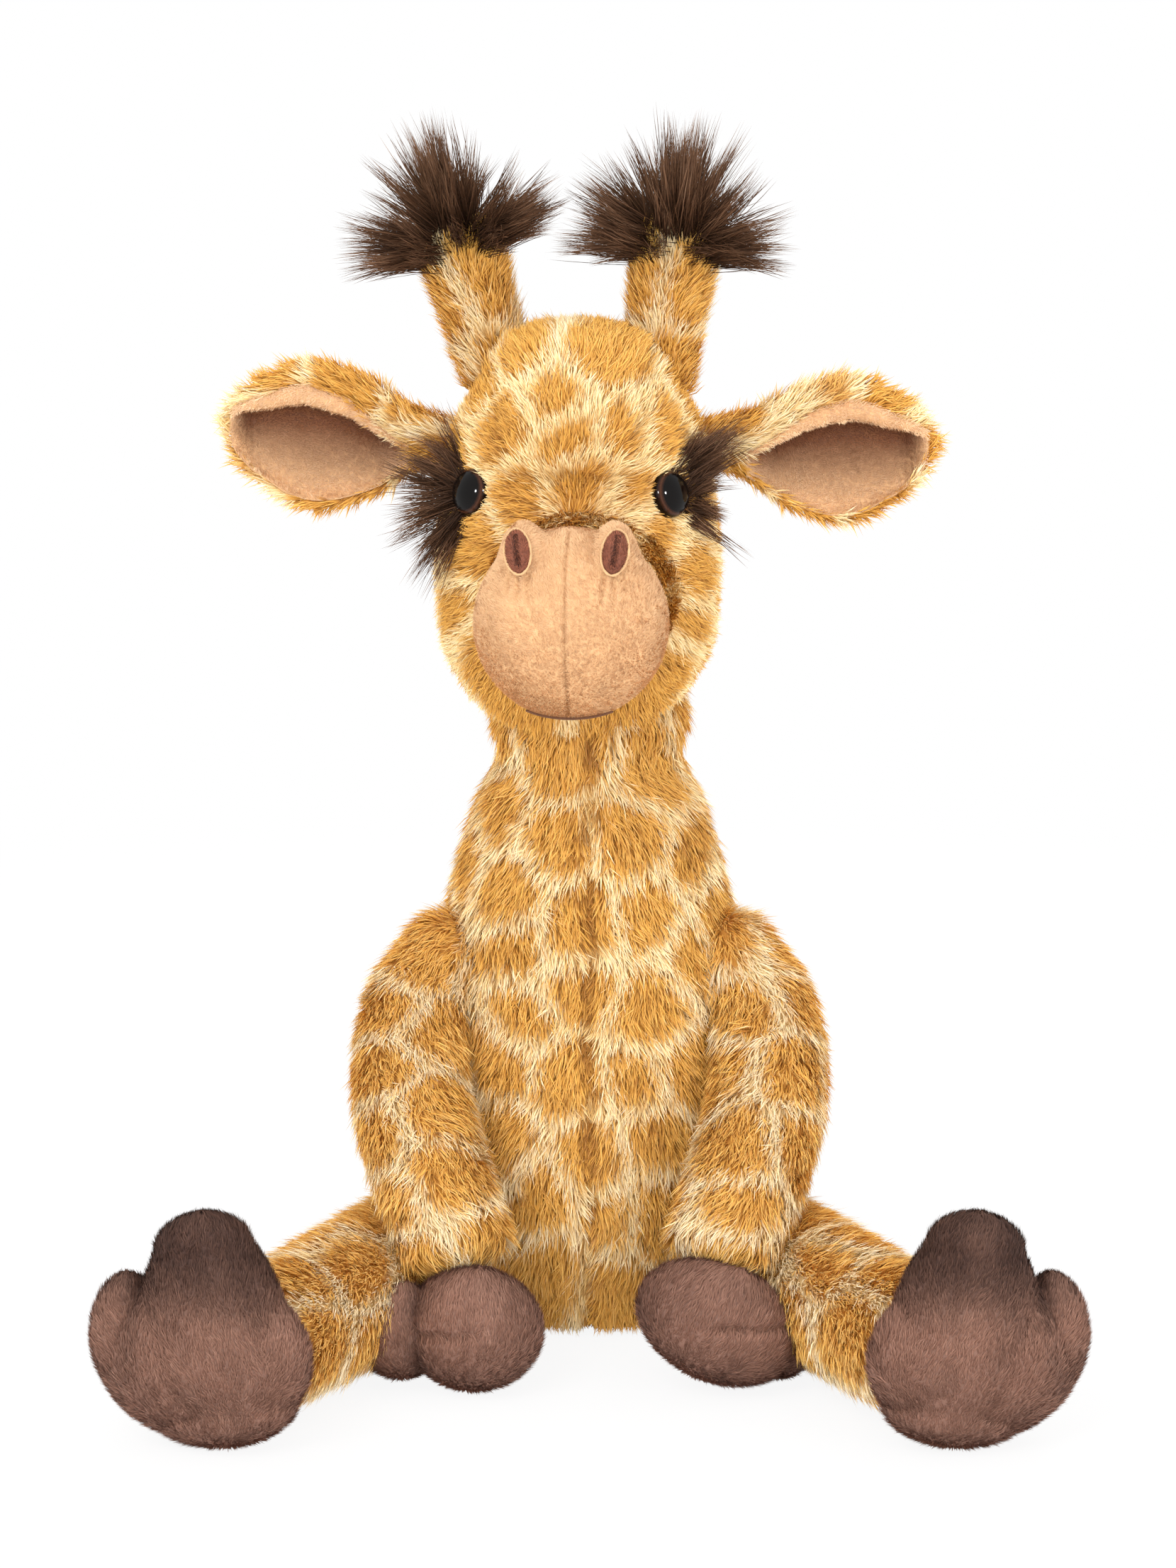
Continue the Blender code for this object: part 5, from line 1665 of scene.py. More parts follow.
@dataclass
class Head:
    """Head, snout, muzzle, nostrils, mouth, eyes with their tufts, horns and the head's mane."""

    turn: float = math.radians(-4.5)
    offset: float = -0.0035
    pivot: Triple = (0.0, 0.004, 0.200)
    height: float = 0.112
    crown: float = 0.0185
    chin: float = 0.0065
    half_width: float = 0.0472
    half_depth: float = 0.043
    reach: float = 0.007
    shares: tuple = (
        (0.095, 0.75, 0.80, 0.1), (0.165, 0.875, 0.89, 0.5), (0.270, 0.97, 0.98, 0.8),
        (0.490, 1.00, 1.00, 1.0), (0.710, 0.965, 0.99, 0.8), (0.880, 0.89, 0.92, 0.5),
        (1.000, 0.73, 0.78, 0.2),
    )
    snout_half_width: float = 0.0265
    snout_half_height: float = 0.0255
    snout_reach: float = 0.066
    snout_lift: float = 0.047
    snout_start: float = 0.30
    snout_tapers: tuple = (1.32, 1.20, 1.06, 0.90)
    muzzle_centre: Triple = (0.0, -0.074, 0.0424)
    muzzle_sizes: Triple = (0.0310, 0.0260, 0.0304)
    muzzle_blend: int = 18
    muzzle_sunk: float = 0.0007
    bump_centre: Triple = (0.0142, -0.0810, 0.0625)
    bump_sizes: Triple = (0.0078, 0.0125, 0.0134)
    nostril_aim: Triple = (0.12, -0.92, 0.36)
    nostril_sizes: Triple = (0.0039, 0.0024, 0.0070)
    nostril_sunk: float = 0.0008
    nostril_lean: float = math.radians(12)
    slit_sizes: tuple[float, float] = (0.0007, 0.0050)
    slit_tint: tuple[float, float] = (0.0009, 0.0054)
    slit_depth: float = 0.0014
    rim_gap: float = 0.0003
    rim_radius: float = 0.00042
    rim_swell: float = 0.00010
    crease_from: float = -0.078
    crease_depth: float = 0.0013
    crease_shade: float = 0.38
    nap_shade: float = 0.06
    seam_share: float = 0.7
    seam_width: float = 0.0005
    dart_width: float = 0.0007
    dart_drop: float = 0.0035
    darts: tuple = ((0.0120, 0.10, 0.012), (0.0150, 0.00, 0.009), (0.0175, -0.22, 0.007))
    mouth_reach: float = 0.0130
    mouth_dip: float = math.radians(69.0)
    mouth_curl: float = math.radians(8.0)
    mouth_proud: float = 1.012
    thread_radius: float = 0.0004
    brow_half_width: float = 0.0190
    brow_taper: float = 0.14
    brow_foot: float = 0.084
    brow_rise: float = 0.0024
    brow_drop: float = 0.8
    brow_soft: float = 0.005
    brow_behind: float = 0.012
    eye_radius: float = 0.0076
    eye_dome: float = 0.0046
    eye_rim: float = 0.0012
    eye_sunk: float = 0.0018
    lash_length: float = 0.0235
    horn_spread: float = 0.0250
    horn_foot: float = 0.108
    horn_top: float = 0.152
    horn_setback: float = 0.001
    horn_radii: tuple[float, float] = (0.0100, 0.0120)
    horn_leans: tuple[float, float] = (0.0060, 0.0130)
    tuft_length: float = 0.0385
    tuft_locks: int = 170
    lobe_turns: Triple = (0, -72, 72)
    lobe_odds: Triple = (0.46, 0.27, 0.27)
    lobe_spread: float = 15
    lowest_turn: float = 100
    nod_spread: float = 34
    tuft_root: float = 0.80
    side_loss: float = 0.22
    face_patches: tuple = (
        (-0.0183, 0.1231), (0.0086, 0.1231), (-0.0080, 0.1090), (-0.0029, 0.0974), (0.0150, 0.1000),
        (-0.0235, 0.1012), (0.0022, 0.0806), (-0.0158, 0.0780), (0.0202, 0.0793), (-0.0427, 0.0935),
        (-0.0323, 0.1128), (0.0279, 0.1000), (0.0381, 0.1077), (0.0254, 0.0689), (0.0383, 0.0545),
        (0.0408, 0.0793), (-0.0378, 0.0585), (-0.0404, 0.0415), (0.0358, 0.0349), (-0.0302, 0.0284),
        (0.0295, 0.0218),
    )
    patch_pitch: float = 0.027
    patch_gap: float = 0.016
    back_from: float = -0.012
    snout_pitch: float = 0.023
    bridge: Triple = (-0.002, -0.052, 0.070)
    face_sunk: float = 0.0035
    snout_sunk: float = 0.0020
    overlap: float = 0.005
    ear_overlap: float = 0.004
    muzzle_overlap: float = 0.0015
    nostril_room: Triple = (0.0036, 0.005, 0.0062)
    eye_run: float = 0.016
    eye_least: float = 0.72
    muzzle_run: float = 0.010
    muzzle_least: float = 0.55
    cheek_out: tuple[float, float] = (0.030, 0.012)
    cheek_below: tuple[float, float] = (0.075, 0.020)
    crown_from: tuple[float, float] = (0.112, 0.010)
    longer: float = 0.35
    panel_seam: float = 0.0014
    panel_shade: float = 0.22
    muzzle_edge: float = 0.004
    muzzle_shade: float = 0.34
    light_from: tuple[float, float] = (0.104, 0.014)
    crown_light: float = 0.15
    mane_locks: int = 210
    mane_spread: float = 0.0022
    mane_length: float = 0.0120
    strip_sizes: tuple[float, float] = (0.003, 0.002)

    def frame(self) -> Array:
        """The head's own frame, with the neck ball's middle as its zero."""
        return frame_of(self.turn, self.pivot)

    def form(self) -> Form:
        """The head without its snout.

        Returns:
            The form.
        """
        half = (self.half_width, self.half_depth)
        rows = [
            (self.offset, -self.reach * bulge, self.height * up, half[0] * wide, half[1] * deep)
            for up, wide, deep, bulge in self.shares
        ]
        return swell(rows, LEFTWARDS, (self.chin, self.crown)).placed(self.frame())

    def snout(self) -> Form:
        """The furred bridge that carries the muzzle.

        Returns:
            The form.
        """
        start, count = self.snout_start, len(self.snout_tapers) - 1
        wide, tall = self.snout_half_width, self.snout_half_height
        rows = []
        for k, taper in enumerate(self.snout_tapers):
            ahead = self.snout_reach * (start + (1 - start) * k / count)
            rows.append((0, -ahead, self.snout_lift, wide * taper, tall * taper))
        return swell(rows, LEFTWARDS, (tall * start, tall * start)).placed(self.frame())

    def muzzle(self) -> Form:
        """The muzzle bulb."""
        return ball(self.muzzle_centre, self.muzzle_sizes).placed(self.frame())

    def local(self, points: Array) -> Array:
        """Points in the head's own frame."""
        frame = self.frame()
        return (points - frame[:3, 3]) @ frame[:3, :3]

    def world(self, points: Array) -> Array:
        """Points of the head's own frame, in the toy's."""
        frame = self.frame()
        return points @ frame[:3, :3].T + frame[:3, 3]

    def eye_frames(self) -> dict[Side, tuple[Array, Array]]:
        """Each eye's middle and outward direction, read from the solid's own shape.

        Returns:
            Middle and direction by side.
        """
        found = {}
        for side in Side:
            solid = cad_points(f"eye_{side.word}")
            middle = solid.mean(axis=0)
            spread = np.linalg.svd(solid - middle)[2]
            away = middle - np.array([self.pivot[0], self.pivot[1], middle[2]])
            axis = spread[np.argmax(abs(spread @ unit(away)))]
            axis = axis * np.sign(axis @ away)
            top = ((solid - middle) @ axis).max()
            found[side] = (middle + axis * (top - self.eye_dome - self.eye_rim), axis)
        return found

    def build(self, maker: Maker, ears: Sequence[Form]) -> None:
        """Builds and dresses the head's pieces.

        Args:
            maker: builds the pieces.
            ears: the ears' forms, whose inside stays bare.
        """
        head, snout, muzzle = self.form(), self.snout(), self.muzzle()
        eyes = self.eye_frames()
        others = head.seeds(self.patch_pitch, 23)
        others = others[self.local(others)[:, 1] > self.back_from]
        seeds = mixed_seeds(head.front(self.world_places(self.face_patches)), others, self.patch_gap)
        markings = Markings(seeds, line=0.0044, soft=0.0016, stretch=(1, 0.8, 1))
        plain = Markings(snout.seeds(self.snout_pitch, 38), line=0.0030)
        eye_balls = [(ball(c, (self.eye_radius,) * 3), 0.0) for c, _ in eyes.values()]
        coats = [
            Coat(head, FUR, FACE_PILE, self.face_sunk, 201, markings, shape=self.brow),
            Coat(snout, FUR, FACE_PILE, self.snout_sunk, 211, plain),
        ]
        coats[0].bare = [(snout, self.overlap), (muzzle, 0.0), *eye_balls]
        coats[0].bare += [(ear, self.ear_overlap) for ear in ears]
        coats[1].bare = [(head, self.overlap), (muzzle, self.muzzle_overlap), *eye_balls]
        maker.add_skins(coats, "head_skin", "head", "head", 0.9)

        def scale(roots: Roots) -> Array:
            """Length shares: short near eyes and muzzle, long low on the cheeks and on the crown.

            Args:
                roots: where the fibres grow.

            Returns:
                One share a root.
            """
            gaps = [np.linalg.norm(roots.points - c, axis=1) for c, _ in eyes.values()]
            near_eye = np.clip(np.minimum(*gaps) / self.eye_run, self.eye_least, 1)
            edge = np.clip(-muzzle.depth(roots.points) / self.muzzle_run, self.muzzle_least, 1)
            place = self.local(roots.points)
            cheek = rising(abs(place[:, 0]), *self.cheek_out) * falling(place[:, 2], *self.cheek_below)
            crown = rising(place[:, 2], *self.crown_from)
            return near_eye * edge * (1 + self.longer * cheek + self.longer * crown)

        def darker(roots: Roots) -> Array:
            """Painted shade in the crease along the forehead's panel and where the fur meets the muzzle,
            painted shade where the pile parts, and painted light on the crown.

            Args:
                roots: where the fibres grow.

            Returns:
                What comes off the tone at each root.
            """
            place = self.local(roots.points)
            # painted shade at the panel's crease, at the muzzle's edge and in the partings; painted light on
            # the crown
            seam = bell(self.brow_edge(place), self.panel_seam) * (place[:, 1] < 0)
            edge = bell(np.maximum(-muzzle.depth(roots.points), 0), self.muzzle_edge)
            light = self.crown_light * rising(place[:, 2], *self.light_from)
            return self.panel_shade * seam + self.muzzle_shade * edge - light + specks(roots)

        def combed(roots: Roots) -> Array:
            """Fur that lies away from the bridge of the nose over the whole head."""
            away = (self.local(roots.points) - self.bridge) @ self.frame()[:3, :3].T
            return unit(away - roots.normals * (away * roots.normals).sum(1, keepdims=True))

        fur = [coats[0].fibres(scale, darker, combed), coats[1].fibres(scale, darker)]
        maker.add_fibres(fur, "head_fur", FUR, "head")
        self.build_muzzle(maker, snout)
        self.build_eyes(maker, eyes)
        for side in Side:
            self.build_horn(maker, side, head)
        self.build_mane(maker)

    def brow_edge(self, place: Array) -> Array:
        """How far places of the head's own frame lie outside the forehead's sewn-in panel.

        Args:
            place: points in the head's own frame.

        Returns:
            Distances, below zero inside the panel.
        """
        half = self.brow_half_width + self.brow_taper * (place[..., 2] - self.brow_foot)
        below = (self.brow_foot - place[..., 2]) * self.brow_drop
        return np.maximum(abs(place[..., 0] - self.offset) - half, below)

    def brow(self, grid: Array, normals: Array) -> Array:
        """Raises the forehead's panel, with a soft edge.

        Args:
            grid: the surface's points.
            normals: their unit normals.

        Returns:
            The raised points.
        """
        place = self.local(grid.reshape(-1, 3)).reshape(grid.shape)
        inside = smooth_step(0.5 - self.brow_edge(place) / self.brow_soft)
        inside = inside * (place[..., 1] < self.brow_behind)
        return grid + normals * (self.brow_rise * inside)[..., None]

    def world_places(self, places: Sequence[tuple[float, float]]) -> Array:
        """Places given as x and z in the head's own frame, in the toy's."""
        flat = np.array([(x, -0.045, z) for x, z in places])
        return self.world(flat)[:, [0, 2]]

    def nostril_frame(self, side: Side) -> tuple[Array, Array]:
        """A nostril's middle, and its right, outward and upward directions as columns.

        Args:
            side: which nostril.

        Returns:
            The middle, and a 3 by 3 array.
        """
        aim = unit(np.array(self.nostril_aim) * side.flip)
        out = unit(aim / self.bump_sizes)
        centre = self.bump_centre * side.flip + aim * self.bump_sizes - out * self.nostril_sunk
        lean = np.array([side.value * math.sin(self.nostril_lean), 0, math.cos(self.nostril_lean)])
        up = unit(lean - out * (lean @ out))
        columns = self.frame()[:3, :3] @ np.stack([np.cross(out, up), out, up], 1)
        return self.world(centre[None])[0], columns

    def muzzle_reach(self, grid: Array) -> Array:
        """The muzzle's surface: the ball and the two nostril bumps blended into one.

        A ray from the ball's middle leaves each ellipsoid at the larger root of a quadratic. The
        surface lies at the power mean of those distances, which is close to the largest.

        Args:
            grid: the ball's points.

        Returns:
            The points moved along their rays.
        """
        middle = np.array(self.muzzle_centre)
        rays = unit(self.local(grid.reshape(-1, 3)) - middle)
        total = np.zeros(len(rays))
        bumps = [(self.bump_centre * side.flip, self.bump_sizes) for side in Side]
        for centre, sizes in [(middle, self.muzzle_sizes), *bumps]:
            u = rays / sizes
            w = (middle - centre) / sizes
            uu, uw, ww = (u * u).sum(1), (u * w).sum(1), float(w @ w) - 1
            root = uw**2 - uu * ww
            reach = np.where(root > 0, (-uw + np.sqrt(np.maximum(root, 0))) / uu, 0)
            total += np.maximum(reach, 0) ** self.muzzle_blend
        return self.world(middle + rays * (total ** (1 / self.muzzle_blend))[:, None]).reshape(grid.shape)

    def build_muzzle(self, maker: Maker, snout: Form) -> None:
        """The muzzle with its seam and darts, the nostrils and the mouth.

        Args:
            maker: builds the pieces.
            snout: the snout's form, inside which the nap stays bare.
        """
        spots = {side: self.nostril_frame(side) for side in Side}

        def shape(grid: Array, normals: Array) -> Array:
            """The blended surface with the seam and the darts pressed in.

            Args:
                grid: the surface's points.
                normals: their unit normals.

            Returns:
                The pressed points.
            """
            blended = self.muzzle_reach(grid)
            press = self.creases(blended.reshape(-1, 3)).reshape(grid.shape[:2])
            return blended - normals * (self.crease_depth * press)[..., None]

        coat = Coat(self.muzzle(), PLUSH, SHORT_NAP, self.muzzle_sunk, 231, sides=200, shape=shape)
        coat.bare = [(snout, self.muzzle_overlap)]
        coat.bare += [(ball(middle, self.nostril_room, turn), 0.0) for middle, turn in spots.values()]
        maker.add_skins([coat], "muzzle_skin", "head", "muzzle", 0.95)

        def darker(roots: Roots) -> Array:
            """Painted shade in the seam and the darts, on nap a little darker all over."""
            return self.nap_shade + self.crease_shade * self.creases(roots.points)

        maker.add_fibres([coat.fibres(None, darker)], "muzzle_nap", PLUSH, "head")
        for side, (middle, columns) in spots.items():
            self.build_nostril(maker, f"nostril_{side.word}", middle, columns)
        self.build_mouth(maker)

    def creases(self, points: Array) -> Array:
        """How much a point lies in the muzzle's middle seam or in a dart, 0 to 1.

        Args:
            points: places, one a row.

        Returns:
            One value a point.
        """
        place = self.local(points)
        ahead = place[:, 1] < self.crease_from
        drop = self.bump_centre[2] - self.dart_drop - place[:, 2]
        found = self.seam_share * bell(place[:, 0], self.seam_width) * ahead
        for side in Side:
            for start, lean, long in self.darts:
                across = place[:, 0] - side.value * (start - lean * drop)
                dart = bell(across, self.dart_width) * falling(drop, long, long) * (drop > -0.002) * ahead
                found = found + dart
        return np.clip(found, 0, 1)

    def build_nostril(self, maker: Maker, node: str, centre: Array, turned: Array) -> None:
        """An almond patch of brown plush with a dark slit, inside a raised peach rim.

        Args:
            maker: builds the pieces.
            node: the solid that it stands for.
            centre: its middle.
            turned: its right, outward and upward directions as columns.
        """
        right, out, up = turned.T

        def slit(points: Array, wide: float, tall: float) -> Array:
            """1 in a narrow upright slit of the patch and 0 beside it."""
            return bell((points - centre) @ right, wide) * (abs((points - centre) @ up) < tall)

        coat = Coat(ball(centre, self.nostril_sizes, turned), NOSTRIL, SHORT_NAP, 0.0002, 241, sides=64)
        coat.shape = lambda grid, normals: (
            grid - out * (self.slit_depth * slit(grid, *self.slit_sizes))[..., None]
        )
        coat.tint = lambda points: slit(points, *self.slit_tint)
        maker.add_skins([coat], f"{node}_skin", "head", node)
        maker.add_fibres([coat.fibres()], f"{node}_nap", NOSTRIL, "head")
        turn = np.linspace(0, 2 * np.pi, 41)
        wide, tall = (self.nostril_sizes[k] + self.rim_gap for k in (0, 2))
        path = centre + out * 0.0002 + np.outer(np.cos(turn) * wide, right)
        path = path + np.outer(np.sin(turn) * tall, up)
        tube = ring_tube(path, self.rim_radius + self.rim_swell * np.sin(turn * 9), out)
        maker.add(tube, f"{node}_rim", PLUSH.backing, "head")

    def build_mouth(self, maker: Maker) -> None:
        """The stitched mouth along a curve low on the muzzle's front.

        Args:
            maker: builds the pieces.
        """
        x = np.linspace(-self.mouth_reach, self.mouth_reach, 15)
        dip = self.mouth_dip - self.mouth_curl * (x / self.mouth_reach) ** 2
        wide, deep, tall = self.muzzle_sizes
        z = -tall * np.sin(dip)
        y = -deep * np.sqrt(1 - (x / wide) ** 2 - (z / tall) ** 2)
        line = np.stack([x, y, z], 1) * self.mouth_proud + self.muzzle_centre
        rows = [(*point, self.thread_radius, self.thread_radius) for point in self.world(line)]
        coat = Coat(swell(rows, UPWARDS, (0.0007, 0.0007), 60), NOSTRIL, SHORT_NAP, 0.0, 251, sides=12)
        maker.add(coat.skin(), "mouth_thread", ThreadFinish(), "head", "mouth_stitch")

    def build_eyes(self, maker: Maker, eyes: dict[Side, tuple[Array, Array]]) -> None:
        """Domed eyes with a shank, each with its fan of dark hair.

        Args:
            maker: builds the pieces.
            eyes: each eye's middle and outward direction.
        """
        shank = [(0.0, -0.0085), (0.0020, -0.0085), (0.0021, 0.0)]
        for side, (outer, axis) in eyes.items():
            seat = outer - axis * self.eye_sunk
            t = np.linspace(0, np.pi / 2, 20)
            rings = [(self.eye_radius * np.cos(v), self.eye_rim + self.eye_dome * np.sin(v)) for v in t]
            profile = [*shank, (self.eye_radius, 0.0), *rings]
            shares = np.array([r / self.eye_radius for r, _ in profile])
            shares[: len(shank)] = 1.0
            made = turned_grid(profile, seat, axis, 64)
            dome = closed_surface(made, {"ring": np.repeat(shares[:, None], made.shape[1], 1)})
            maker.add(dome, f"eye_{side.word}_dome", EyeFinish(), "head", f"eye_{side.word}")
            self.build_lash(maker, side, seat, axis)
            maker.looks.dress(frame["nodes"][f"eye_washer_{side.word}"], WasherFinish())

    def build_lash(self, maker: Maker, side: Side, seat: Array, axis: Array) -> None:
        """Long dark hair that fans from the outer side of an eye.

        Args:
            maker: builds the pieces.
            side: which eye.
            seat: the eye's middle.
            axis: its outward direction.
        """
        rng = np.random.default_rng(300 + side.value)
        up = unit(np.array(UPWARDS) - axis * axis[2])
        out = unit(np.cross(up, axis))
        out = out * np.sign(out[0] * side.value)
        if side is Side.LEFT:
            angle = (rng.uniform(-0.2, 1.2, 30), rng.uniform(-0.7, 0.3, 16), [-0.85, -0.7])
            aim = (rng.normal(0.60, 0.15, 30), rng.uniform(-0.7, 0.3, 16), [-0.9, -0.8])
            shares = (rng.triangular(0.6, 1.1, 1.65, 30), rng.uniform(0.50, 0.8, 16), [1.0, 1.15])
        else:
            angle = aim = (rng.uniform(-1.25, 0.85, 42), [-1.3, 0.9])
            shares = (rng.uniform(0.8, 1.2, 42), [1.2, 1.2])
        angle, aim, shares = (np.concatenate(parts) for parts in (angle, aim, shares))
        radius = self.eye_radius * rng.uniform(0.92, 1.25, (len(angle), 1))
        base = seat + (out * np.cos(angle)[:, None] + up * np.sin(angle)[:, None]) * radius - axis * 0.001
        lean = rng.uniform(0.35, 0.85, (len(angle), 1))
        aims = out * np.cos(aim)[:, None] + up * (np.sin(aim) * 1.15)[:, None] + axis * lean
        tuft = Tuft(
            base, aims, self.lash_length, per_lock=34, spread=0.0016, width=0.00024, droop=0.06,
            fray=0.06, seed=310 + side.value, shares=shares,
        )
        core = ball(base.mean(axis=0) - axis * 0.001, (0.0032, 0.0032, 0.0075))
        names = [f"lash_{side.word}_{part}" for part in ("hair", "root")]
        maker.add_tuft(tuft, core, names, "head", f"lash_tuft_{side.word}", 24)

    def build_horn(self, maker: Maker, side: Side, head: Form) -> None:
        """A furred horn and the fan of long hair on it.

        Args:
            maker: builds the pieces.
            side: which horn.
            head: the head's form, inside which the horn stays bare.
        """
        s, name = side.value, f"horn_{side.word}"
        spread = self.horn_spread + side.pick(self.horn_leans)
        foot = np.array([self.offset + s * self.horn_spread, self.horn_setback, self.horn_foot])
        top = np.array([self.offset + s * spread, self.horn_setback, self.horn_top])
        low, high = self.horn_radii
        rows = []
        for along in (0.0, 0.35, 0.70, 1.0, 1.08):
            radius = low + (high - low) * along**2
            rows.append((*(foot + (top - foot) * along), radius, radius))
        form = swell(rows, LEFTWARDS, (low, low / 2), 30).placed(self.frame())
        markings = Markings(form.seeds(0.026, 31 + s), line=0.003)
        coat = Coat(form, FUR, HORN_PILE, 0.0006, 400 + s, markings, sides=40, bare=[(head, 0.003)])
        maker.add_skins([coat], f"{name}_skin", "head", name, 0.9)
        maker.add_fibres([coat.fibres()], f"{name}_fur", FUR, "head")
        self.build_horn_tuft(maker, side, self.world(foot[None])[0], self.world(top[None])[0])

    def build_horn_tuft(self, maker: Maker, side: Side, foot: Array, top: Array) -> None:
        """Long dark hair in spiky locks, from straight up to a little below level.

        Args:
            maker: builds the pieces.
            side: the horn's side.
            foot: the middle of the horn's foot.
            top: the middle of its top.
        """
        rng = np.random.default_rng(420 + side.value)
        rise = unit(top - foot)
        first = unit(np.cross(rise, (0, 1, 0)))
        second = np.cross(rise, first)
        count = self.tuft_locks
        lobe = rng.choice(3, count, p=self.lobe_odds)
        swing = np.choose(lobe, [rng.normal(turn, self.lobe_spread, count) for turn in self.lobe_turns])
        level = math.degrees(math.atan2(rise[0], rise[2])) * np.sign(first[0])
        swing = np.radians(np.clip(swing, -self.lowest_turn - level, self.lowest_turn - level))
        nod = np.radians(rng.normal(0, self.nod_spread, count))
        ahead, beside, across = np.cos(swing) * np.cos(nod), np.sin(swing) * np.cos(nod), np.sin(nod)
        aims = rise * ahead[:, None] + first * beside[:, None] + second * across[:, None]
        reach = self.horn_radii[1] * self.tuft_root
        base = top + first * (np.sin(swing) * reach * rng.uniform(0.3, 1.0, count))[:, None]
        base = base + second * (np.sin(nod) * reach)[:, None]
        base = base + rise * (np.cos(swing) * 0.004 + 0.002)[:, None]
        tuft = Tuft(
            base, aims, self.tuft_length, per_lock=38, spread=0.0021, width=0.00025, droop=0.02,
            fray=0.038, seed=430 + side.value, shares=1.0 - self.side_loss * (np.sin(swing) ** 2),
        )
        core = ball(top + rise * 0.004, (reach, reach, 0.0065))
        names = [f"horn_{side.word}_{part}" for part in ("hair", "hair_root")]
        maker.add_tuft(tuft, core, names, "head", f"horn_tuft_{side.word}", 32)

    def build_mane(self, maker: Maker) -> None:
        """Long hair from the crown down the back of the head.

        Args:
            maker: builds the pieces.
        """
        rng = np.random.default_rng(27)
        local = self.local(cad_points("mane_head"))
        hub = np.array([self.offset, 0.0, self.height * 0.52])
        turn = np.arctan2(local[:, 2] - hub[2], local[:, 1])
        places = np.linspace(turn.min() + 0.1, turn.max() - 0.1, 9)
        line = np.array([local[abs(turn - p) < 0.2].mean(axis=0) for p in places])
        count = self.mane_locks
        along = rng.uniform(0, len(line) - 1, count)
        base = np.stack([np.interp(along, np.arange(len(line)), line[:, k]) for k in range(3)], 1)
        away = unit(base - hub)
        crown = rising(along[:, None], 5.5, 2)
        base = base - away * (0.003 - 0.0038 * crown)
        base[:, 0] = self.offset + rng.normal(0, self.mane_spread, count)
        aims = away + np.array([0, 0.55, -0.25]) + rng.normal(0, 0.24, base.shape)
        aims = aims @ self.frame()[:3, :3].T
        base = self.world(base)
        tuft = Tuft(base, aims, self.mane_length, per_lock=28, spread=0.0013, droop=0.2, seed=29)
        rows = [(*p, *self.strip_sizes) for p in self.world(line + unit(hub - line) * 0.003)]
        strip = swell(rows, LEFTWARDS, (self.strip_sizes[0],) * 2, 30)
        maker.add_tuft(tuft, strip, ("mane_head_hair", "mane_head_strip"), "head", "mane_head", 16)


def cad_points(node: str) -> Array:
    """The corner points of a solid, in the toy's frame.

    Args:
        node: the solid's name.

    Returns:
        Its points, one a row.
    """
    mesh = frame["nodes"][node].data
    flat = np.empty(len(mesh.vertices) * 3, dtype=np.float32)
    mesh.vertices.foreach_get("co", flat)
    return flat.reshape(-1, 3).astype(float)


def turned_grid(profile: Sequence[tuple[float, float]], seat: Array, axis: Array, sides: int) -> Array:
    """A profile of radius and height carried round an axis.

    Args:
        profile: radius and height at each place.
        seat: the middle of height zero.
        axis: the unit direction of the height.
        sides: how many points go round.

    Returns:
        Rings by sides + 1 by 3.
    """
    first = unit(np.cross(axis, (0.0, 0.0, 1.0)))
    second = np.cross(axis, first)
    turn = np.linspace(0, 2 * np.pi, sides + 1)
    radius = np.array([r for r, _ in profile])[:, None, None]
    height = np.array([h for _, h in profile])[:, None, None]
    ring = np.cos(turn)[:, None] * first + np.sin(turn)[:, None] * second
    return seat + radius * ring[None] + height * axis


def ring_tube(path: Array, radius: Array, facing: Array) -> Surface:
    """A tube along a closed path, as rings that meet at a hidden seam.

    Args:
        path: points of the path, the last the same as the first.
        radius: the tube's radius at each point.
        facing: the direction square to the path's plane.

    Returns:
        The tube's surface.
    """
    out = unit(path - path[:-1].mean(axis=0))
    turn = np.linspace(0, 2 * np.pi, 13)
    ring = np.cos(turn)[None, :, None] * out[:, None] + np.sin(turn)[None, :, None] * facing
    grid = path[:, None] + ring * radius[:, None, None]
    ends = [np.repeat(path[k][None, None], 13, 1) for k in (0, -1)]
    whole = np.concatenate([ends[0], grid, ends[1]])
    return closed_surface(whole, {"pattern": np.zeros(whole.shape[:2])})


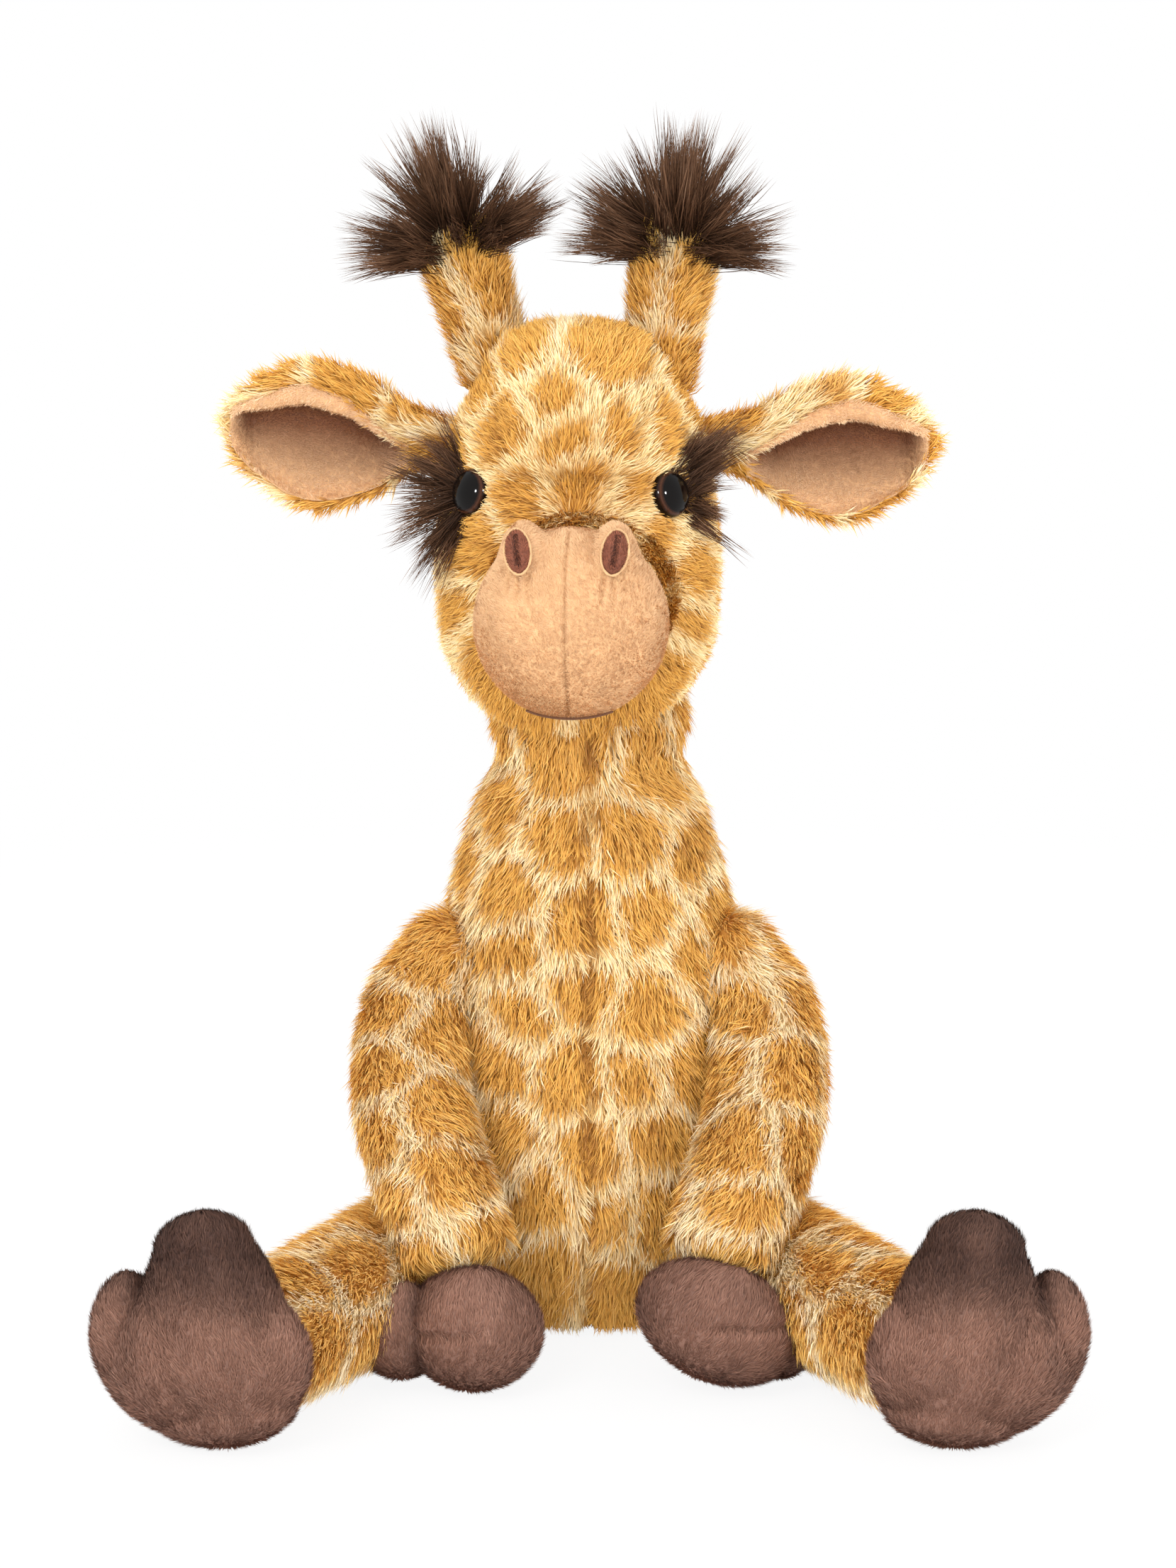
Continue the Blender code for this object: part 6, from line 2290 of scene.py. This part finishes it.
@dataclass
class Ear:
    """A furred leaf with a dished lining."""

    side: Side
    head: Head
    root_spread: float = 0.0430
    root_lift: float = 0.0920
    root_radius: float = 0.0080
    length: float = 0.074
    half_height: float = 0.0245
    half_thickness: float = 0.0055
    forward: float = 0.006
    rises: tuple[float, float] = (math.radians(-2.5), math.radians(2.0))
    shares: tuple = (
        (0.00, 0.327, 1.40), (0.16, 0.46, 1.25), (0.36, 0.82, 1.10), (0.58, 1.00, 1.00), (0.80, 0.84, 0.86),
    )
    tip: float = 0.20
    tip_from: float = 0.45
    tip_lift: float = 0.012
    lower_lip: float = 0.86
    roll: float = 0.0030
    lip_places: tuple = (0.16, 0.28, 0.42, 0.62, 0.95)
    lip_heights: tuple = (-0.30, 0.02, 0.28, 0.40, 0.36)
    taper: float = 0.4
    taper_from: float = 0.72
    opens: tuple[float, float] = (0.13, 0.16)
    closes: tuple[float, float] = (0.985, 0.14)
    upper_swell: tuple[float, float] = (0.14, 0.16)
    lower_swell: tuple[float, float] = (1.04, 0.09)
    lower_share: float = 0.5
    climb: float = 0.95
    cup_power: float = 0.6
    lining_way: tuple[float, float] = (-0.24, 1.0)
    lining_out: tuple[float, float] = (0.17, 0.965)
    fur_fold: float = 0.0050
    lining_fold: float = 0.0064
    pile_sunk: float = 0.0020
    root_margin: float = 0.004

    def frame(self) -> Array:
        """The frame of the ear's root."""
        move = (self.head.offset + self.side.value * self.root_spread, 0.0, self.root_lift)
        return self.head.frame() @ frame_of(0.0, move)

    def form(self) -> Form:
        """The whole leaf, with its tip lifted a little.

        Returns:
            The form.
        """
        rise = self.side.pick(self.rises)
        run = self.side.value * self.length * math.cos(rise)
        sizes = (self.half_height, self.half_thickness)
        rows = [
            (run * k, -self.forward * k, self.length * k * math.sin(rise), sizes[0] * tall, sizes[1] * thick)
            for k, tall, thick in self.shares
        ]
        made = swell(rows, UPWARDS, (self.root_radius, self.length * self.tip))
        out = abs(made.centres[:, 0]) / self.length
        made.centres[:, 2] += np.clip(out - self.tip_from, 0, 1) ** 2 * self.tip_lift
        made.wide *= 1 - self.taper * rising(out, self.taper_from, 1 - self.taper_from)
        return made.placed(self.frame())

    def along(self, form: Form) -> Array:
        """How far out each ring lies, as a share of the length."""
        root = self.frame()
        return self.side.value * ((form.centres - root[:3, 3]) @ root[:3, 0]) / self.length

    def opening(self, out: Array, turn: Array) -> tuple[Array, Array, Array]:
        """Where places lie in the opening of the folded leaf.

        Args:
            out: how far out they lie, as shares of the length.
            turn: their angles round their rings.

        Returns:
            The way from the upper lip, 0, to the lower one, 1; how open the leaf is there; and
            how much the place faces forward.
        """
        lip = np.interp(out, self.lip_places, self.lip_heights)
        way = (lip - np.cos(turn)) / (lip + self.lower_lip)
        run = rising(out, *self.opens) * falling(out, *self.closes)
        facing = np.clip(self.side.value * np.sin(turn) * 4, 0, 1)
        return way, smooth_step(run), facing

    def fold(self, form: Form, depth: float) -> Any:
        """A function that folds the leaf's front into a cup with rolled lips.

        A place in the opening sinks by the depth times a power of the sine of its way across,
        and climbs behind the upper lip. Both lips swell forward.

        Args:
            form: the leaf.
            depth: how deep the cup is.

        Returns:
            The function, of a grid and its normals.
        """
        _, ahead, up = self.frame()[:3, :3].T
        out = self.along(form)[:, None]

        def folded(grid: Array, normals: Array) -> Array:
            """The folded grid.

            Args:
                grid: the surface's points.
                normals: their unit normals.

            Returns:
                The folded points.
            """
            way, run, facing = self.opening(out, np.linspace(0, 2 * np.pi, grid.shape[1])[None])
            inside = np.clip(way, 0, 1)
            arch = np.sin(np.pi * inside)
            climb = form.wide[:, None] * self.climb * arch * (1 - inside) ** 2 * run * facing
            upper = bell(way + self.upper_swell[0], self.upper_swell[1])
            lip = upper + self.lower_share * bell(way - self.lower_swell[0], self.lower_swell[1])
            back = (depth * arch**self.cup_power - self.roll * lip) * run * facing
            return grid + ahead * back[..., None] + up * climb[..., None]

        return folded

    def lined(self, form: Form, out_share: Array, around: Array) -> tuple[Array, Array]:
        """Where the lining lies, and the painted shade deep in the fold, 0 to 1.

        Args:
            form: the leaf.
            out_share: places along the rings, 0 to 1.
            around: places round the rings, 0 to 1.

        Returns:
            True for the lining, and the painted shade of the fold.
        """
        rings = np.arange(len(form.wide))
        out = np.interp(out_share * rings[-1], rings, self.along(form))
        way, run, facing = self.opening(out, around * 2 * np.pi)
        (upper, lower), (near, far) = self.lining_way, self.lining_out
        covered = (way > upper) & (way < lower) & (facing > 0.2) & (out > near) & (out < far)
        # painted shade in the fold: full just under the upper lip, fading towards the lower lip and towards
        # the root and the tip
        below = rising(way, 0.02, 0.06) * falling(way, 0.92, 0.50)
        shade = below * rising(out, 0.15, 0.08) * falling(out, 0.97, 0.08)
        return covered, shade

    def build(self, maker: Maker, head: Form) -> None:
        """Builds and dresses the ear.

        Args:
            maker: builds the pieces.
            head: the head's form, inside which the ear stays bare.
        """
        s, body = self.side.value, f"ear_{self.side.word}"
        form = self.form()
        markings = Markings(form.seeds(0.026, 51 + s), line=0.0042)
        coat = Coat(form, FUR, EAR_PILE, self.pile_sunk, 500 + s, markings, sides=128)
        coat.shape = self.fold(form, self.fur_fold)
        coat.bare = [(head, self.root_margin)]
        maker.add_skins([coat], f"{body}_skin", body, body, 0.5)
        roots = coat.roots()
        furry = roots.kept(~self.lined(form, roots.row, roots.around)[0])
        spread = np.cos(furry.around * 2 * np.pi)[:, None] * self.frame()[:3, 2]
        furry.flow = unit(furry.flow + 0.8 * spread)
        pattern = coat.pattern(furry.points + furry.flow * EAR_PILE.length * 0.5)
        # painted shade where the pile parts
        fur = EAR_PILE.grow(furry, pattern, 520, 1.0, specks(furry))
        maker.add_fibres([fur], f"{body}_fur", FUR, body)
        self.build_lining(maker, form, body)

    def build_lining(self, maker: Maker, form: Form, body: str) -> None:
        """The short plush inside the fold, darkened there by painted shade, which dips under the fur
        everywhere else.

        Args:
            maker: builds the pieces.
            form: the leaf.
            body: the ear's body.
        """
        nap = Coat(form, PLUSH, SHORT_NAP, 0.0, 530 + self.side.value, sides=128)
        nap.shape = self.fold(form, self.lining_fold)
        grid, normals = nap.surface_grid()
        rows, columns = np.meshgrid(*(np.linspace(0, 1, size) for size in grid.shape[:2]), indexing="ij")
        covered, shade = self.lined(form, rows, columns)
        sunk = np.where(covered, 0.0003, 0.0021)
        # the backing carries the fold's painted shade as its pattern
        surface = closed_surface(grid - normals * sunk[..., None], {"pattern": shade * covered})
        maker.add(surface, f"{body}_lining", PLUSH.backing, body, f"ear_lining_{self.side.word}")
        inner = nap.roots()
        kept, shade = self.lined(form, inner.row, inner.around)
        # the nap's pattern is the fold's painted shade with a little random cloud
        cloud = 0.03 + 0.05 * waves(inner.points, 0.02, 3)
        pattern = np.clip(shade + cloud, 0, 1)[kept]
        fibres = SHORT_NAP.grow(inner.kept(kept), pattern, 540, 1.0, -0.20)
        maker.add_fibres([fibres], f"{body}_nap", PLUSH, body)


def hoof_edge(lobes: Sequence[Form], points: Array) -> Array:
    """Length shares for a limb's fur: the last fibres end just past the hoof's edge.

    Args:
        lobes: the hoof's forms.
        points: where the fibres grow.

    Returns:
        One share a point.
    """
    near = np.maximum(lobes[0].depth(points), lobes[1].depth(points))
    least, run = HOOF_EDGE
    return np.clip(least - near / run, least, 1.0)


@dataclass
class Arm:
    """A front limb with its hoof."""

    side: Side
    shoulder: Triple = (0.047, -0.008, 0.122)
    shoulder_radius: float = 0.017
    reach: float = 0.072
    drop: float = 0.080
    radius: float = 0.0205
    bow: float = 0.011
    shares: tuple = (
        (0.17, 0.20, 0.90, 0.94), (0.47, 0.49, 1.00, 1.00),
        (0.80, 0.78, 0.25, 1.00), (1.00, 1.00, -0.45, 0.96),
    )
    end: float = 0.35
    front_patches: tuple = (
        ((0.0481, 0.1333), (0.0515, 0.1134), (0.0675, 0.1307), (0.0704, 0.0934), (0.0709, 0.1134),
         (0.0498, 0.0761), (0.0473, 0.0566), (0.0428, 0.0424), (0.0700, 0.0707), (0.0637, 0.0356)),
        ((-0.0578, 0.1254), (-0.0450, 0.1041), (-0.0708, 0.1108), (-0.0736, 0.0921), (-0.0451, 0.0854),
         (-0.0439, 0.0667), (-0.0699, 0.0747), (-0.0526, 0.0383), (-0.0316, 0.0444), (-0.0635, 0.0545)),
    )
    hoof_centres: tuple = ((0.0405, -0.0925, 0.0222), (0.0368, -0.0925, 0.0200))
    hoof_halves: tuple = ((0.0275, 0.0200, 0.0190), (0.0228, 0.0205, 0.0200))
    hoof_tilts: tuple[float, float] = (math.radians(24.0), math.radians(-6.0))
    toe_centres: tuple = ((0.0600, -0.0850, 0.0145), (0.0600, -0.0895, 0.0185))
    toe_halves: tuple = ((0.0130, 0.0150, 0.0130), (0.0160, 0.0155, 0.0158))
    crease_lift: float = 0.0030
    crease_slope: float = 0.10
    crease_width: float = 0.0011
    crease_depth: float = 0.0022
    crease_from: tuple[float, float] = (-0.006, 0.008)
    patch_pitch: float = 0.026
    patch_gap: float = 0.019
    pile_sunk: float = 0.0040
    torso_margin: float = 0.009
    hoof_margin: float = 0.0025

    def form(self) -> Form:
        """The stuffed limb from the shoulder to its cuff.

        Returns:
            The form.
        """
        x, y, z = self.shoulder
        s = self.side.value
        rows = [(s * x, y, z, self.shoulder_radius, self.shoulder_radius)]
        for ahead, low, bow, thick in self.shares:
            centre = (s * (x + self.bow * bow), y - self.reach * ahead, z - self.drop * low)
            rows.append((*centre, self.radius * thick, self.radius * thick))
        return swell(rows, LEFTWARDS, (self.shoulder_radius, self.radius * self.end))

    def hoof_forms(self) -> list[Form]:
        """The hoof's main lobe and its toe.

        Returns:
            The two forms.
        """
        side = self.side
        turn = frame_of(side.value * side.pick(self.hoof_tilts), (0, 0, 0), 1)[:3, :3]
        main = ball(side.pick(self.hoof_centres) * side.flip, side.pick(self.hoof_halves), turn)
        return [main, ball(side.pick(self.toe_centres) * side.flip, side.pick(self.toe_halves))]

    def crease(self, grid: Array, normals: Array) -> Array:
        """Presses the level dart into the front of the main lobe.

        Args:
            grid: the surface's points.
            normals: their unit normals.

        Returns:
            The pressed points.
        """
        place = grid - self.side.pick(self.hoof_centres) * self.side.flip
        across = place[..., 0] * self.side.value
        groove = bell(place[..., 2] - self.crease_lift + self.crease_slope * across, self.crease_width)
        groove = groove * rising(across, *self.crease_from) * (place[..., 1] < 0)
        return grid - normals * (self.crease_depth * groove)[..., None]

    def build(self, maker: Maker, torso: Form) -> None:
        """Builds and dresses the limb.

        Args:
            maker: builds the pieces.
            torso: the torso's form, inside which the limb stays bare.
        """
        s, body = self.side.value, f"arm_{self.side.word}"
        form, lobes = self.form(), self.hoof_forms()
        front = form.front(self.side.pick(self.front_patches))
        seeds = mixed_seeds(front, form.seeds(self.patch_pitch, 61 + s, 1.15), self.patch_gap)
        markings = Markings(seeds, line=0.0038, stretch=(0.85, 1, 1.1))
        bare = [(torso, self.torso_margin), *((lobe, self.hoof_margin) for lobe in lobes)]
        coat = Coat(form, FUR, LONG_PILE, self.pile_sunk, 600 + s, markings, bare=bare)
        maker.add_skins([coat], f"{body}_skin", body, body, 0.85)

        def shorter(roots: Roots) -> Array:
            """Length shares at the roots."""
            return hoof_edge(lobes, roots.points)

        # painted shade where the pile parts, on fur lighter than the torso's: painted light that makes up for
        # the shade on the arm
        fur = coat.fibres(shorter, lambda roots: specks(roots) - 0.13)
        maker.add_fibres([fur], f"{body}_fur", FUR, body)
        Hoof(f"hoof_{self.side.word}", body, lobes, form, 620 + s, 0.12, self.crease).build(maker)


@dataclass
class Hoof:
    """Two or three lobes in short plush, of which the first two meet in a cleft.

    The shape presses details into the first lobe; dark_top says how dark the nap gets
    towards the top, 0 to 1.
    """

    node: str
    body: str
    lobes: list[Form]
    limb: Form
    seed: int
    dark_top: float
    shape: Any = None
    lobe_margin: float = 0.0012
    limb_margin: float = 0.004
    sunk: float = 0.0009
    least_tint: float = 0.06
    dark_from: tuple[float, float] = (0.50, 0.34)
    cleft_width: float = 0.0035
    cleft_tint: float = 0.5
    clouds: float = 0.12

    def tint(self, points: Array) -> Array:
        """Darker nap high on the lobes, painted shade in the cleft where they meet, and cloudy patches.

        Args:
            points: places, one a row.

        Returns:
            One value a point, 0 to 1.
        """
        top = max(lobe.centres[:, 2].max() for lobe in self.lobes)
        high = smooth_step(rising(points[:, 2] / top, *self.dark_from))
        away = np.maximum(-self.lobes[1].depth(points), -self.lobes[0].depth(points))
        # painted shade in the cleft between the lobes
        cleft = bell(np.maximum(away, 0), self.cleft_width)
        cloud = self.clouds * waves(points, 0.02, self.seed)
        return np.clip(self.least_tint + self.dark_top * high + self.cleft_tint * cleft + cloud, 0, 1)

    def build(self, maker: Maker) -> None:
        """Builds and dresses the hoof.

        Args:
            maker: builds the pieces.
        """
        coats = []
        for k, lobe in enumerate(self.lobes):
            bare = [(form, self.lobe_margin) for form in self.lobes if form is not lobe]
            coat = Coat(lobe, HOOF, HOOF_NAP, self.sunk, self.seed + 10 * k, sides=96, tint=self.tint)
            coat.bare = [*bare, (self.limb, self.limb_margin)]
            coats.append(coat)
        coats[0].shape = self.shape
        maker.add_skins(coats, f"{self.node}_skin", self.body, self.node, 0.95)
        maker.add_fibres([coat.fibres() for coat in coats], f"{self.node}_nap", HOOF, self.body)


@dataclass
class Leg:
    """A hind limb with its hoof and the pellet bag in it."""

    side: Side
    hip: Triple = (0.046, -0.014, 0.025)
    radius: float = 0.0255
    splay: float = 0.054
    reach: float = 0.110
    ankle: float = 0.0035
    shares: tuple = ((0.00, 0.00, 1.00), (0.34, 0.34, 1.00), (0.70, 0.70, 0.95), (1.00, 1.00, 0.88))
    end: float = 0.45
    foot_middle: Triple = (0.1130, -0.1440, 0.0)
    foot_height: float = 0.073
    foot_half_width: float = 0.0305
    foot_half_depth: float = 0.0215
    foot_lean: float = 0.0080
    foot_yaw: float = math.radians(14.0)
    foot_shares: tuple = (
        (0.17, 0.80, 0.80), (0.33, 0.94, 0.98), (0.53, 0.80, 1.00), (0.72, 0.67, 0.88), (0.86, 0.51, 0.68),
    )
    foot_caps: tuple[float, float] = (0.177, 0.14)
    toe_spread: float = 0.0290
    toe_lift: float = 0.0330
    toe_sizes: Triple = (0.0120, 0.0138, 0.0195)
    base_spread: float = 0.0045
    base_lift: float = 0.0275
    base_sizes: Triple = (0.0345, 0.0205, 0.0270)
    patch_pitch: float = 0.030
    pile_sunk: float = 0.0040
    torso_margin: float = 0.004
    hoof_margin: float = 0.0025
    lay: Triple = (0.75, -0.25, -0.60)
    growth: float = 0.45
    floor_run: float = 0.010
    floor_least: float = 0.4

    def form(self) -> Form:
        """The stuffed limb from the hip to the ankle.

        Returns:
            The form.
        """
        x, y, z = self.hip
        rows = []
        for out, ahead, thick in self.shares:
            sag = self.radius * (1 - thick) * ahead
            height = z + self.ankle * ahead**2 - sag
            centre = (self.side.value * (x + self.splay * out), y - self.reach * ahead, height)
            rows.append((*centre, self.radius * thick, self.radius * thick))
        return swell(rows, UPWARDS, (self.radius, self.radius * self.end))

    def hoof_forms(self) -> list[Form]:
        """The hoof's tall lobe, its small outer lobe and the low base that joins them.

        Returns:
            The three forms.
        """
        s = self.side.value
        turn = frame_of(s * self.foot_yaw, (0, 0, 0))[:3, :3]
        out = turn[:, 0] * s
        middle = self.foot_middle * self.side.flip
        rows = []
        for up, wide, deep in self.foot_shares:
            lean = out * self.foot_lean * (up - self.foot_shares[1][0])
            centre = middle + lean + np.array([0, 0, self.foot_height * up])
            rows.append((*centre, self.foot_half_width * wide, self.foot_half_depth * deep))
        caps = tuple(self.foot_height * share for share in self.foot_caps)
        toe = middle + out * self.toe_spread + np.array([0, 0, self.toe_lift])
        base = middle + out * self.base_spread + np.array([0, 0, self.base_lift])
        tall = swell(rows, tuple(turn[:, 0]), caps)
        return [tall, ball(toe, self.toe_sizes, turn), ball(base, self.base_sizes, turn)]

    def build(self, maker: Maker, torso: Form) -> None:
        """Builds and dresses the limb.

        Args:
            maker: builds the pieces.
            torso: the torso's form, inside which the limb stays bare.
        """
        s, word, body = self.side.value, self.side.word, f"leg_{self.side.word}"
        form, lobes = self.form(), self.hoof_forms()
        markings = Markings(form.seeds(self.patch_pitch, 71 + s, 1.1), line=0.0042)
        bare = [(torso, self.torso_margin), *((lobe, self.hoof_margin) for lobe in lobes)]
        coat = Coat(form, FUR, LONG_PILE, self.pile_sunk, 700 + s, markings, bare=bare)
        maker.add_skins([coat], f"{body}_skin", body, body, 0.85)

        def shorter(roots: Roots) -> Array:
            """Length shares: short near the floor and at the hoof's edge."""
            low = np.clip(roots.points[:, 2] / self.floor_run, self.floor_least, 1)
            return hoof_edge(lobes, roots.points) * low

        def combed(roots: Roots) -> Array:
            """Fur that lies outwards and down over the limb.

            Args:
                roots: where the fibres grow.

            Returns:
                One unit direction a root.
            """
            away = self.lay * self.side.flip
            lay = away - roots.normals * (roots.normals @ away)[:, None]
            return unit(lay + self.growth * roots.flow)

        # painted shade where the pile parts, on fur lighter than the torso's: painted light that makes up for
        # the shade on the leg
        fur = coat.fibres(shorter, lambda roots: 0.6 * specks(roots) - 0.20, combed)
        maker.add_fibres([fur], f"{body}_fur", FUR, body)
        Hoof(f"foot_{word}", body, lobes, form, 720 + s, 0.90).build(maker)
        maker.add_bag(f"foot_pellet_bag_{word}", f"foot_bag_{word}", body)


@dataclass
class Tail:
    """A thin furred tail with a tuft of long hair."""

    root: Triple = (0.0, 0.0545, 0.032)
    root_radius: float = 0.0062
    radius: float = 0.0052
    length: float = 0.046
    drop: float = 0.0225
    shares: tuple = ((0.0, 0.0, 1.19), (0.35, 0.22, 1.0), (0.70, 0.75, 0.96), (1.0, 1.0, 0.92))
    pile_sunk: float = 0.0020
    torso_margin: float = 0.002
    tuft_locks: int = 40
    tuft_length: float = 0.036

    def build(self, maker: Maker, torso: Form) -> None:
        """Builds and dresses the tail.

        Args:
            maker: builds the pieces.
            torso: the torso's form, inside which the tail stays bare.
        """
        x, y, z = self.root
        rows = [
            (x, y + self.length * back, z - self.drop * low, self.radius * thick, self.radius * thick)
            for back, low, thick in self.shares
        ]
        form = swell(rows, LEFTWARDS, (self.root_radius, self.radius), 30)
        markings = Markings(form.seeds(0.016, 81), line=0.004)
        coat = Coat(form, FUR, TAIL_PILE, self.pile_sunk, 800, markings, sides=32)
        coat.bare = [(torso, self.torso_margin)]
        maker.add_skins([coat], "tail_skin", "tail", "tail", 0.8)
        maker.add_fibres([coat.fibres()], "tail_fur", FUR, "tail")
        end = np.array(rows[-1][:3])
        rng = np.random.default_rng(83)
        base = end + rng.normal(0, 0.0022, (self.tuft_locks, 3)) + (0, -0.002, 0)
        aims = (0, 1.0, 0.12) + rng.normal(0, 0.16, (self.tuft_locks, 3))
        tuft = Tuft(base, aims, self.tuft_length, per_lock=46, spread=0.0014, droop=0.05, seed=84)
        core = ball(end + (0, 0.003, 0), (0.0045, 0.008, 0.0045))
        maker.add_tuft(tuft, core, ("tail_hair", "tail_hair_root"), "tail", "tail_tuft", 24)


@dataclass
class Stage:
    """Pale floor, white backdrop, soft lamps and the camera."""

    tilt: float = math.radians(10.0)
    distance: float = 1.400
    aim_height: float = 0.190
    frame_width: int = 1659
    pixels_each_metre: float = 4258.1
    shift: tuple[float, float] = (-2.0 * 1.106, -44.0 * 1.106)
    sensor: float = 36.0
    floor_radius: float = 4.0
    floor_sides: int = 96
    glow_from: float = 0.35
    glow_run: float = 0.5
    lamp_aim: Triple = (0, 0, 0.18)

    def build(self) -> None:
        """Builds the whole stage."""
        self.build_floor()
        self.build_world()
        self.build_lamps()
        self.build_camera()

    def backdrop_rays(self, graph: Graph) -> Wire:
        """1 for rays that see the backdrop itself, 0 for light on the object.

        Args:
            graph: the material's graph.

        Returns:
            The wire.
        """
        path = graph.node("ShaderNodeLightPath", {}, {})
        kinds = ("Is Camera Ray", "Is Glossy Ray", "Is Transmission Ray")
        camera, glossy, through = (Wire(graph, path.outputs[kind]) for kind in kinds)
        return (camera + glossy + through).clamped()

    def build_floor(self) -> None:
        """A pale disc that looks nearly white and keeps the object's shadow."""
        graph = Graph("floor_paper")
        grain = graph.noise(60.0, 4.0)
        graph.finish(graph.ramp(grain, ((0.3, (0.92,) * 3), (0.7, (0.94,) * 3))), 0.9)
        glow = graph.wire("ShaderNodeEmission", {}, {"Color": (1.0, 1.0, 1.0), "Strength": 1.0})
        place = graph.wire("ShaderNodeVectorMath", {"operation": "LENGTH"}, {0: graph.place()}, "Value")
        far = ((place - self.glow_from) / self.glow_run).clamped()
        share = self.backdrop_rays(graph) * (far * 0.10 + 0.90)
        paper = Wire(graph, graph.shader.outputs[0])
        mixed = graph.wire("ShaderNodeMixShader", {}, {0: share, 1: paper, 2: glow})
        graph.feed(graph.output.inputs["Surface"], mixed)
        turn = np.linspace(0, 2 * np.pi, self.floor_sides, endpoint=False)
        points = np.stack([np.cos(turn), np.sin(turn), 0 * turn], 1) * self.floor_radius
        mesh = bpy.data.meshes.new("floor")
        mesh.from_pydata(points.tolist(), [], [list(range(self.floor_sides))])
        mesh.materials.append(graph.material)
        floor = bpy.data.objects.new("floor", mesh)
        bpy.context.scene.collection.objects.link(floor)
        floor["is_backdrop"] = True

    def build_world(self) -> None:
        """White where it is seen, plain soft light elsewhere."""
        world = bpy.data.worlds.new("studio")
        bpy.context.scene.world = world
        world.use_nodes = True
        tree = world.node_tree
        back = tree.nodes["Background"]
        back.inputs["Color"].default_value = (1, 1, 1, 1)
        path = tree.nodes.new("ShaderNodeLightPath")
        total = tree.nodes.new("ShaderNodeMath")
        total.operation = "MAXIMUM"
        tree.links.new(path.outputs["Is Camera Ray"], total.inputs[0])
        tree.links.new(path.outputs["Is Transmission Ray"], total.inputs[1])
        level = tree.nodes.new("ShaderNodeMapRange")
        level.inputs["To Min"].default_value = 0.95
        level.inputs["To Max"].default_value = 1.0
        tree.links.new(total.outputs[0], level.inputs["Value"])
        tree.links.new(level.outputs[0], back.inputs["Strength"])

    def build_lamps(self) -> None:
        """A large soft key in front and above, a fill and a rim."""
        lamps = (
            ("key", (-0.9, -1.5, 1.5), 1.1, 20.0, False),
            ("fill", (1.3, -1.2, 0.7), 1.2, 9.0, False),
            ("front", (0.1, -1.9, 0.30), 1.5, 16.0, False),
            ("spark_right", (-0.70, -1.25, 0.75), 0.20, 14.0, True),
            ("spark_left", (0.70, -1.25, 0.75), 0.20, 14.0, True),
            ("rim", (0.4, 1.5, 1.2), 1.0, 8.0, False),
        )
        for name, place, size, power, glints in lamps:
            lamp = bpy.data.lights.new(name, "AREA")
            lamp.size = size
            lamp.energy = power
            made = bpy.data.objects.new(name, lamp)
            made.location = place
            made.visible_glossy = glints
            made.visible_diffuse = not glints
            aim = np.array(self.lamp_aim) - np.array(place)
            yaw = math.atan2(aim[1], aim[0]) - math.pi / 2
            pitch = math.atan2(math.hypot(aim[0], aim[1]), -aim[2])
            made.rotation_euler = (pitch, 0, yaw)
            bpy.context.scene.collection.objects.link(made)

    def build_camera(self) -> None:
        """The camera at the photograph's angle."""
        lens = bpy.data.cameras.new("camera")
        lens.sensor_fit = "HORIZONTAL"
        lens.sensor_width = self.sensor
        lens.lens = self.sensor * self.distance * self.pixels_each_metre / self.frame_width
        lens.shift_x = self.shift[0] / self.frame_width
        lens.shift_y = self.shift[1] / self.frame_width
        made = bpy.data.objects.new("camera", lens)
        back = self.distance * math.cos(self.tilt)
        made.location = (0, -back, self.aim_height + self.distance * math.sin(self.tilt))
        made.rotation_euler = (math.pi / 2 - self.tilt, 0, 0)
        bpy.context.scene.collection.objects.link(made)
        bpy.context.scene.camera = made


def write_sizes(before: Any, after: Any) -> None:
    """Turns the solids' box and the dressed toy's box into lists of numbers, which nothing reads.

    Args:
        before: the corners of the solids' box.
        after: the corners of the dressed toy's box.
    """
    boxes = {"cad": before, "visual": after}
    boxes = {name: [[float(v) for v in corner] for corner in box] for name, box in boxes.items()}


def main() -> None:
    """Builds the toy and its stage in order."""
    logging.basicConfig(level=logging.INFO, format="%(name)s: %(message)s")
    cad_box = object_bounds()
    bpy.context.scene.view_settings.view_transform = "Standard"
    maker = Maker()
    torso, head = Torso(), Head()
    arms, legs = [Arm(side) for side in Side], [Leg(side) for side in Side]
    ears = [Ear(side, head) for side in Side]
    torso_form, head_form = torso.form(), head.form()
    torso.build(maker, [part.form() for part in (*arms, *legs)])
    LOG.info("torso built, %d triangles so far", maker.triangles)
    head.build(maker, [ear.form() for ear in ears])
    LOG.info("head built, %d triangles so far", maker.triangles)
    for ear in ears:
        ear.build(maker, head_form)
    LOG.info("ears built, %d triangles so far", maker.triangles)
    for arm, leg in zip(arms, legs):
        arm.build(maker, torso_form)
        leg.build(maker, torso_form)
    LOG.info("limbs built, %d triangles so far", maker.triangles)
    Tail().build(maker, torso_form)
    Stage().build()
    LOG.info("all built, %d triangles", maker.triangles)
    write_sizes(cad_box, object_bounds())


if __name__ == "__main__":
    main()
